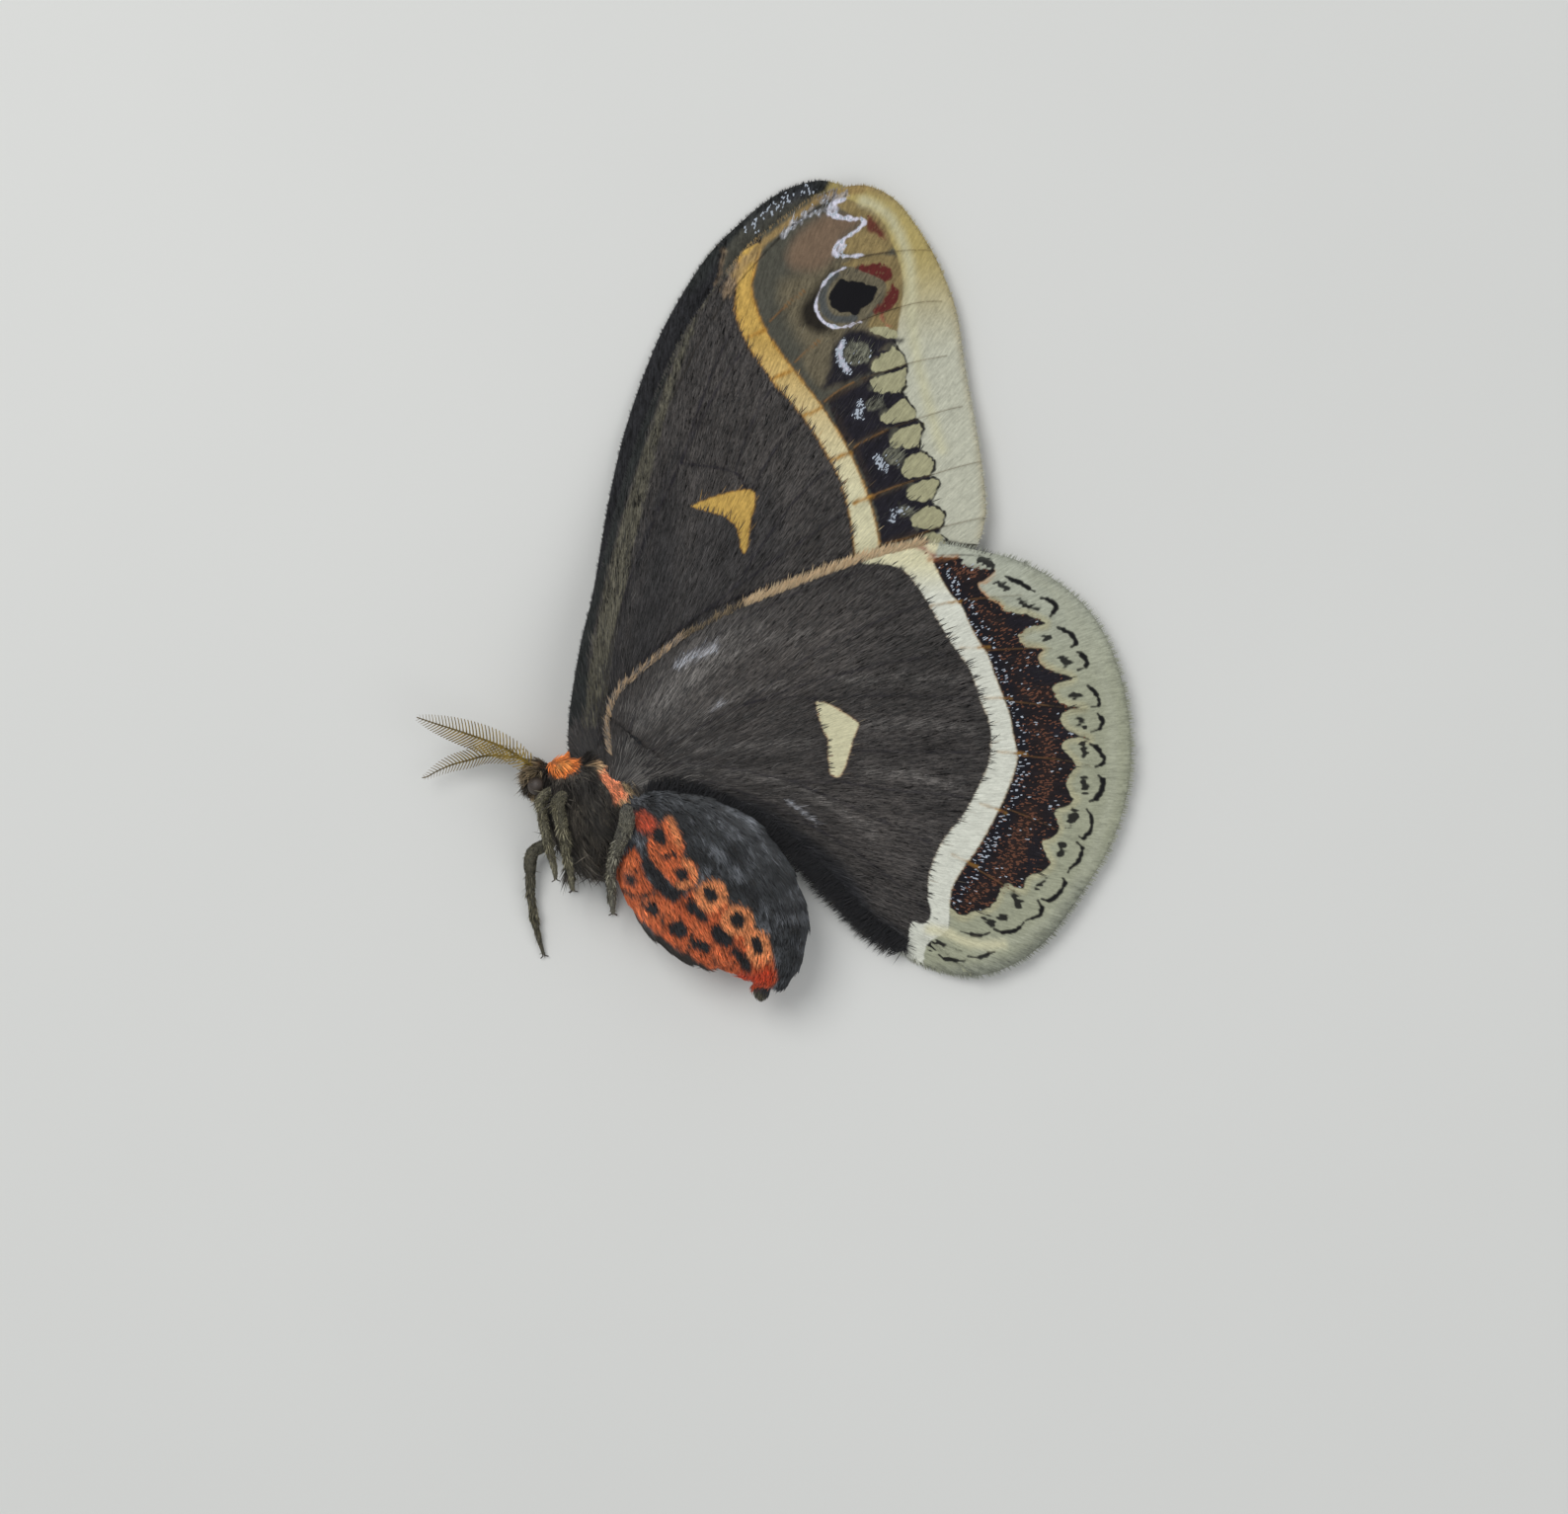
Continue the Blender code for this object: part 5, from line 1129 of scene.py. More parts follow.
# Legs: points of each leg's middle line with the leg's radius there, root first.
LEGS = {
    "foreleg_left": [
        (-19.4, -17.8, 5.4, 0.45), (-20.8, -18.8, 6.8, 0.52), (-20.9, -19.8, 7.0, 0.52),
        (-20.8, -21.0, 7.1, 0.50), (-20.4, -23.0, 6.8, 0.46), (-19.9, -25.1, 6.3, 0.40),
        (-19.8, -26.1, 5.9, 0.28),
    ],
    "midleg_left": [
        (-18.4, -18.4, 6.4, 0.55), (-19.4, -19.3, 8.5, 0.62), (-19.1, -21.0, 8.5, 0.62),
        (-18.8, -22.5, 8.1, 0.57), (-18.7, -24.0, 7.5, 0.45), (-18.4, -25.6, 6.8, 0.34),
        (-18.2, -27.1, 6.0, 0.28),
    ],
    "hindleg_left": [
        (-13.2, -19.8, 7.6, 0.65), (-13.2, -21.3, 9.5, 0.75), (-14.0, -23.3, 9.0, 0.62),
        (-14.5, -24.7, 8.2, 0.50), (-14.7, -26.1, 7.4, 0.45), (-14.6, -27.7, 6.6, 0.40),
        (-14.6, -29.2, 5.8, 0.30),
    ],
    "foreleg_right": [
        (-18.6, -21.6, 2.8, 0.50), (-20.9, -23.2, 2.3, 0.60), (-22.1, -23.9, 1.9, 0.62),
        (-22.4, -24.9, 1.7, 0.62), (-22.4, -26.3, 1.4, 0.54), (-22.4, -27.8, 1.1, 0.42),
        (-22.2, -29.4, 0.9, 0.34), (-21.9, -31.0, 0.7, 0.32), (-21.5, -32.6, 0.5, 0.28),
        (-21.3, -33.3, 0.4, 0.26),
    ],
    "midleg_right": [
        (-17.6, -22.3, 2.8, 0.55), (-18.6, -24.6, 2.0, 0.55), (-18.7, -26.0, 1.4, 0.45),
        (-18.6, -27.3, 0.7, 0.30),
    ],
    "hindleg_right": [
        (-15.8, -22.6, 2.8, 0.55), (-15.2, -25.6, 1.9, 0.50), (-15.0, -27.6, 1.2, 0.42),
        (-14.9, -29.4, 0.6, 0.30),
    ],
}
LEG_COAT = 0.10
LEG_SIDES = 12
CLAW_LENGTH = 0.5

# The abdomen's middle line with its half width in plan, from the thorax to the tip.
ABDOMEN_LINE = [
    (-13.8, -20.0, 2.8), (-12.8, -20.8, 3.9), (-10.9, -22.3, 5.5), (-8.4, -24.4, 6.8), (-5.8, -26.9, 7.3),
    (-3.2, -29.6, 6.6), (-1.6, -31.8, 5.5), (-0.8, -33.8, 3.9), (-0.6, -35.4, 2.5), (-0.7, -36.1, 1.5),
]
ABDOMEN_LEVEL = 4.9
SIDE_MIDDLE = 4.0

# Back light, thorax light and light orange give lighter hair, and in some marks below they are painted
# highlights.
BODY_TINTS = {
    "thorax": "#3b3732", "thorax light": "#5f594f", "collar": "#e2803a", "collar light": "#f0a75a",
    "orange": "#e07a48",
    "deep orange": "#cd693c", "light orange": "#f0a068", "red orange": "#d04c28", "salmon red": "#cf5f40",
    "salmon": "#ec9468",
    "tan": "#978261", "pale tan": "#c4a57e", "light tan": "#d9c4a0", "back": "#3a3c3e",
    "back light": "#787b80", "black": "#26272a",
    "edge": "#34302b", "papilla": "#4f4b3b", "head": "#4a4339", "leg": "#6a654f", "leg light": "#a39d82",
    "leg grey": "#6f6d66",
    "wing root": "#43403d", "ash": "#77736e", "dusk": "#2c2b2c",
}

# Marks on the abdomen and the thorax: tint, softness, half width and line in plan. A half width of 0 means a
# filled patch.
ABDOMEN_MARKS = [
    ("deep orange", 0.4, 0.0, [
        (-14.1, -25.6), (-13.6, -24.3), (-12.9, -23.5), (-12.1, -23.5), (-11.9, -24.6), (-11.5, -25.8),
        (-10.8, -26.9), (-9.9, -27.5), (-8.9, -28.2), (-8.4, -27.7), (-7.4, -27.2), (-6.4, -27.0),
        (-4.6, -27.6), (-4.0, -28.6), (-3.0, -29.0), (-2.2, -30.2), (-1.4, -31.0), (-0.6, -31.4),
        (-0.2, -33.0), (0.2, -34.8), (0.0, -35.6), (-1.2, -36.1), (-2.6, -36.1), (-3.7, -35.3),
        (-5.4, -34.2), (-6.3, -33.9), (-7.6, -32.9), (-9.0, -32.1), (-10.5, -30.9), (-12.0, -29.6),
        (-13.2, -28.6), (-14.0, -27.4),
    ]),
    ("orange", 0.3, 0.0, [
        (-9.9, -20.8), (-9.3, -20.5), (-8.7, -21.5), (-8.1, -22.8), (-8.0, -24.2), (-7.4, -24.4),
        (-6.9, -25.0), (-6.8, -25.9), (-7.2, -26.7), (-8.2, -26.9), (-9.2, -26.4), (-9.9, -25.6),
        (-10.5, -25.0), (-11.1, -24.3), (-11.3, -23.2), (-11.1, -22.2), (-10.6, -21.6),
    ]),
    ("orange", 0.6, 0.4, [(-12.8, -24.4), (-12.9, -25.2)]),
    ("orange", 0.5, 1.1, [(-11.2, -28.8), (-11.0, -28.7)]),
    ("edge", 0.3, 0.16, [(-13.6, -27.0), (-12.4, -27.6), (-11.6, -27.5), (-10.6, -27.4)]),
    ("edge", 0.3, 0.14, [(-10.1, -30.6), (-9.9, -29.4), (-9.3, -28.4)]),
    ("edge", 0.3, 0.14, [(-7.7, -32.4), (-7.4, -31.2), (-7.0, -30.0)]),
    ("edge", 0.3, 0.12, [(-5.4, -33.6), (-5.3, -32.6), (-5.2, -31.8)]),
    ("orange", 0.6, 0.5, [(-9.6, -28.4), (-9.0, -29.6)]),
    ("orange", 0.6, 0.5, [(-7.0, -30.2), (-6.2, -31.0)]),
    ("orange", 0.6, 0.4, [(-5.2, -32.4), (-4.6, -33.4)]),
    # Painted highlights along the outer edges of the orange ring.
    ("light orange", 0.7, 0.3, [(-9.4, -20.9), (-8.9, -22.0), (-8.6, -22.8)]),
    ("light orange", 0.5, 0.35, [(-7.8, -24.6), (-7.2, -25.4), (-7.4, -26.2), (-8.4, -26.6)]),
    ("light orange", 0.4, 1.42, [(-5.8, -27.6), (-5.6, -27.5)]),
    ("light orange", 0.4, 1.4, [(-3.4, -29.8), (-3.2, -29.8)]),
    ("light orange", 0.4, 1.1, [(-1.6, -31.6), (-1.3, -32.8)]),
    ("orange", 0.8, 0.2, [(-1.2, -33.6), (-1.0, -34.2)]),
    ("black", 0.4, 0.0, [(-11.9, -23.9), (-11.1, -24.2), (-10.6, -24.9), (-10.0, -25.6), (-10.3, -26.1),
        (-11.2, -25.6), (-11.7, -24.9)]),
    ("black", 0.4, 0.0, [(-10.9, -26.2), (-10.0, -25.9), (-9.2, -26.6), (-8.3, -27.1), (-8.1, -27.5),
        (-9.0, -28.0), (-10.2, -27.2)]),
    ("black", 0.4, 0.0, [(-8.1, -28.3), (-7.2, -27.9), (-6.5, -28.6), (-5.9, -29.2), (-6.1, -29.9),
        (-7.2, -29.4)]),
    ("black", 0.4, 0.0, [(-5.7, -30.5), (-5.0, -30.1), (-4.3, -30.7), (-3.6, -31.3), (-3.8, -32.0),
        (-4.8, -32.0), (-5.5, -31.3)]),
    ("black", 0.4, 0.0, [(-4.0, -32.6), (-3.2, -32.1), (-2.6, -32.8), (-1.9, -33.8), (-2.2, -34.5),
        (-3.0, -33.9), (-3.3, -33.2)]),
    ("salmon red", 0.6, 0.75, [(-11.9, -20.8), (-11.3, -21.3)]),
    ("black", 0.3, 0.55, [(-10.35, -22.0), (-10.2, -22.5)]),
    ("black", 0.3, 0.28, [(-9.7, -24.1), (-9.0, -23.8)]),
    ("black", 0.3, 0.55, [(-8.25, -25.5), (-8.15, -25.65)]),
    ("black", 0.3, 0.6, [(-5.72, -27.4), (-5.7, -27.5)]),
    ("black", 0.3, 0.62, [(-3.34, -29.5), (-3.3, -29.8)]),
    ("black", 0.3, 0.45, [(-1.6, -31.6), (-1.4, -32.4)]),
    ("black", 0.5, 0.42, [(-13.0, -26.1), (-12.7, -26.3)]),
    ("black", 0.3, 0.1, [(-13.3, -25.7), (-12.6, -25.5), (-12.0, -25.2)]),
    ("black", 0.3, 0.55, [(-11.0, -28.5), (-10.8, -28.9)]),
    ("black", 0.3, 0.12, [(-11.7, -27.9), (-11.8, -28.8), (-11.3, -29.6)]),
    ("black", 0.3, 0.72, [(-8.8, -30.4), (-8.4, -30.6)]),
    ("black", 0.3, 0.45, [(-6.9, -31.9), (-6.2, -32.1)]),
    ("red orange", 0.7, 0.85, [(-3.0, -35.2), (-1.8, -35.3), (-0.7, -34.9)]),
    ("edge", 0.4, 0.5, [(-14.4, -28.2), (-12.9, -29.6), (-11.4, -31.2)]),
    ("edge", 0.4, 0.45, [(-10.8, -31.2), (-9.7, -32.3), (-8.5, -33.3)]),
    ("edge", 0.4, 0.45, [(-8.2, -33.0), (-7.2, -33.8), (-6.2, -34.5)]),
    ("edge", 0.3, 0.3, [(-5.7, -34.5), (-4.6, -35.0), (-3.8, -35.5)]),
    # Painted highlights: sheen on the hair of the back and of one segment.
    ("back light", 0.9, 0.3, [(-5.4, -23.4), (-4.6, -24.3)]),
    ("back light", 0.9, 0.25, [(-3.6, -25.2), (-3.0, -26.2)]),
    ("back light", 0.8, 0.12, [(0.3, -29.6), (1.6, -29.6), (2.8, -29.4)]),
    ("black", 0.3, 0.12, [(-0.3, -28.9), (1.3, -28.9), (3.3, -28.6)]),
    ("black", 0.3, 0.10, [(-0.1, -31.9), (1.4, -32.0), (3.0, -31.8)]),
]
THORAX_MARKS = [
    # Painted highlight on the hair in the middle of the thorax.
    ("thorax light", 2.0, 0.0, [(-17.8, -19.0), (-15.6, -19.6), (-15.8, -23.0), (-17.2, -22.4)]),
    ("pale tan", 0.5, 0.3, [(-20.6, -15.6), (-19.9, -14.7), (-19.2, -14.3)]),
    ("tan", 0.7, 0.3, [(-15.4, -15.3), (-14.2, -16.6), (-13.1, -18.4), (-12.4, -20.4)]),
    ("collar", 0.5, 1.1, [(-19.5, -16.0), (-18.6, -15.8)]),
    ("collar light", 0.9, 0.3, [(-19.3, -16.2), (-18.6, -16.0)]),
    ("pale tan", 0.5, 0.45, [(-15.9, -15.9), (-15.0, -16.6)]),
    ("salmon", 0.5, 0.55, [(-15.1, -16.8), (-14.6, -17.6), (-13.9, -18.8)]),
    ("pale tan", 0.6, 0.35, [(-13.6, -19.3), (-13.2, -20.2)]),
]
BODY_JAG = 0.3
# Layers of noise that streak the abdomen's back.
BACK_LAYERS = ((0.5, 1.1, 1.6, 23), (0.5, 0.22, 0.5, 24))
# The body's parts in the order that they are made in, and places that hair on them streams from.
REGIONS = list(COAT_DEPTHS) + list(LEGS)
HEAD_MIDDLE = np.array((-20.2, -16.2, SIDE_MIDDLE))
COLLAR_MIDDLE = np.array((-20.6, -15.2))
# Smooth pads of short hair on the collar and along the wing root.
PADS = ([(-19.4, -16.1), (-18.7, -15.8)], [(-15.7, -16.1), (-13.1, -20.2)])
# Start and height of a part's strip on the map; the other parts have narrow ones above these.
MAP_STRIPS = {"abdomen": (0.0, 0.5), "thorax": (0.5, 0.2)}

# Coat of each part: tufts for each square millimetre, and the tuft's length, width and lift in millimetres.
COATS = {
    "thorax": (46.0, 1.8, 0.085, 0.5),
    "head": (62.0, 1.15, 0.075, 0.42),
    "abdomen": (44.0, 0.8, 0.10, 0.24),
    "abdomen_tip": (60.0, 0.45, 0.08, 0.12),
    "leg": (88.0, 1.05, 0.07, 0.62),
}
# How far the hairs of a region differ: share of dark ones, share of light ones, tone and turn of locks, and
# scatter of the lie.
VARIETY = {
    "thorax": (0.22, 0.22, 1.3, 1.0, 0.2), "head": (0.2, 0.12, 0.6, 0.9, 0.25),
    "abdomen": (0.08, 0.03, 0.4, 0.35, 0.12),
    "abdomen_tip": (0.1, 0.1, 0.3, 0.3, 0.1), "leg": (0.22, 0.05, 0.6, 0.5, 0.25),
}

EYES = ("eye_left", "eye_right")
EYE_RADIUS = 0.87
CLAW_RADII = (0.07, 0.05, 0.012)


def body_tint(region, points):
    """Colour of the skin or hair at plan places of a body part, the same on both sides of the moth."""
    tone = noise(points[:, 0] / 0.9, points[:, 1] / 0.9, 21)[:, None]
    fine = noise(points[:, 0] / 0.25, points[:, 1] / 0.25, 22)
    shade = {name: np.array(linear(colour)) for name, colour in BODY_TINTS.items()}
    if region in LEGS:
        base = "leg grey" if region.startswith("hind") else "leg"
        # The legs of the right side, under the body, get painted shade.
        dim = 0.6 if region.endswith("right") else 1.0
        return (shade[base] + (shade["leg light"] - shade[base]) * tone * 0.8) * dim
    if region == "head":
        return shade["head"] + (shade["tan"] - shade["head"]) * ramp(tone, 0.35, 0.85) * 0.7
    if region == "abdomen_tip":
        return shade["papilla"] * (0.8 + 0.4 * tone)
    if region == "thorax":
        tint = shade["thorax"] * 0.9 + (shade["thorax light"] - shade["thorax"]) * ramp(tone, 0.3, 0.8)
        marks = THORAX_MARKS
    else:
        streaks = layered(points, BACK_LAYERS)
        tint = shade["back"] + (shade["back light"] - shade["back"]) * ramp(streaks, 0.5, 0.9)[:, None]
        tint = tint * (0.5 + 0.9 * tone)
        marks = ABDOMEN_MARKS
    for kind, soft, half, line in marks:
        mask = covered(points, line, soft, BODY_JAG, half, fine - 0.5, 3, 0)
        tint = tint + (shade[kind] - tint) * mask[:, None]
    return tint


def frames_along(line):
    """Unit tangents of a line of points, and two unit directions across it."""
    along = unit(np.gradient(line, axis=0))
    side = unit(np.cross(along, (0.0, 0.0, 1.0)))
    return along, side, np.cross(side, along)


def ring_faces(rings, sides):
    """Faces between rings of points that follow each other."""
    faces = []
    for k in range(rings - 1):
        for s in range(sides):
            a, b = k * sides + s, k * sides + (s + 1) % sides
            faces.append([a, b, b + sides, a + sides])
    return faces


def tube(stations, steps, sides, thin=0.0):
    """Points and faces of a closed round tube along (x, y, z, radius) stations."""
    line = smooth_curve(stations, steps)
    radius = np.maximum(line[:, 3] - thin, 0.05)
    middle = line[:, :3]
    _, side, over = frames_along(middle)
    angle = np.arange(sides) * 2 * math.pi / sides
    ring = side[:, None] * np.cos(angle)[None, :, None] + over[:, None] * np.sin(angle)[None, :, None]
    points = (middle[:, None] + ring * radius[:, None, None]).reshape(-1, 3)
    faces = ring_faces(len(line), sides)
    root = middle[0] - unit(middle[1] - middle[0]) * radius[0] * 0.5
    tip = middle[-1] + unit(middle[-1] - middle[-2]) * radius[-1] * 0.5
    size, last = len(points), len(points) - sides
    for s in range(sides):
        faces.append([size, (s + 1) % sides, s])
        faces.append([size + 1, last + s, last + (s + 1) % sides])
    return np.concatenate([points, [root, tip]]), faces


def leg_stations(name):
    """A leg's stations with the swellings of its segments and small joints of the foot."""
    line = smooth_curve(LEGS[name], 6)
    share = np.linspace(0, 1, len(line))
    foot = ramp(share, 0.66, 0.72)
    swell = 1 - 0.10 * np.abs(np.sin(share * math.pi * 12)) * foot
    knee = 1 - 0.16 * np.exp(-((share - 0.42) / 0.03) ** 2) - 0.14 * np.exp(-((share - 0.68) / 0.025) ** 2)
    line[:, 3] *= swell * knee
    line[:, 2] = np.maximum(line[:, 2], line[:, 3] + 0.02)
    return line


def joined(pieces):
    """Points and faces of several pieces as one."""
    points, faces, size = [], [], 0
    for some, sides in pieces:
        points.append(some)
        faces += [[i + size for i in face] for face in sides]
        size += len(some)
    return np.concatenate(points), faces


def ball(middle, radius, sides=16, rings=10):
    """Points and faces of a closed ball."""
    work = bmesh.new()
    bmesh.ops.create_uvsphere(work, u_segments=sides, v_segments=rings, radius=1.0)
    points = np.array([v.co for v in work.verts]) * radius + np.array(middle)
    faces = [[v.index for v in f.verts] for f in work.faces]
    work.free()
    return points, faces


def evaluated(obj):
    """Replaces an object's mesh by its evaluated one and drops its modifiers."""
    graph = bpy.context.evaluated_depsgraph_get()
    mesh = bpy.data.meshes.new_from_object(obj.evaluated_get(graph))
    obj.modifiers.clear()
    obj.data = mesh
    return obj


def merged_copy(name):
    """A CAD node's points in millimetres, their normals and its faces, with its loose triangles joined up."""
    work = bmesh.new()
    work.from_mesh(NODES[name].data)
    bmesh.ops.remove_doubles(work, verts=work.verts, dist=1e-6)
    work.normal_update()
    points = np.array([v.co for v in work.verts]) / MM
    normals = np.array([v.normal for v in work.verts])
    faces = [[v.index for v in f.verts] for f in work.faces]
    work.free()
    return points, normals, faces


def places_of(mesh):
    """A mesh's points, as they are stored."""
    points = np.empty(len(mesh.vertices) * 3)
    mesh.vertices.foreach_get("co", points)
    return points.reshape(-1, 3)


def body_skin(settings):
    """One skin for thorax, head, abdomen and legs, below the coat by the coat's depth."""
    pieces = []
    for name, depth in COAT_DEPTHS.items():
        points, normals, faces = merged_copy(name)
        pieces.append((points - normals * depth, faces))
    pieces += [ball(middle, radius) for middle, radius in JOINTS]
    points, faces = joined(pieces)
    skin = mesh_from("moth_skin", points / MM, faces)
    weld = skin.modifiers.new("weld", "REMESH")
    weld.mode = "VOXEL"
    weld.voxel_size = settings.skin_cell
    even = skin.modifiers.new("even", "SMOOTH")
    even.factor = 0.5
    even.iterations = 6
    evaluated(skin)
    limbs = mesh_from("moth_limbs", *joined([tube(leg_stations(name),
        2, LEG_SIDES, LEG_COAT) for name in LEGS]))
    limbs.scale = (1 / MM,) * 3
    bpy.context.view_layer.update()
    fuse = skin.modifiers.new("fuse", "BOOLEAN")
    fuse.operation = "UNION"
    fuse.object = limbs
    fuse.solver = "MANIFOLD"
    evaluated(skin)
    bpy.data.objects.remove(limbs)
    points = places_of(skin.data)
    points[:, 2] = np.maximum(points[:, 2], 0.05)
    skin.data.vertices.foreach_set("co", (points * MM).ravel())
    skin.data.shade_smooth()
    skin.data.update()
    return skin


def part_finder():
    """Finds the body part nearest to each point."""
    trees = []
    for name in REGIONS:
        points, _, faces = merged_copy(name)
        trees.append(BVHTree.FromPolygons(points.tolist(), faces))

    def find(points):
        away = np.array([[tree.find_nearest(Vector(p))[3] for tree in trees] for p in points])
        return np.array(REGIONS)[away.argmin(1)]

    return find


def skin_samples(skin):
    """The skin's triangles in millimetres: all points, corners, normals, areas and nearest body parts."""
    skin.data.calc_loop_triangles()
    corners = np.empty(len(skin.data.loop_triangles) * 3, np.int64)
    skin.data.loop_triangles.foreach_get("vertices", corners)
    points = places_of(skin.data) / MM
    corners = corners.reshape(-1, 3)
    base, left, right = (points[corners[:, k]] for k in range(3))
    across = np.cross(left - base, right - base)
    area = np.linalg.norm(across, axis=1) / 2
    return points, corners, unit(across), area, part_finder()(points[corners].mean(1))


def nearest(points, line):
    """Which point of a line is nearest to each point."""
    return np.linalg.norm(points[:, None] - line[None], axis=2).argmin(1)


def lie_of(region, points):
    """The way that the hair lies on a body part, before it is laid onto the skin."""
    if region in LEGS:
        line = smooth_curve(LEGS[region], 4)[:, :3]
        return frames_along(line)[0][nearest(points, line)]
    if region == "head":
        away = points - HEAD_MIDDLE
        return unit(away * (1.0, 1.0, 0.6) + np.array((-0.3, -1.6, 0.0)))
    if region == "abdomen_tip":
        return np.tile(np.array((0.1, -1.0, 0.0)), (len(points), 1))
    if region == "abdomen":
        line = smooth_curve(ABDOMEN_LINE, 6)[:, :2]
        along = unit(np.gradient(line, axis=0))[nearest(points[:, :2], line)]
        belly = np.stack([along[:, 1], -along[:, 0]], 1)
        down = along + belly * 0.35
        return unit(np.column_stack([down, -0.1 * np.sign(points[:, 2] - ABDOMEN_LEVEL)]))
    from_collar = points[:, :2] - COLLAR_MIDDLE
    reach = np.hypot(*from_collar.T)[:, None]
    fanned = from_collar / np.maximum(reach, 0.3)
    down = np.array((0.25, -1.0))
    lie = fanned * np.exp(-(reach / 3.2) ** 2) + down * (1 - np.exp(-(reach / 3.2) ** 2))
    up_wing = ramp(points[:, 1], -16.8, -14.6)[:, None] * ramp(points[:, 0], -19.0, -17.0)[:, None]
    lie = lie * (1 - up_wing) + np.array((0.5, 1.0)) * up_wing
    return unit(np.column_stack([lie, -0.25 * np.sign(points[:, 2] - SIDE_MIDDLE)]))


def skin_tint(samples):
    """Colour of the skin at each of its points, darker than the coat over it."""
    points, corners, _, _, parts = samples
    tint = np.zeros((len(points), 3))
    for region in REGIONS:
        some = np.unique(corners[parts == region])
        if len(some):
            tint[some] = body_tint(region, points[some, :2]) * 0.55
    return tint


def body_patches(region, points):
    """Places on an unwrap of the skin's own shape: along the part, and round it."""
    if region in LEGS:
        line = smooth_curve(LEGS[region], 4)[:, :3]
    elif region == "abdomen":
        line = smooth_curve(ABDOMEN_LINE, 6)
        line[:, 2] = ABDOMEN_LEVEL
    else:
        low, high = (np.array(corner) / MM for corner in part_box(region))
        level = (low[2] + high[2]) / 2
        line = np.linspace((low[0], high[1], level), (high[0], low[1], level), 40)
    near = nearest(points, line)
    tangent, side, over = frames_along(line)
    away = points - line[near]
    round_it = np.arctan2((away * over[near]).sum(1), (away * side[near]).sum(1)) / (2 * math.pi) + 0.5
    along = near / (len(line) - 1) + 0.02 * (away * tangent[near]).sum(1)
    start, high = MAP_STRIPS.get(region, (0.7 + 0.037 * (REGIONS.index(region) - 1), 0.035))
    return np.column_stack([0.003 + 0.985 * np.clip(along, 0, 1),
        start + high * np.clip(round_it, 0, 0.98)])


def scattered(samples, region, dense, dice):
    """Random places on a body part's skin, fewer where it is hidden underneath, and the normals there."""
    points, corners, normals, area, parts = samples
    some = np.flatnonzero(parts == region)
    hidden = (normals[some, 2] < -0.35) & (points[corners[some, 0], 2] < 3.0)
    weight = area[some] * np.where(hidden, 0.35, 1.0)
    count = int(weight.sum() * dense)
    chance = dice.random(count) * weight.sum()
    picked = some[np.searchsorted(np.cumsum(weight), chance).clip(0, len(some) - 1)]
    a, b = dice.random((2, count))
    flip = a + b > 1
    a[flip], b[flip] = 1 - a[flip], 1 - b[flip]
    base, left, right = (points[corners[picked, k]] for k in range(3))
    return base + (left - base) * a[:, None] + (right - base) * b[:, None], normals[picked]


def region_hair(samples, region, settings):
    """Hair rows for one part of the body."""
    dense, long, wide, lift = COATS.get(region, COATS["leg"])
    dark, light, lock_tone, lock_turn, loose = VARIETY.get(region, VARIETY["leg"])
    dice = np.random.default_rng(100 + REGIONS.index(region))
    roots, up = scattered(samples, region, dense * settings.density, dice)
    count = len(roots)
    lock_x, lock_y = roots[:, 0] / 0.42 + roots[:, 2] * 1.1, roots[:, 1] / 0.7 - roots[:, 2] * 0.8
    lock = [noise(lock_x, lock_y, 80 + k) - 0.5 for k in range(3)]
    off_pads = np.ones(count)
    if region == "thorax":
        off_pads = ramp(np.minimum(*(to_line(roots[:, :2], pad)[0] for pad in PADS)), 0.9, 1.6)
    calm = 0.3 + 0.7 * off_pads
    lie = lie_of(region, roots)
    turned_by = unit(np.cross(lie, up)) * (lock_turn * calm * lock[0])[:, None]
    lie = lie + turned_by + dice.normal(0, loose, (count, 3))
    aim = unit(lie - up * (lie * up).sum(1)[:, None])
    size = np.tile((long, wide, lift), (count, 1))
    size[:, 0] *= 1 + 0.7 * lock[1]
    if region == "thorax":
        size[:, 0] *= (0.4 + 0.6 * off_pads) * (1 + 0.5 * ramp(-roots[:, 1], 21.6, 23.4))
        size[:, 2] *= 0.35 + 0.65 * off_pads
    if region == "abdomen":
        belly = (roots[:, 0] + 7.0) * -0.66 + (roots[:, 1] + 27.4) * -0.75
        size[:, 0] *= 1 + 0.45 * ramp(np.abs(belly), 3.6, 4.8)
    patches = body_patches(region, roots)
    if region in LEGS:
        at_foot = ramp(patches[:, 0], 0.62, 0.95)
        size *= (1 - 0.6 * at_foot)[:, None] * (1.0, 0.7, 1.0) + (0.0, 0.3 * wide, 0.0)
    room = np.maximum((roots[:, 2] - 0.05) * 0.9, 0.03)
    size[:, 2] = np.where(up[:, 2] < -0.3, np.minimum(size[:, 2], room), size[:, 2])
    tint = body_tint(region, roots[:, :2] + aim[:, :2] * size[:, :1] * 0.45)
    tint = tint * (0.7 + 0.66 * dice.random((count, 1))) * (1 + lock_tone * calm * lock[2])[:, None]
    chance = dice.random(count)
    some = chance < dark * calm
    tint[some] = tint[some] * 0.2 + np.array(linear(BODY_TINTS["edge"])) * 0.5
    tint[chance > 1 - light] *= 1.9
    return roots, aim, up, size, tint, patches


def gathered(rows):
    """Hair rows of several places as one."""
    return [np.concatenate(values) for values in zip(*rows)]


# Corner and width of the square on plan that the map of the wings' hair covers.
MAP_CORNER = (-20.0, -37.0)
MAP_SPAN = 76.0
# Length, width and lift of the wings' flat hair, and lengths of the fringe scales on each wing.
NAP_SIZES = (0.85, 0.07, 0.045)
HIND_FRINGE = 0.62
FORE_FRINGE = 0.4


def wing_map(spots):
    """Places on the map for plan places of a wing."""
    return (spots - MAP_CORNER) / MAP_SPAN * 0.98 + 0.005


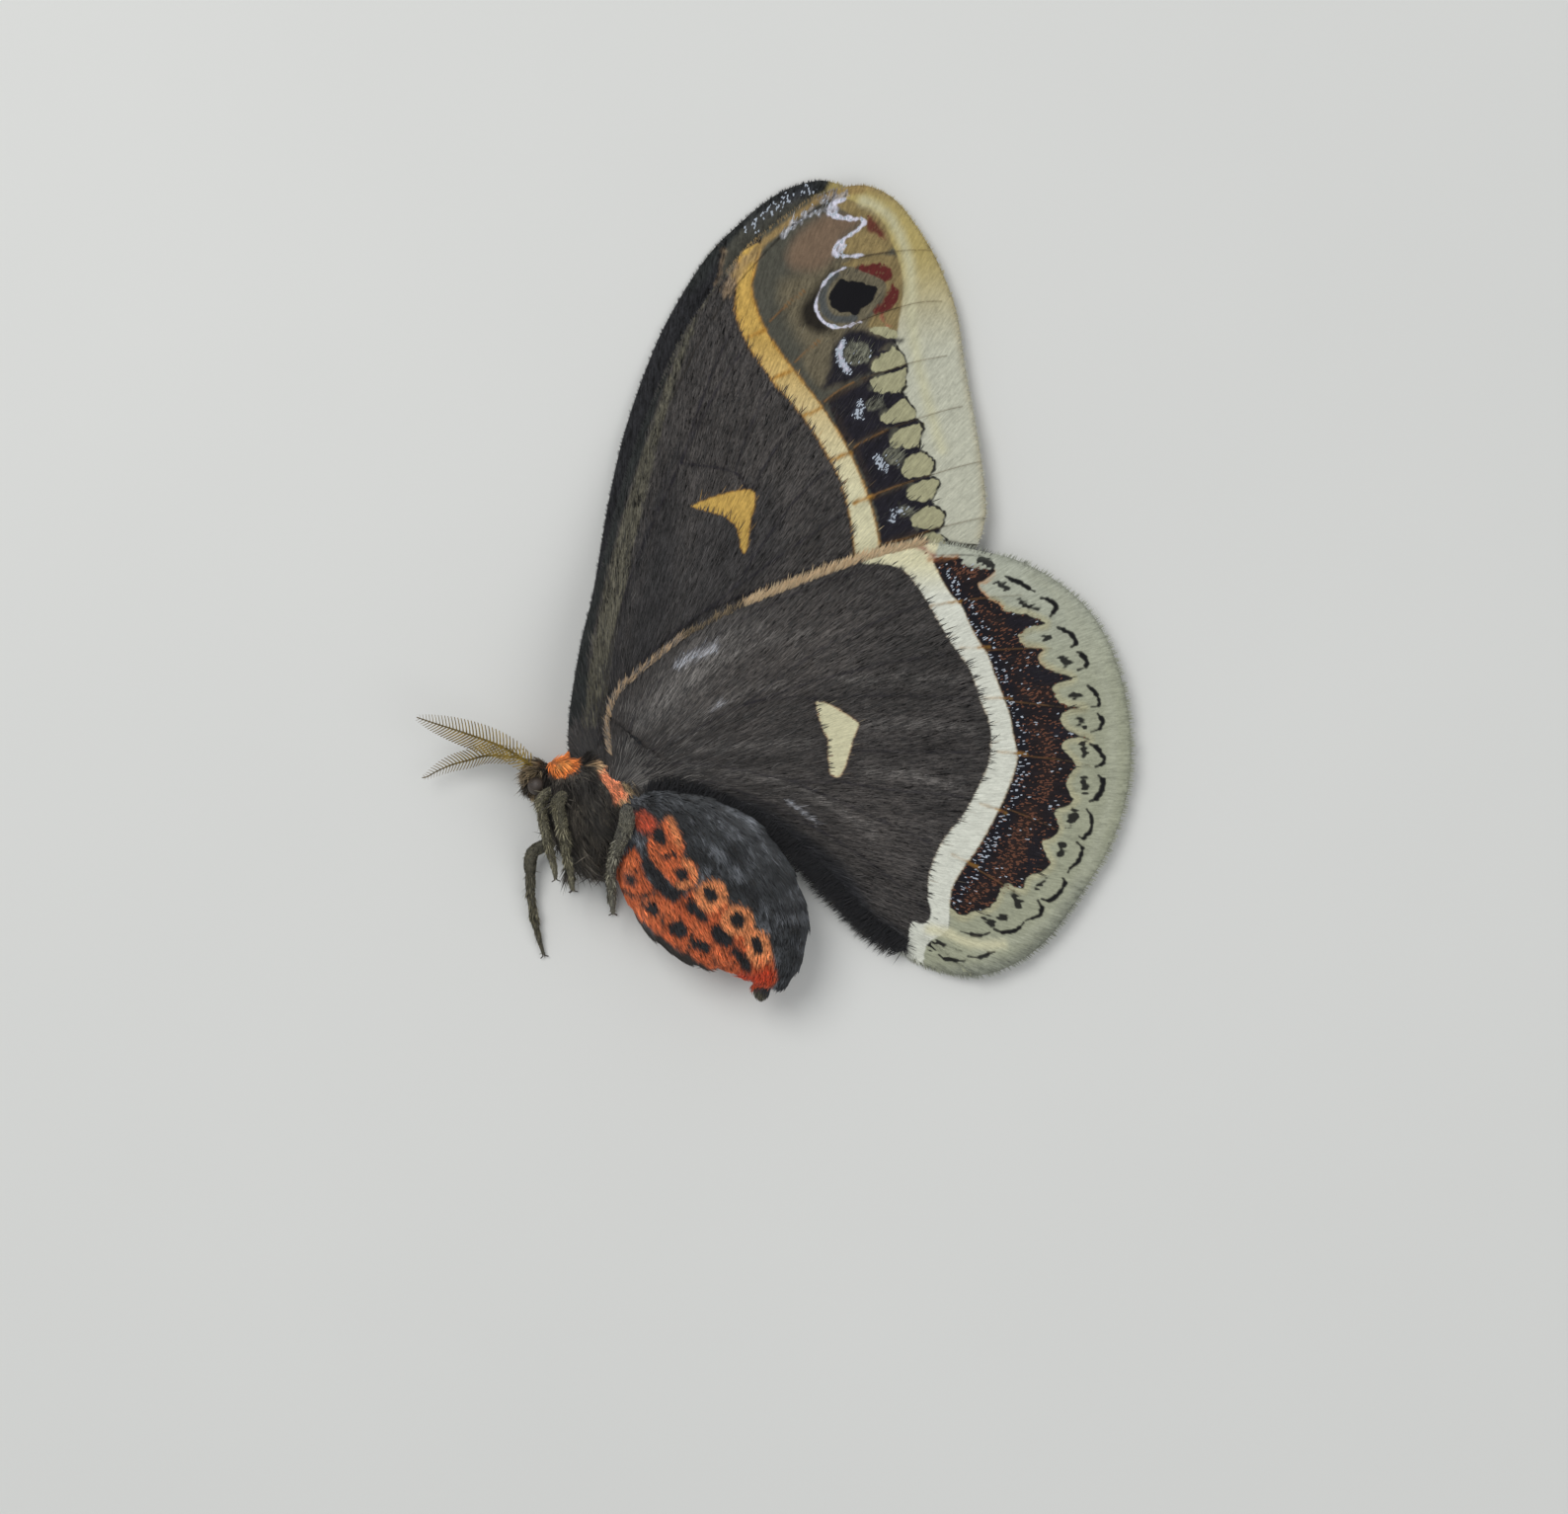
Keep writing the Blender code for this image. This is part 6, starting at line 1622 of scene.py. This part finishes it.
def along_curve(curve, per_mm, dice):
    """Random places along a line of points, and the line's direction at each."""
    length = np.hypot(*np.diff(curve, axis=0).T)
    at = dice.random(int(length.sum() * per_mm)) * length.sum()
    k = np.searchsorted(np.cumsum(length), at).clip(0, len(length) - 1)
    share = (at - (np.cumsum(length)[k] - length[k])) / length[k]
    return curve[k] + (curve[k + 1] - curve[k]) * share[:, None], unit(curve[k + 1] - curve[k])


def tinted(kinds, mixed):
    """A mix of two tints for each hair."""
    first, second = (np.array(linear(BODY_TINTS[kind])) for kind in kinds)
    return first * (1 - mixed) + second * mixed


def flat_rows(name, spots, aims, levels, size, tint):
    """Hair rows for hair that lies level over a wing."""
    roots = np.column_stack([laid(name, spots), levels])
    up = np.tile((0.0, 0.0, 1.0), (len(spots), 1))
    return roots, np.column_stack([aims, np.zeros(len(spots))]), up, size, tint, wing_map(spots)


def edge_hair(name, line, per_mm, depth, turn, sizes, kinds, seed, settings):
    """Hair along a line on a wing: roots scattered to one side, aimed by a turn from the line."""
    dice = np.random.default_rng(seed)
    spots, tangent = along_curve(smooth_curve(line, 6), per_mm, dice)
    count = len(spots)
    across = np.stack([-tangent[:, 1], tangent[:, 0]], 1)
    low, high = depth
    spots = spots + across * (low + (high - low) * dice.random(count))[:, None]
    aims = across * math.sin(math.radians(turn)) + tangent * math.cos(math.radians(turn))
    aims = unit(aims + dice.normal(0, 0.18, (count, 2)))
    size = np.array(sizes) * (0.7 + 0.6 * dice.random((count, 1)))
    tint = tinted(kinds, dice.random((count, 1))) * (0.75 + 0.5 * dice.random((count, 1)))
    return flat_rows(name, spots, aims, wing_top(name, spots, settings) + settings.sheet * 0.3, size, tint)


def wing_fringe(name, settings, seed):
    """Fine fringe scales out from a wing's rim, tinted like the rim beside them."""
    dice = np.random.default_rng(seed)
    curve = looped(smooth_curve(WINGS[name].outline, 8, closed=True))
    spots, tangent = along_curve(curve, settings.fringe, dice)
    count = len(spots)
    out = np.stack([tangent[:, 1], -tangent[:, 0]], 1)
    if inside(spots[:1] + out[:1] * 0.2, curve[:-1])[0]:
        out = -out
    spots = spots - out * (0.12 + 0.2 * dice.random((count, 1)))
    paint = shown_paint(name, spots - out * 0.3)[:, :3]
    aims = turned(name, unit(out + unit(spots - FAN_ROOT) * 0.9 + dice.normal(0, 0.1, (count, 2))))
    levels = wing_top(name, spots, settings) + (dice.random(count) - 0.5) * settings.sheet * 0.8
    long = HIND_FRINGE if name.startswith("hindwing") else FORE_FRINGE
    size = np.tile((long, 0.07, 0.02), (count, 1))
    return flat_rows(name, spots, aims, levels, size, paint * (0.8 + 0.35 * dice.random((count, 1))))


def nap_rows(name, spots, sizes, dice, settings, loose=0.16, tint=None):
    """Hair rows for hair that lies along a wing's fan, tinted like the wing below unless told."""
    count = len(spots)
    aims = unit(unit(spots - FAN_ROOT) + dice.normal(0, loose, (count, 2)))
    size = np.tile(sizes, (count, 1)) * (0.6 + 0.8 * dice.random((count, 1)))
    base = wing_top(name, spots, settings) + settings.sheet * 0.42
    tip = wing_top(name, spots + aims * 0.5, settings) + settings.sheet * 0.42
    if tint is None:
        tint = shown_paint(name, spots)[:, :3] * (0.4 + 1.9 * dice.random((count, 1)) ** 2.4)
    slope = np.clip((tip - base) / 0.5, -0.6, 0.6)
    flat = turned(name, aims)
    roots = np.column_stack([laid(name, spots), base])
    up = unit(np.column_stack([-flat * slope[:, None], np.ones(count)]))
    return roots, unit(np.column_stack([flat, slope])), up, size, tint, wing_map(spots)


def wing_nap(name, settings, seed):
    """Short flat hair over a wing's dark ground, along the fan."""
    dice = np.random.default_rng(seed)
    outline = smooth_curve(WINGS[name].outline, 6, closed=True)
    low, high = outline.min(0), outline.max(0)
    spots = low + (high - low) * dice.random((int(settings.nap * (high - low).prod()), 2))
    spots = spots[inside(spots, outline)]
    napped = dice.random(len(spots)) < shown_paint(name, spots)[:, 5] - 0.25
    spots = spots[napped & (to_line(spots, outline)[0] > 0.5)]
    return nap_rows(name, spots, NAP_SIZES, dice, settings)


def root_hair(name, places, kinds, seed, long, settings):
    """Long fine hair streaming from a wing's root, around plan places with their spread and count."""
    dice = np.random.default_rng(seed)
    spots = [np.array(place) + dice.normal(0, spread, (count, 2)) for place, spread, count in places]
    spots = np.concatenate(spots)
    spots = spots[inside(spots, smooth_curve(WINGS[name].outline, 6, closed=True))]
    tint = tinted(kinds, dice.random((len(spots), 1)) ** 1.5)
    tint = tint * (0.7 + 0.6 * dice.random((len(spots), 1)))
    return nap_rows(name, spots, (long, 0.055, 0.05), dice, settings, 0.1, tint)


# Hair along edges of the wings: the wing and the line, hairs for each millimetre, how far aside they start,
# their turn from the line in degrees, their length, width and lift, two tints, and the seed.
INNER_EDGE = HINDWING_OUTLINE[22:29]
EDGE_HAIR = (
    ("hindwing_left", INNER_EDGE, 80, (-1.3, 0.0), 70, (1.2, 0.07, 0.16), ("black", "dusk"), 51),
    ("hindwing_left", INNER_EDGE, 30, (-0.5, 0.1), 70, (1.3, 0.07, 0.02), ("black", "edge"), 52),
    ("hindwing_right", INNER_EDGE, 40, (-0.8, 0.1), 70, (1.1, 0.07, 0.1), ("black", "edge"), 53),
    ("hindwing_left", HINDWING_OUTLINE[5:9], 60, (-0.5, 0.05), 42, (0.85, 0.065, 0.1),
        ("pale tan", "light tan"), 54),
    ("hindwing_left", HINDWING_OUTLINE[4:6], 30, (-0.4, 0.05), 42, (0.6, 0.06, 0.08), ("wing root", "tan"),
        55),
    ("hindwing_left", HINDWING_OUTLINE[:5], 30, (-0.4, 0.0), 24, (0.8, 0.06, 0.08), ("pale tan", "ash"),
        58),
)
# Long hair at the wing roots: the wing, places with their spread and count, two tints, the seed and the
# length.
ROOT_HAIR = (
    ("hindwing_left", [((-13.4, -17.2), 0.7, 260), ((-12.0, -17.0), 1.2, 360), ((-9.6, -15.4), 2.2, 360)],
     ("dusk", "ash"), 56, 1.2),
    ("hindwing_left", [((-12.8, -18.2), 0.6, 260), ((-11.0, -18.4), 0.9, 200)], ("wing root", "ash"),
        50, 2.0),
    ("hindwing_left", [((-13.4, -14.6), 0.5, 110), ((-12.4, -12.0), 0.8, 110), ((-9.6, -9.0), 1.4, 160)],
     ("dusk", "ash"), 59, 0.9),
    ("forewing_left", [((-16.6, -14.4), 0.7, 220), ((-16.0, -12.0), 0.9, 200), ((-15.0, -8.0), 1.4, 150)],
     ("dusk", "wing root"), 57, 1.0),
)

# Antennae: points of each shaft, then the upper and the lower row: tilt out of the plane, lean off the
# shaft and longest branch.
ANTENNAE = {
    "antenna_left": (
        [(-21.1, -16.5, 4.9), (-21.6, -16.2, 5.2), (-22.6, -15.6, 5.5), (-23.5, -14.9, 5.8),
            (-25.3, -14.0, 6.0), (-27.2, -13.3, 6.0),
         (-29.0, -12.7, 5.9), (-30.9, -12.1, 5.7), (-32.4, -11.6, 5.5)],
        (-38.0, 58.0, 1.95), (12.0, 70.0, 1.45),
    ),
    "antenna_right": (
        [(-21.2, -16.5, 3.1), (-21.6, -16.2, 2.9), (-22.9, -15.4, 2.8), (-25.0, -15.1, 2.6),
            (-26.5, -15.1, 2.5), (-28.0, -15.5, 2.4),
         (-29.5, -15.9, 2.3), (-30.9, -16.5, 2.2), (-31.8, -17.0, 2.1), (-32.3, -17.1, 2.0)],
        (-36.0, 60.0, 1.15), (-36.0, 64.0, 1.65),
    ),
}
BRANCH_SIDES = 4


def antenna_tree():
    """A shaft swept along a line, with tapered branches set evenly down one side, longest in the middle."""
    tree, given = new_tree("feathered antenna", (
        ("Finish", "Material", None), ("Branch", "Object", None), ("Shaft radius", "Float", 0.12 * MM),
        ("Branch spacing", "Float", 0.31 * MM), ("Longest branch", "Float", 2.1 * MM),
        ("Tilt", "Float", 0.0),
        ("Side", "Float", 1.0), ("Lean", "Float", math.radians(58.0)),
    ))
    line = result(tree, "GeometryNodeMeshToCurve", {"Mesh": given["Geometry"]})
    even = {"Curve": line, "Length": given["Branch spacing"]}
    fine = result(tree, "GeometryNodeResampleCurve", even, mode="LENGTH")
    share = result(tree, "GeometryNodeSplineParameter", output="Factor")
    taper = maths(tree, "SUBTRACT", 1.15, maths(tree, "MULTIPLY", share, 0.75))
    shaft = result(tree, "GeometryNodeSetCurveRadius", {"Curve": line, "Radius": taper})
    circle = {"Resolution": 8, "Radius": given["Shaft radius"]}
    circle = result(tree, "GeometryNodeCurvePrimitiveCircle", circle)
    swept = node(tree, "GeometryNodeCurveToMesh", {"Curve": shaft, "Profile Curve": circle,
        "Fill Caps": True})
    if "Scale" in swept.inputs:
        tree.links.new(taper, swept.inputs["Scale"])
    over = (0.0, 0.0, 1.0)
    along = result(tree, "GeometryNodeInputTangent")
    across = vectors(tree, "NORMALIZE", vectors(tree, "CROSS_PRODUCT", along, over))
    to_side = maths(tree, "MULTIPLY", given["Side"], maths(tree, "COSINE", given["Tilt"]))
    high = scaled(tree, over, maths(tree, "SINE", given["Tilt"]))
    out = vectors(tree, "ADD", scaled(tree, across, to_side), high)
    ahead = scaled(tree, along, maths(tree, "COSINE", given["Lean"]))
    aim = vectors(tree, "ADD", ahead, scaled(tree, out, maths(tree, "SINE", given["Lean"])))
    half_turn = maths(tree, "ADD", maths(tree, "MULTIPLY", share, 0.84), 0.13)
    bulge = maths(tree, "SINE", maths(tree, "MULTIPLY", half_turn, math.pi))
    bulge = maths(tree, "POWER", maths(tree, "MAXIMUM", bulge, 0.02), 0.75)
    length = maths(tree, "MULTIPLY", given["Longest branch"], bulge)
    size = result(tree, "ShaderNodeCombineXYZ", {0: length, 1: length, 2: length})
    turn = {0: aim, 1: along}
    turn = result(tree, "FunctionNodeAxesToRotation", turn, primary_axis="X", secondary_axis="Y")
    kept = node(tree, "GeometryNodeCaptureAttribute", {"Geometry": fine})
    for kind, label in (("ROTATION", "turn"), ("VECTOR", "size"), ("FLOAT", "share")):
        kept.capture_items.new(kind, label)
    for number, source in enumerate((turn, size, share)):
        tree.links.new(source, kept.inputs[number + 1])
    points = result(tree, "GeometryNodeCurveToPoints", {"Curve": kept.outputs[0]}, mode="EVALUATED")
    from_middle = maths(tree, "ABSOLUTE", maths(tree, "SUBTRACT", kept.outputs[3], 0.54))
    rows = result(tree, "GeometryNodeInstanceOnPoints", {
        "Points": points, "Selection": maths(tree, "LESS_THAN", from_middle, 0.44),
        "Instance": result(tree, "GeometryNodeObjectInfo", {"Object": given["Branch"]}, "Geometry"),
        "Rotation": kept.outputs[1], "Scale": kept.outputs[2],
    })
    both = node(tree, "GeometryNodeJoinGeometry")
    tree.links.new(rows, both.inputs[0])
    tree.links.new(swept.outputs[0], both.inputs[0])
    real = result(tree, "GeometryNodeRealizeInstances", {"Geometry": both.outputs[0]})
    return end_tree(tree, real, given["Finish"])


def branch_template():
    """A branch one unit long, bowed and tapered to a bristle."""
    steps = np.linspace(0, 1, 6)
    line = np.column_stack([steps, 0.12 * steps ** 2, -0.05 * steps ** 2])
    radius = 0.05 * (1 - 0.35 * steps)
    angle = np.arange(BRANCH_SIDES) * 2 * math.pi / BRANCH_SIDES
    ring = np.stack([np.zeros(BRANCH_SIDES), np.cos(angle), np.sin(angle)], 1)
    points = (line[:, None] + ring[None] * radius[:, None, None]).reshape(-1, 3)
    faces = ring_faces(len(line), BRANCH_SIDES)
    faces.append(list(range(BRANCH_SIDES))[::-1])
    faces.append([len(points) - BRANCH_SIDES + s for s in range(BRANCH_SIDES)])
    return mesh_from("branch_template", points / MM, faces)


def antenna(name, tree, branch, material, settings):
    """A feathered antenna: its shaft with a row of branches down each side."""
    stations, *both = ANTENNAE[name]
    line = smooth_curve(stations, 6)
    steps = np.column_stack([np.arange(len(line) - 1), np.arange(1, len(line))])
    work = bmesh.new()
    for side, (tilt, lean, longest) in zip((-1.0, 1.0), both):
        guide = mesh_from(name + "_line", line, [])
        guide.data.edges.add(len(steps))
        guide.data.edges.foreach_set("vertices", steps.ravel())
        grown(guide, tree, {
            "Finish": material, "Branch": branch, "Side": side, "Tilt": math.radians(tilt),
            "Lean": math.radians(lean), "Longest branch": longest * MM * settings.branch_share,
            "Branch spacing": settings.branch_spacing,
        })
        work.from_mesh(guide.data)
        slots = list(guide.data.materials)
        bpy.data.objects.remove(guide)
    mesh = bpy.data.meshes.new(name + "_feathered")
    work.to_mesh(mesh)
    work.free()
    for slot in slots:
        mesh.materials.append(slot)
    mesh.shade_smooth()
    return new_object(mesh.name, mesh)


# The stage, in metres and watts: the floor's side, the sky, and each light's name, place, size and power.
FLOOR_SIZE = 1.6
SKY = (0.93, 0.96, 1.0, 1.0)
SKY_STRENGTH = 0.45
LIGHTS = (("key", (-0.22, 0.20, 0.48), 0.35, 1.65), ("fill", (0.30, -0.16, 0.42), 0.45, 0.62))
LIT_PLACE = (0.0, -0.015, 0.0)


class WingSettings(bpy.types.PropertyGroup):
    """Sizes of the wing sheets, in millimetres."""

    sheet: FloatProperty(
        name="Sheet", description="Thickness of a wing's sheet", default=0.16, min=0.05, max=0.4)
    vein_height: FloatProperty(
        name="Vein height", description="Height of the veins over the sheet", default=0.13, min=0.0,
        max=0.3)
    vein_width: FloatProperty(
        name="Vein width", description="Half width of a vein's ridge", default=0.15, min=0.05, max=0.6)
    pleat_height: FloatProperty(
        name="Pleat height", description="Depth of the soft pleats between veins", default=0.3, min=0.0,
        max=1.0)
    fold_height: FloatProperty(
        name="Fold height", description="Height of the fold along the hindwing's inner edge",
        default=0.35, min=0.0, max=0.8)
    fringe: FloatProperty(
        name="Fringe", description="Fringe hairs for each millimetre of a wing's edge",
        default=17.0, min=1.0, max=30.0)
    nap: FloatProperty(
        name="Nap", description="Flat hairs for each square millimetre of a wing", default=14.0, min=0.0,
        max=20.0)


class CoatSettings(bpy.types.PropertyGroup):
    """Sizes of the body's skin and coat."""

    density: FloatProperty(
        name="Density", description="Share of the full number of hairs",
        default=1.0, min=0.1, max=1.5, subtype="FACTOR")
    skin_cell: FloatProperty(
        name="Skin cell", description="Size of the skin's faces in millimetres", default=0.2, min=0.1,
        max=0.6)
    eye_colour: FloatVectorProperty(
        name="Eye colour", description="Colour of the eyes", default=linear("#4a4038"),
        size=3, subtype="COLOR", min=0.0, max=1.0)


class AntennaSettings(bpy.types.PropertyGroup):
    """Sizes of the feathered antennae."""

    branch_share: FloatProperty(
        name="Branch length", description="Length of the branches as a share of their full length",
        default=1.0, min=0.3, max=1.5, subtype="FACTOR")
    branch_spacing: FloatProperty(
        name="Branch spacing", description="Distance between branches",
        default=0.32 * MM, min=0.0001, max=0.001, unit="LENGTH")


class StageSettings(bpy.types.PropertyGroup):
    """The floor, the light and the camera."""

    floor_colour: FloatVectorProperty(
        name="Floor colour", description="Colour of the floor", default=linear("#d9d9d5"),
        size=3, subtype="COLOR", min=0.0, max=1.0)
    camera_height: FloatProperty(
        name="Camera height", description="Height of the camera over the floor",
        default=0.3, min=0.1, max=1.0, unit="LENGTH")
    lens: FloatProperty(
        name="Lens", description="Focal length of the camera in millimetres", default=74.58, min=20.0,
        max=200.0)


class SILKMOTH_OT_wings(bpy.types.Operator):
    """Make the four scaled wings"""

    bl_idname = "silkmoth.wings"
    bl_label = "Wings"

    def execute(self, context):
        material = wing_scales_material()
        for name in WINGS:
            finish_piece(wing(name, context.scene.silkmoth_wings), material, "wing_scales", name)
        return {"FINISHED"}


class SILKMOTH_OT_body(bpy.types.Operator):
    """Make the skin of the body and legs, and its hair coat"""

    bl_idname = "silkmoth.body"
    bl_label = "Body"

    def execute(self, context):
        settings = context.scene.silkmoth_coat
        skin = body_skin(settings)
        samples = skin_samples(skin)
        put_attribute(skin.data, "tint", skin_tint(samples))
        finish_piece(skin, skin_material(), "body_hair", *REGIONS)
        coat = {region: region_hair(samples, region, settings) for region in REGIONS}
        material = hair_material("fine insect hair")
        for name, slot, regions in (
            ("thorax_coat", "body_hair", ("thorax", "head", "abdomen_tip")), ("leg_coat", "leg_hair", LEGS),
        ):
            rows = gathered([coat[region] for region in regions])
            finish_piece(hair(name, rows, material, 7), None, slot)
        upper = coat["abdomen"][0][:, 2] > ABDOMEN_LEVEL
        for name, some in (("abdomen_coat_left", upper), ("abdomen_coat_right", ~upper)):
            rows = [values[some] for values in coat["abdomen"]]
            finish_piece(hair(name, rows, material, 9), None, "abdomen_hair")
        return {"FINISHED"}


class SILKMOTH_OT_eyes(bpy.types.Operator):
    """Make the two eyes"""

    bl_idname = "silkmoth.eyes"
    bl_label = "Eyes"

    def execute(self, context):
        middles = [np.sum(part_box(node_name), axis=0) / 2 / MM for node_name in EYES]
        balls = [ball(middle, EYE_RADIUS, 40, 26) for middle in middles]
        domes = mesh_from("eye_domes", *joined(balls), smooth=True)
        finish_piece(domes, eye_material(context.scene.silkmoth_coat.eye_colour), "eye", *EYES)
        return {"FINISHED"}


class SILKMOTH_OT_claws(bpy.types.Operator):
    """Make the two claws at the end of each leg"""

    bl_idname = "silkmoth.claws"
    bl_label = "Claws"

    def execute(self, context):
        hooks = []
        for stations in LEGS.values():
            end, before = (np.array(stations[k][:3]) for k in (-1, -2))
            along = unit(end - before)
            across = unit(np.cross(along, (0.0, 0.0, 1.0)))
            for side in (-1, 1):
                bend = [
                    end + along * 0.05 + across * side * 0.08,
                    end + (along + across * side * 0.5) * CLAW_LENGTH * 0.5,
                    end + (along * 0.8 + across * side * 0.75) * CLAW_LENGTH - (0, 0, 0.1),
                ]
                line = smooth_curve(np.column_stack([bend, CLAW_RADII]), 4)
                line[:, 2] = np.maximum(line[:, 2], line[:, 3] + 0.02)
                hooks.append(tube(line, 1, 6))
        claws = mesh_from("claws", *joined(hooks), smooth=True)
        horn, _ = new_material("claw horn", Roughness=0.35, IOR=1.55, Base_Color=opaque("#2b2119"))
        finish_piece(claws, horn, "leg_hair")
        return {"FINISHED"}


class SILKMOTH_OT_wing_hair(bpy.types.Operator):
    """Make the hair and the fringes of the wings"""

    bl_idname = "silkmoth.wing_hair"
    bl_label = "Wing hair"

    def execute(self, context):
        settings = context.scene.silkmoth_wings
        material = hair_material("wing hair")
        rows = gathered([wing_fringe(name, settings, 40 + k) for k, name in enumerate(WINGS)])
        finish_piece(hair("wing_fringe", rows, material, 11), None, "wing_scales")
        for k, name in enumerate(("forewing_left", "hindwing_left")):
            rows = wing_nap(name, settings, 60 + k)
            finish_piece(hair(name + "_nap", rows, material, 13), None, "wing_scales")
        rows = [edge_hair(*row, settings) for row in EDGE_HAIR]
        rows += [root_hair(*row, settings) for row in ROOT_HAIR]
        finish_piece(hair("wing_hair", gathered(rows), material, 12), None, "wing_scales")
        return {"FINISHED"}


class SILKMOTH_OT_antennae(bpy.types.Operator):
    """Make the two feathered antennae"""

    bl_idname = "silkmoth.antennae"
    bl_label = "Antennae"

    def execute(self, context):
        tree = antenna_tree()
        branch = branch_template()
        material = antenna_material()
        for name in ANTENNAE:
            piece = antenna(name, tree, branch, material, context.scene.silkmoth_antennae)
            finish_piece(piece, None, "antenna", name)
        bpy.data.objects.remove(branch)
        return {"FINISHED"}


class SILKMOTH_OT_stage(bpy.types.Operator):
    """Make the floor, the light and the camera"""

    bl_idname = "silkmoth.stage"
    bl_label = "Stage"

    def execute(self, context):
        settings = context.scene.silkmoth_stage
        scene = context.scene
        bpy.ops.mesh.primitive_plane_add(size=FLOOR_SIZE)
        floor = context.object
        floor.name = "floor"
        floor.data.materials.append(board_material(settings.floor_colour))
        world = bpy.data.worlds.new("studio")
        world.use_nodes = True
        sky = world.node_tree.nodes["Background"].inputs
        sky["Color"].default_value = SKY
        sky["Strength"].default_value = SKY_STRENGTH
        scene.world = world
        for name, at, size, power in LIGHTS:
            data = bpy.data.lights.new(name, "AREA")
            data.shape = "DISK"
            data.size = size
            data.energy = power
            light = new_object(name, data)
            light.location = at
            light.rotation_euler = (Vector(LIT_PLACE) - Vector(at)).to_track_quat("-Z", "Y").to_euler()
        lens = bpy.data.cameras.new("photo view")
        lens.lens = settings.lens
        lens.sensor_width = 36.0
        lens.clip_start = 0.01
        camera = new_object("photo view", lens)
        camera.location = (0.9 * MM, -15.2 * MM, settings.camera_height)
        scene.camera = camera
        scene.view_settings.view_transform = "Standard"
        return {"FINISHED"}


class SILKMOTH_PT_panel(bpy.types.Panel):
    """Lists the steps that dress the silkmoth"""

    bl_idname = "SILKMOTH_PT_panel"
    bl_label = "Silkmoth"
    bl_space_type = "VIEW_3D"
    bl_region_type = "UI"
    bl_category = "Silkmoth"

    def draw(self, context):
        for step in STEPS:
            self.layout.operator(step.bl_idname)
        for name in GROUPS:
            settings = getattr(context.scene, name)
            for key in settings.__annotations__:
                self.layout.prop(settings, key)


STEPS = (
    SILKMOTH_OT_stage, SILKMOTH_OT_wings, SILKMOTH_OT_body, SILKMOTH_OT_eyes, SILKMOTH_OT_claws,
    SILKMOTH_OT_wing_hair, SILKMOTH_OT_antennae,
)
GROUPS = {
    "silkmoth_wings": WingSettings, "silkmoth_coat": CoatSettings,
    "silkmoth_antennae": AntennaSettings, "silkmoth_stage": StageSettings,
}


def register():
    """Makes the settings, the steps and the panel known."""
    for made in (*GROUPS.values(), *STEPS, SILKMOTH_PT_panel):
        bpy.utils.register_class(made)
    for name, group in GROUPS.items():
        setattr(bpy.types.Scene, name, PointerProperty(type=group))


def unregister():
    """Takes them away again."""
    for name in GROUPS:
        delattr(bpy.types.Scene, name)
    for made in (SILKMOTH_PT_panel, *reversed(STEPS), *reversed(GROUPS.values())):
        bpy.utils.unregister_class(made)


def main():
    """Makes everything, in order."""
    register()
    bpy.ops.silkmoth.stage()
    bpy.ops.silkmoth.wings()
    bpy.ops.silkmoth.body()
    bpy.ops.silkmoth.eyes()
    bpy.ops.silkmoth.claws()
    bpy.ops.silkmoth.wing_hair()
    bpy.ops.silkmoth.antennae()


if __name__ == "__main__":
    main()
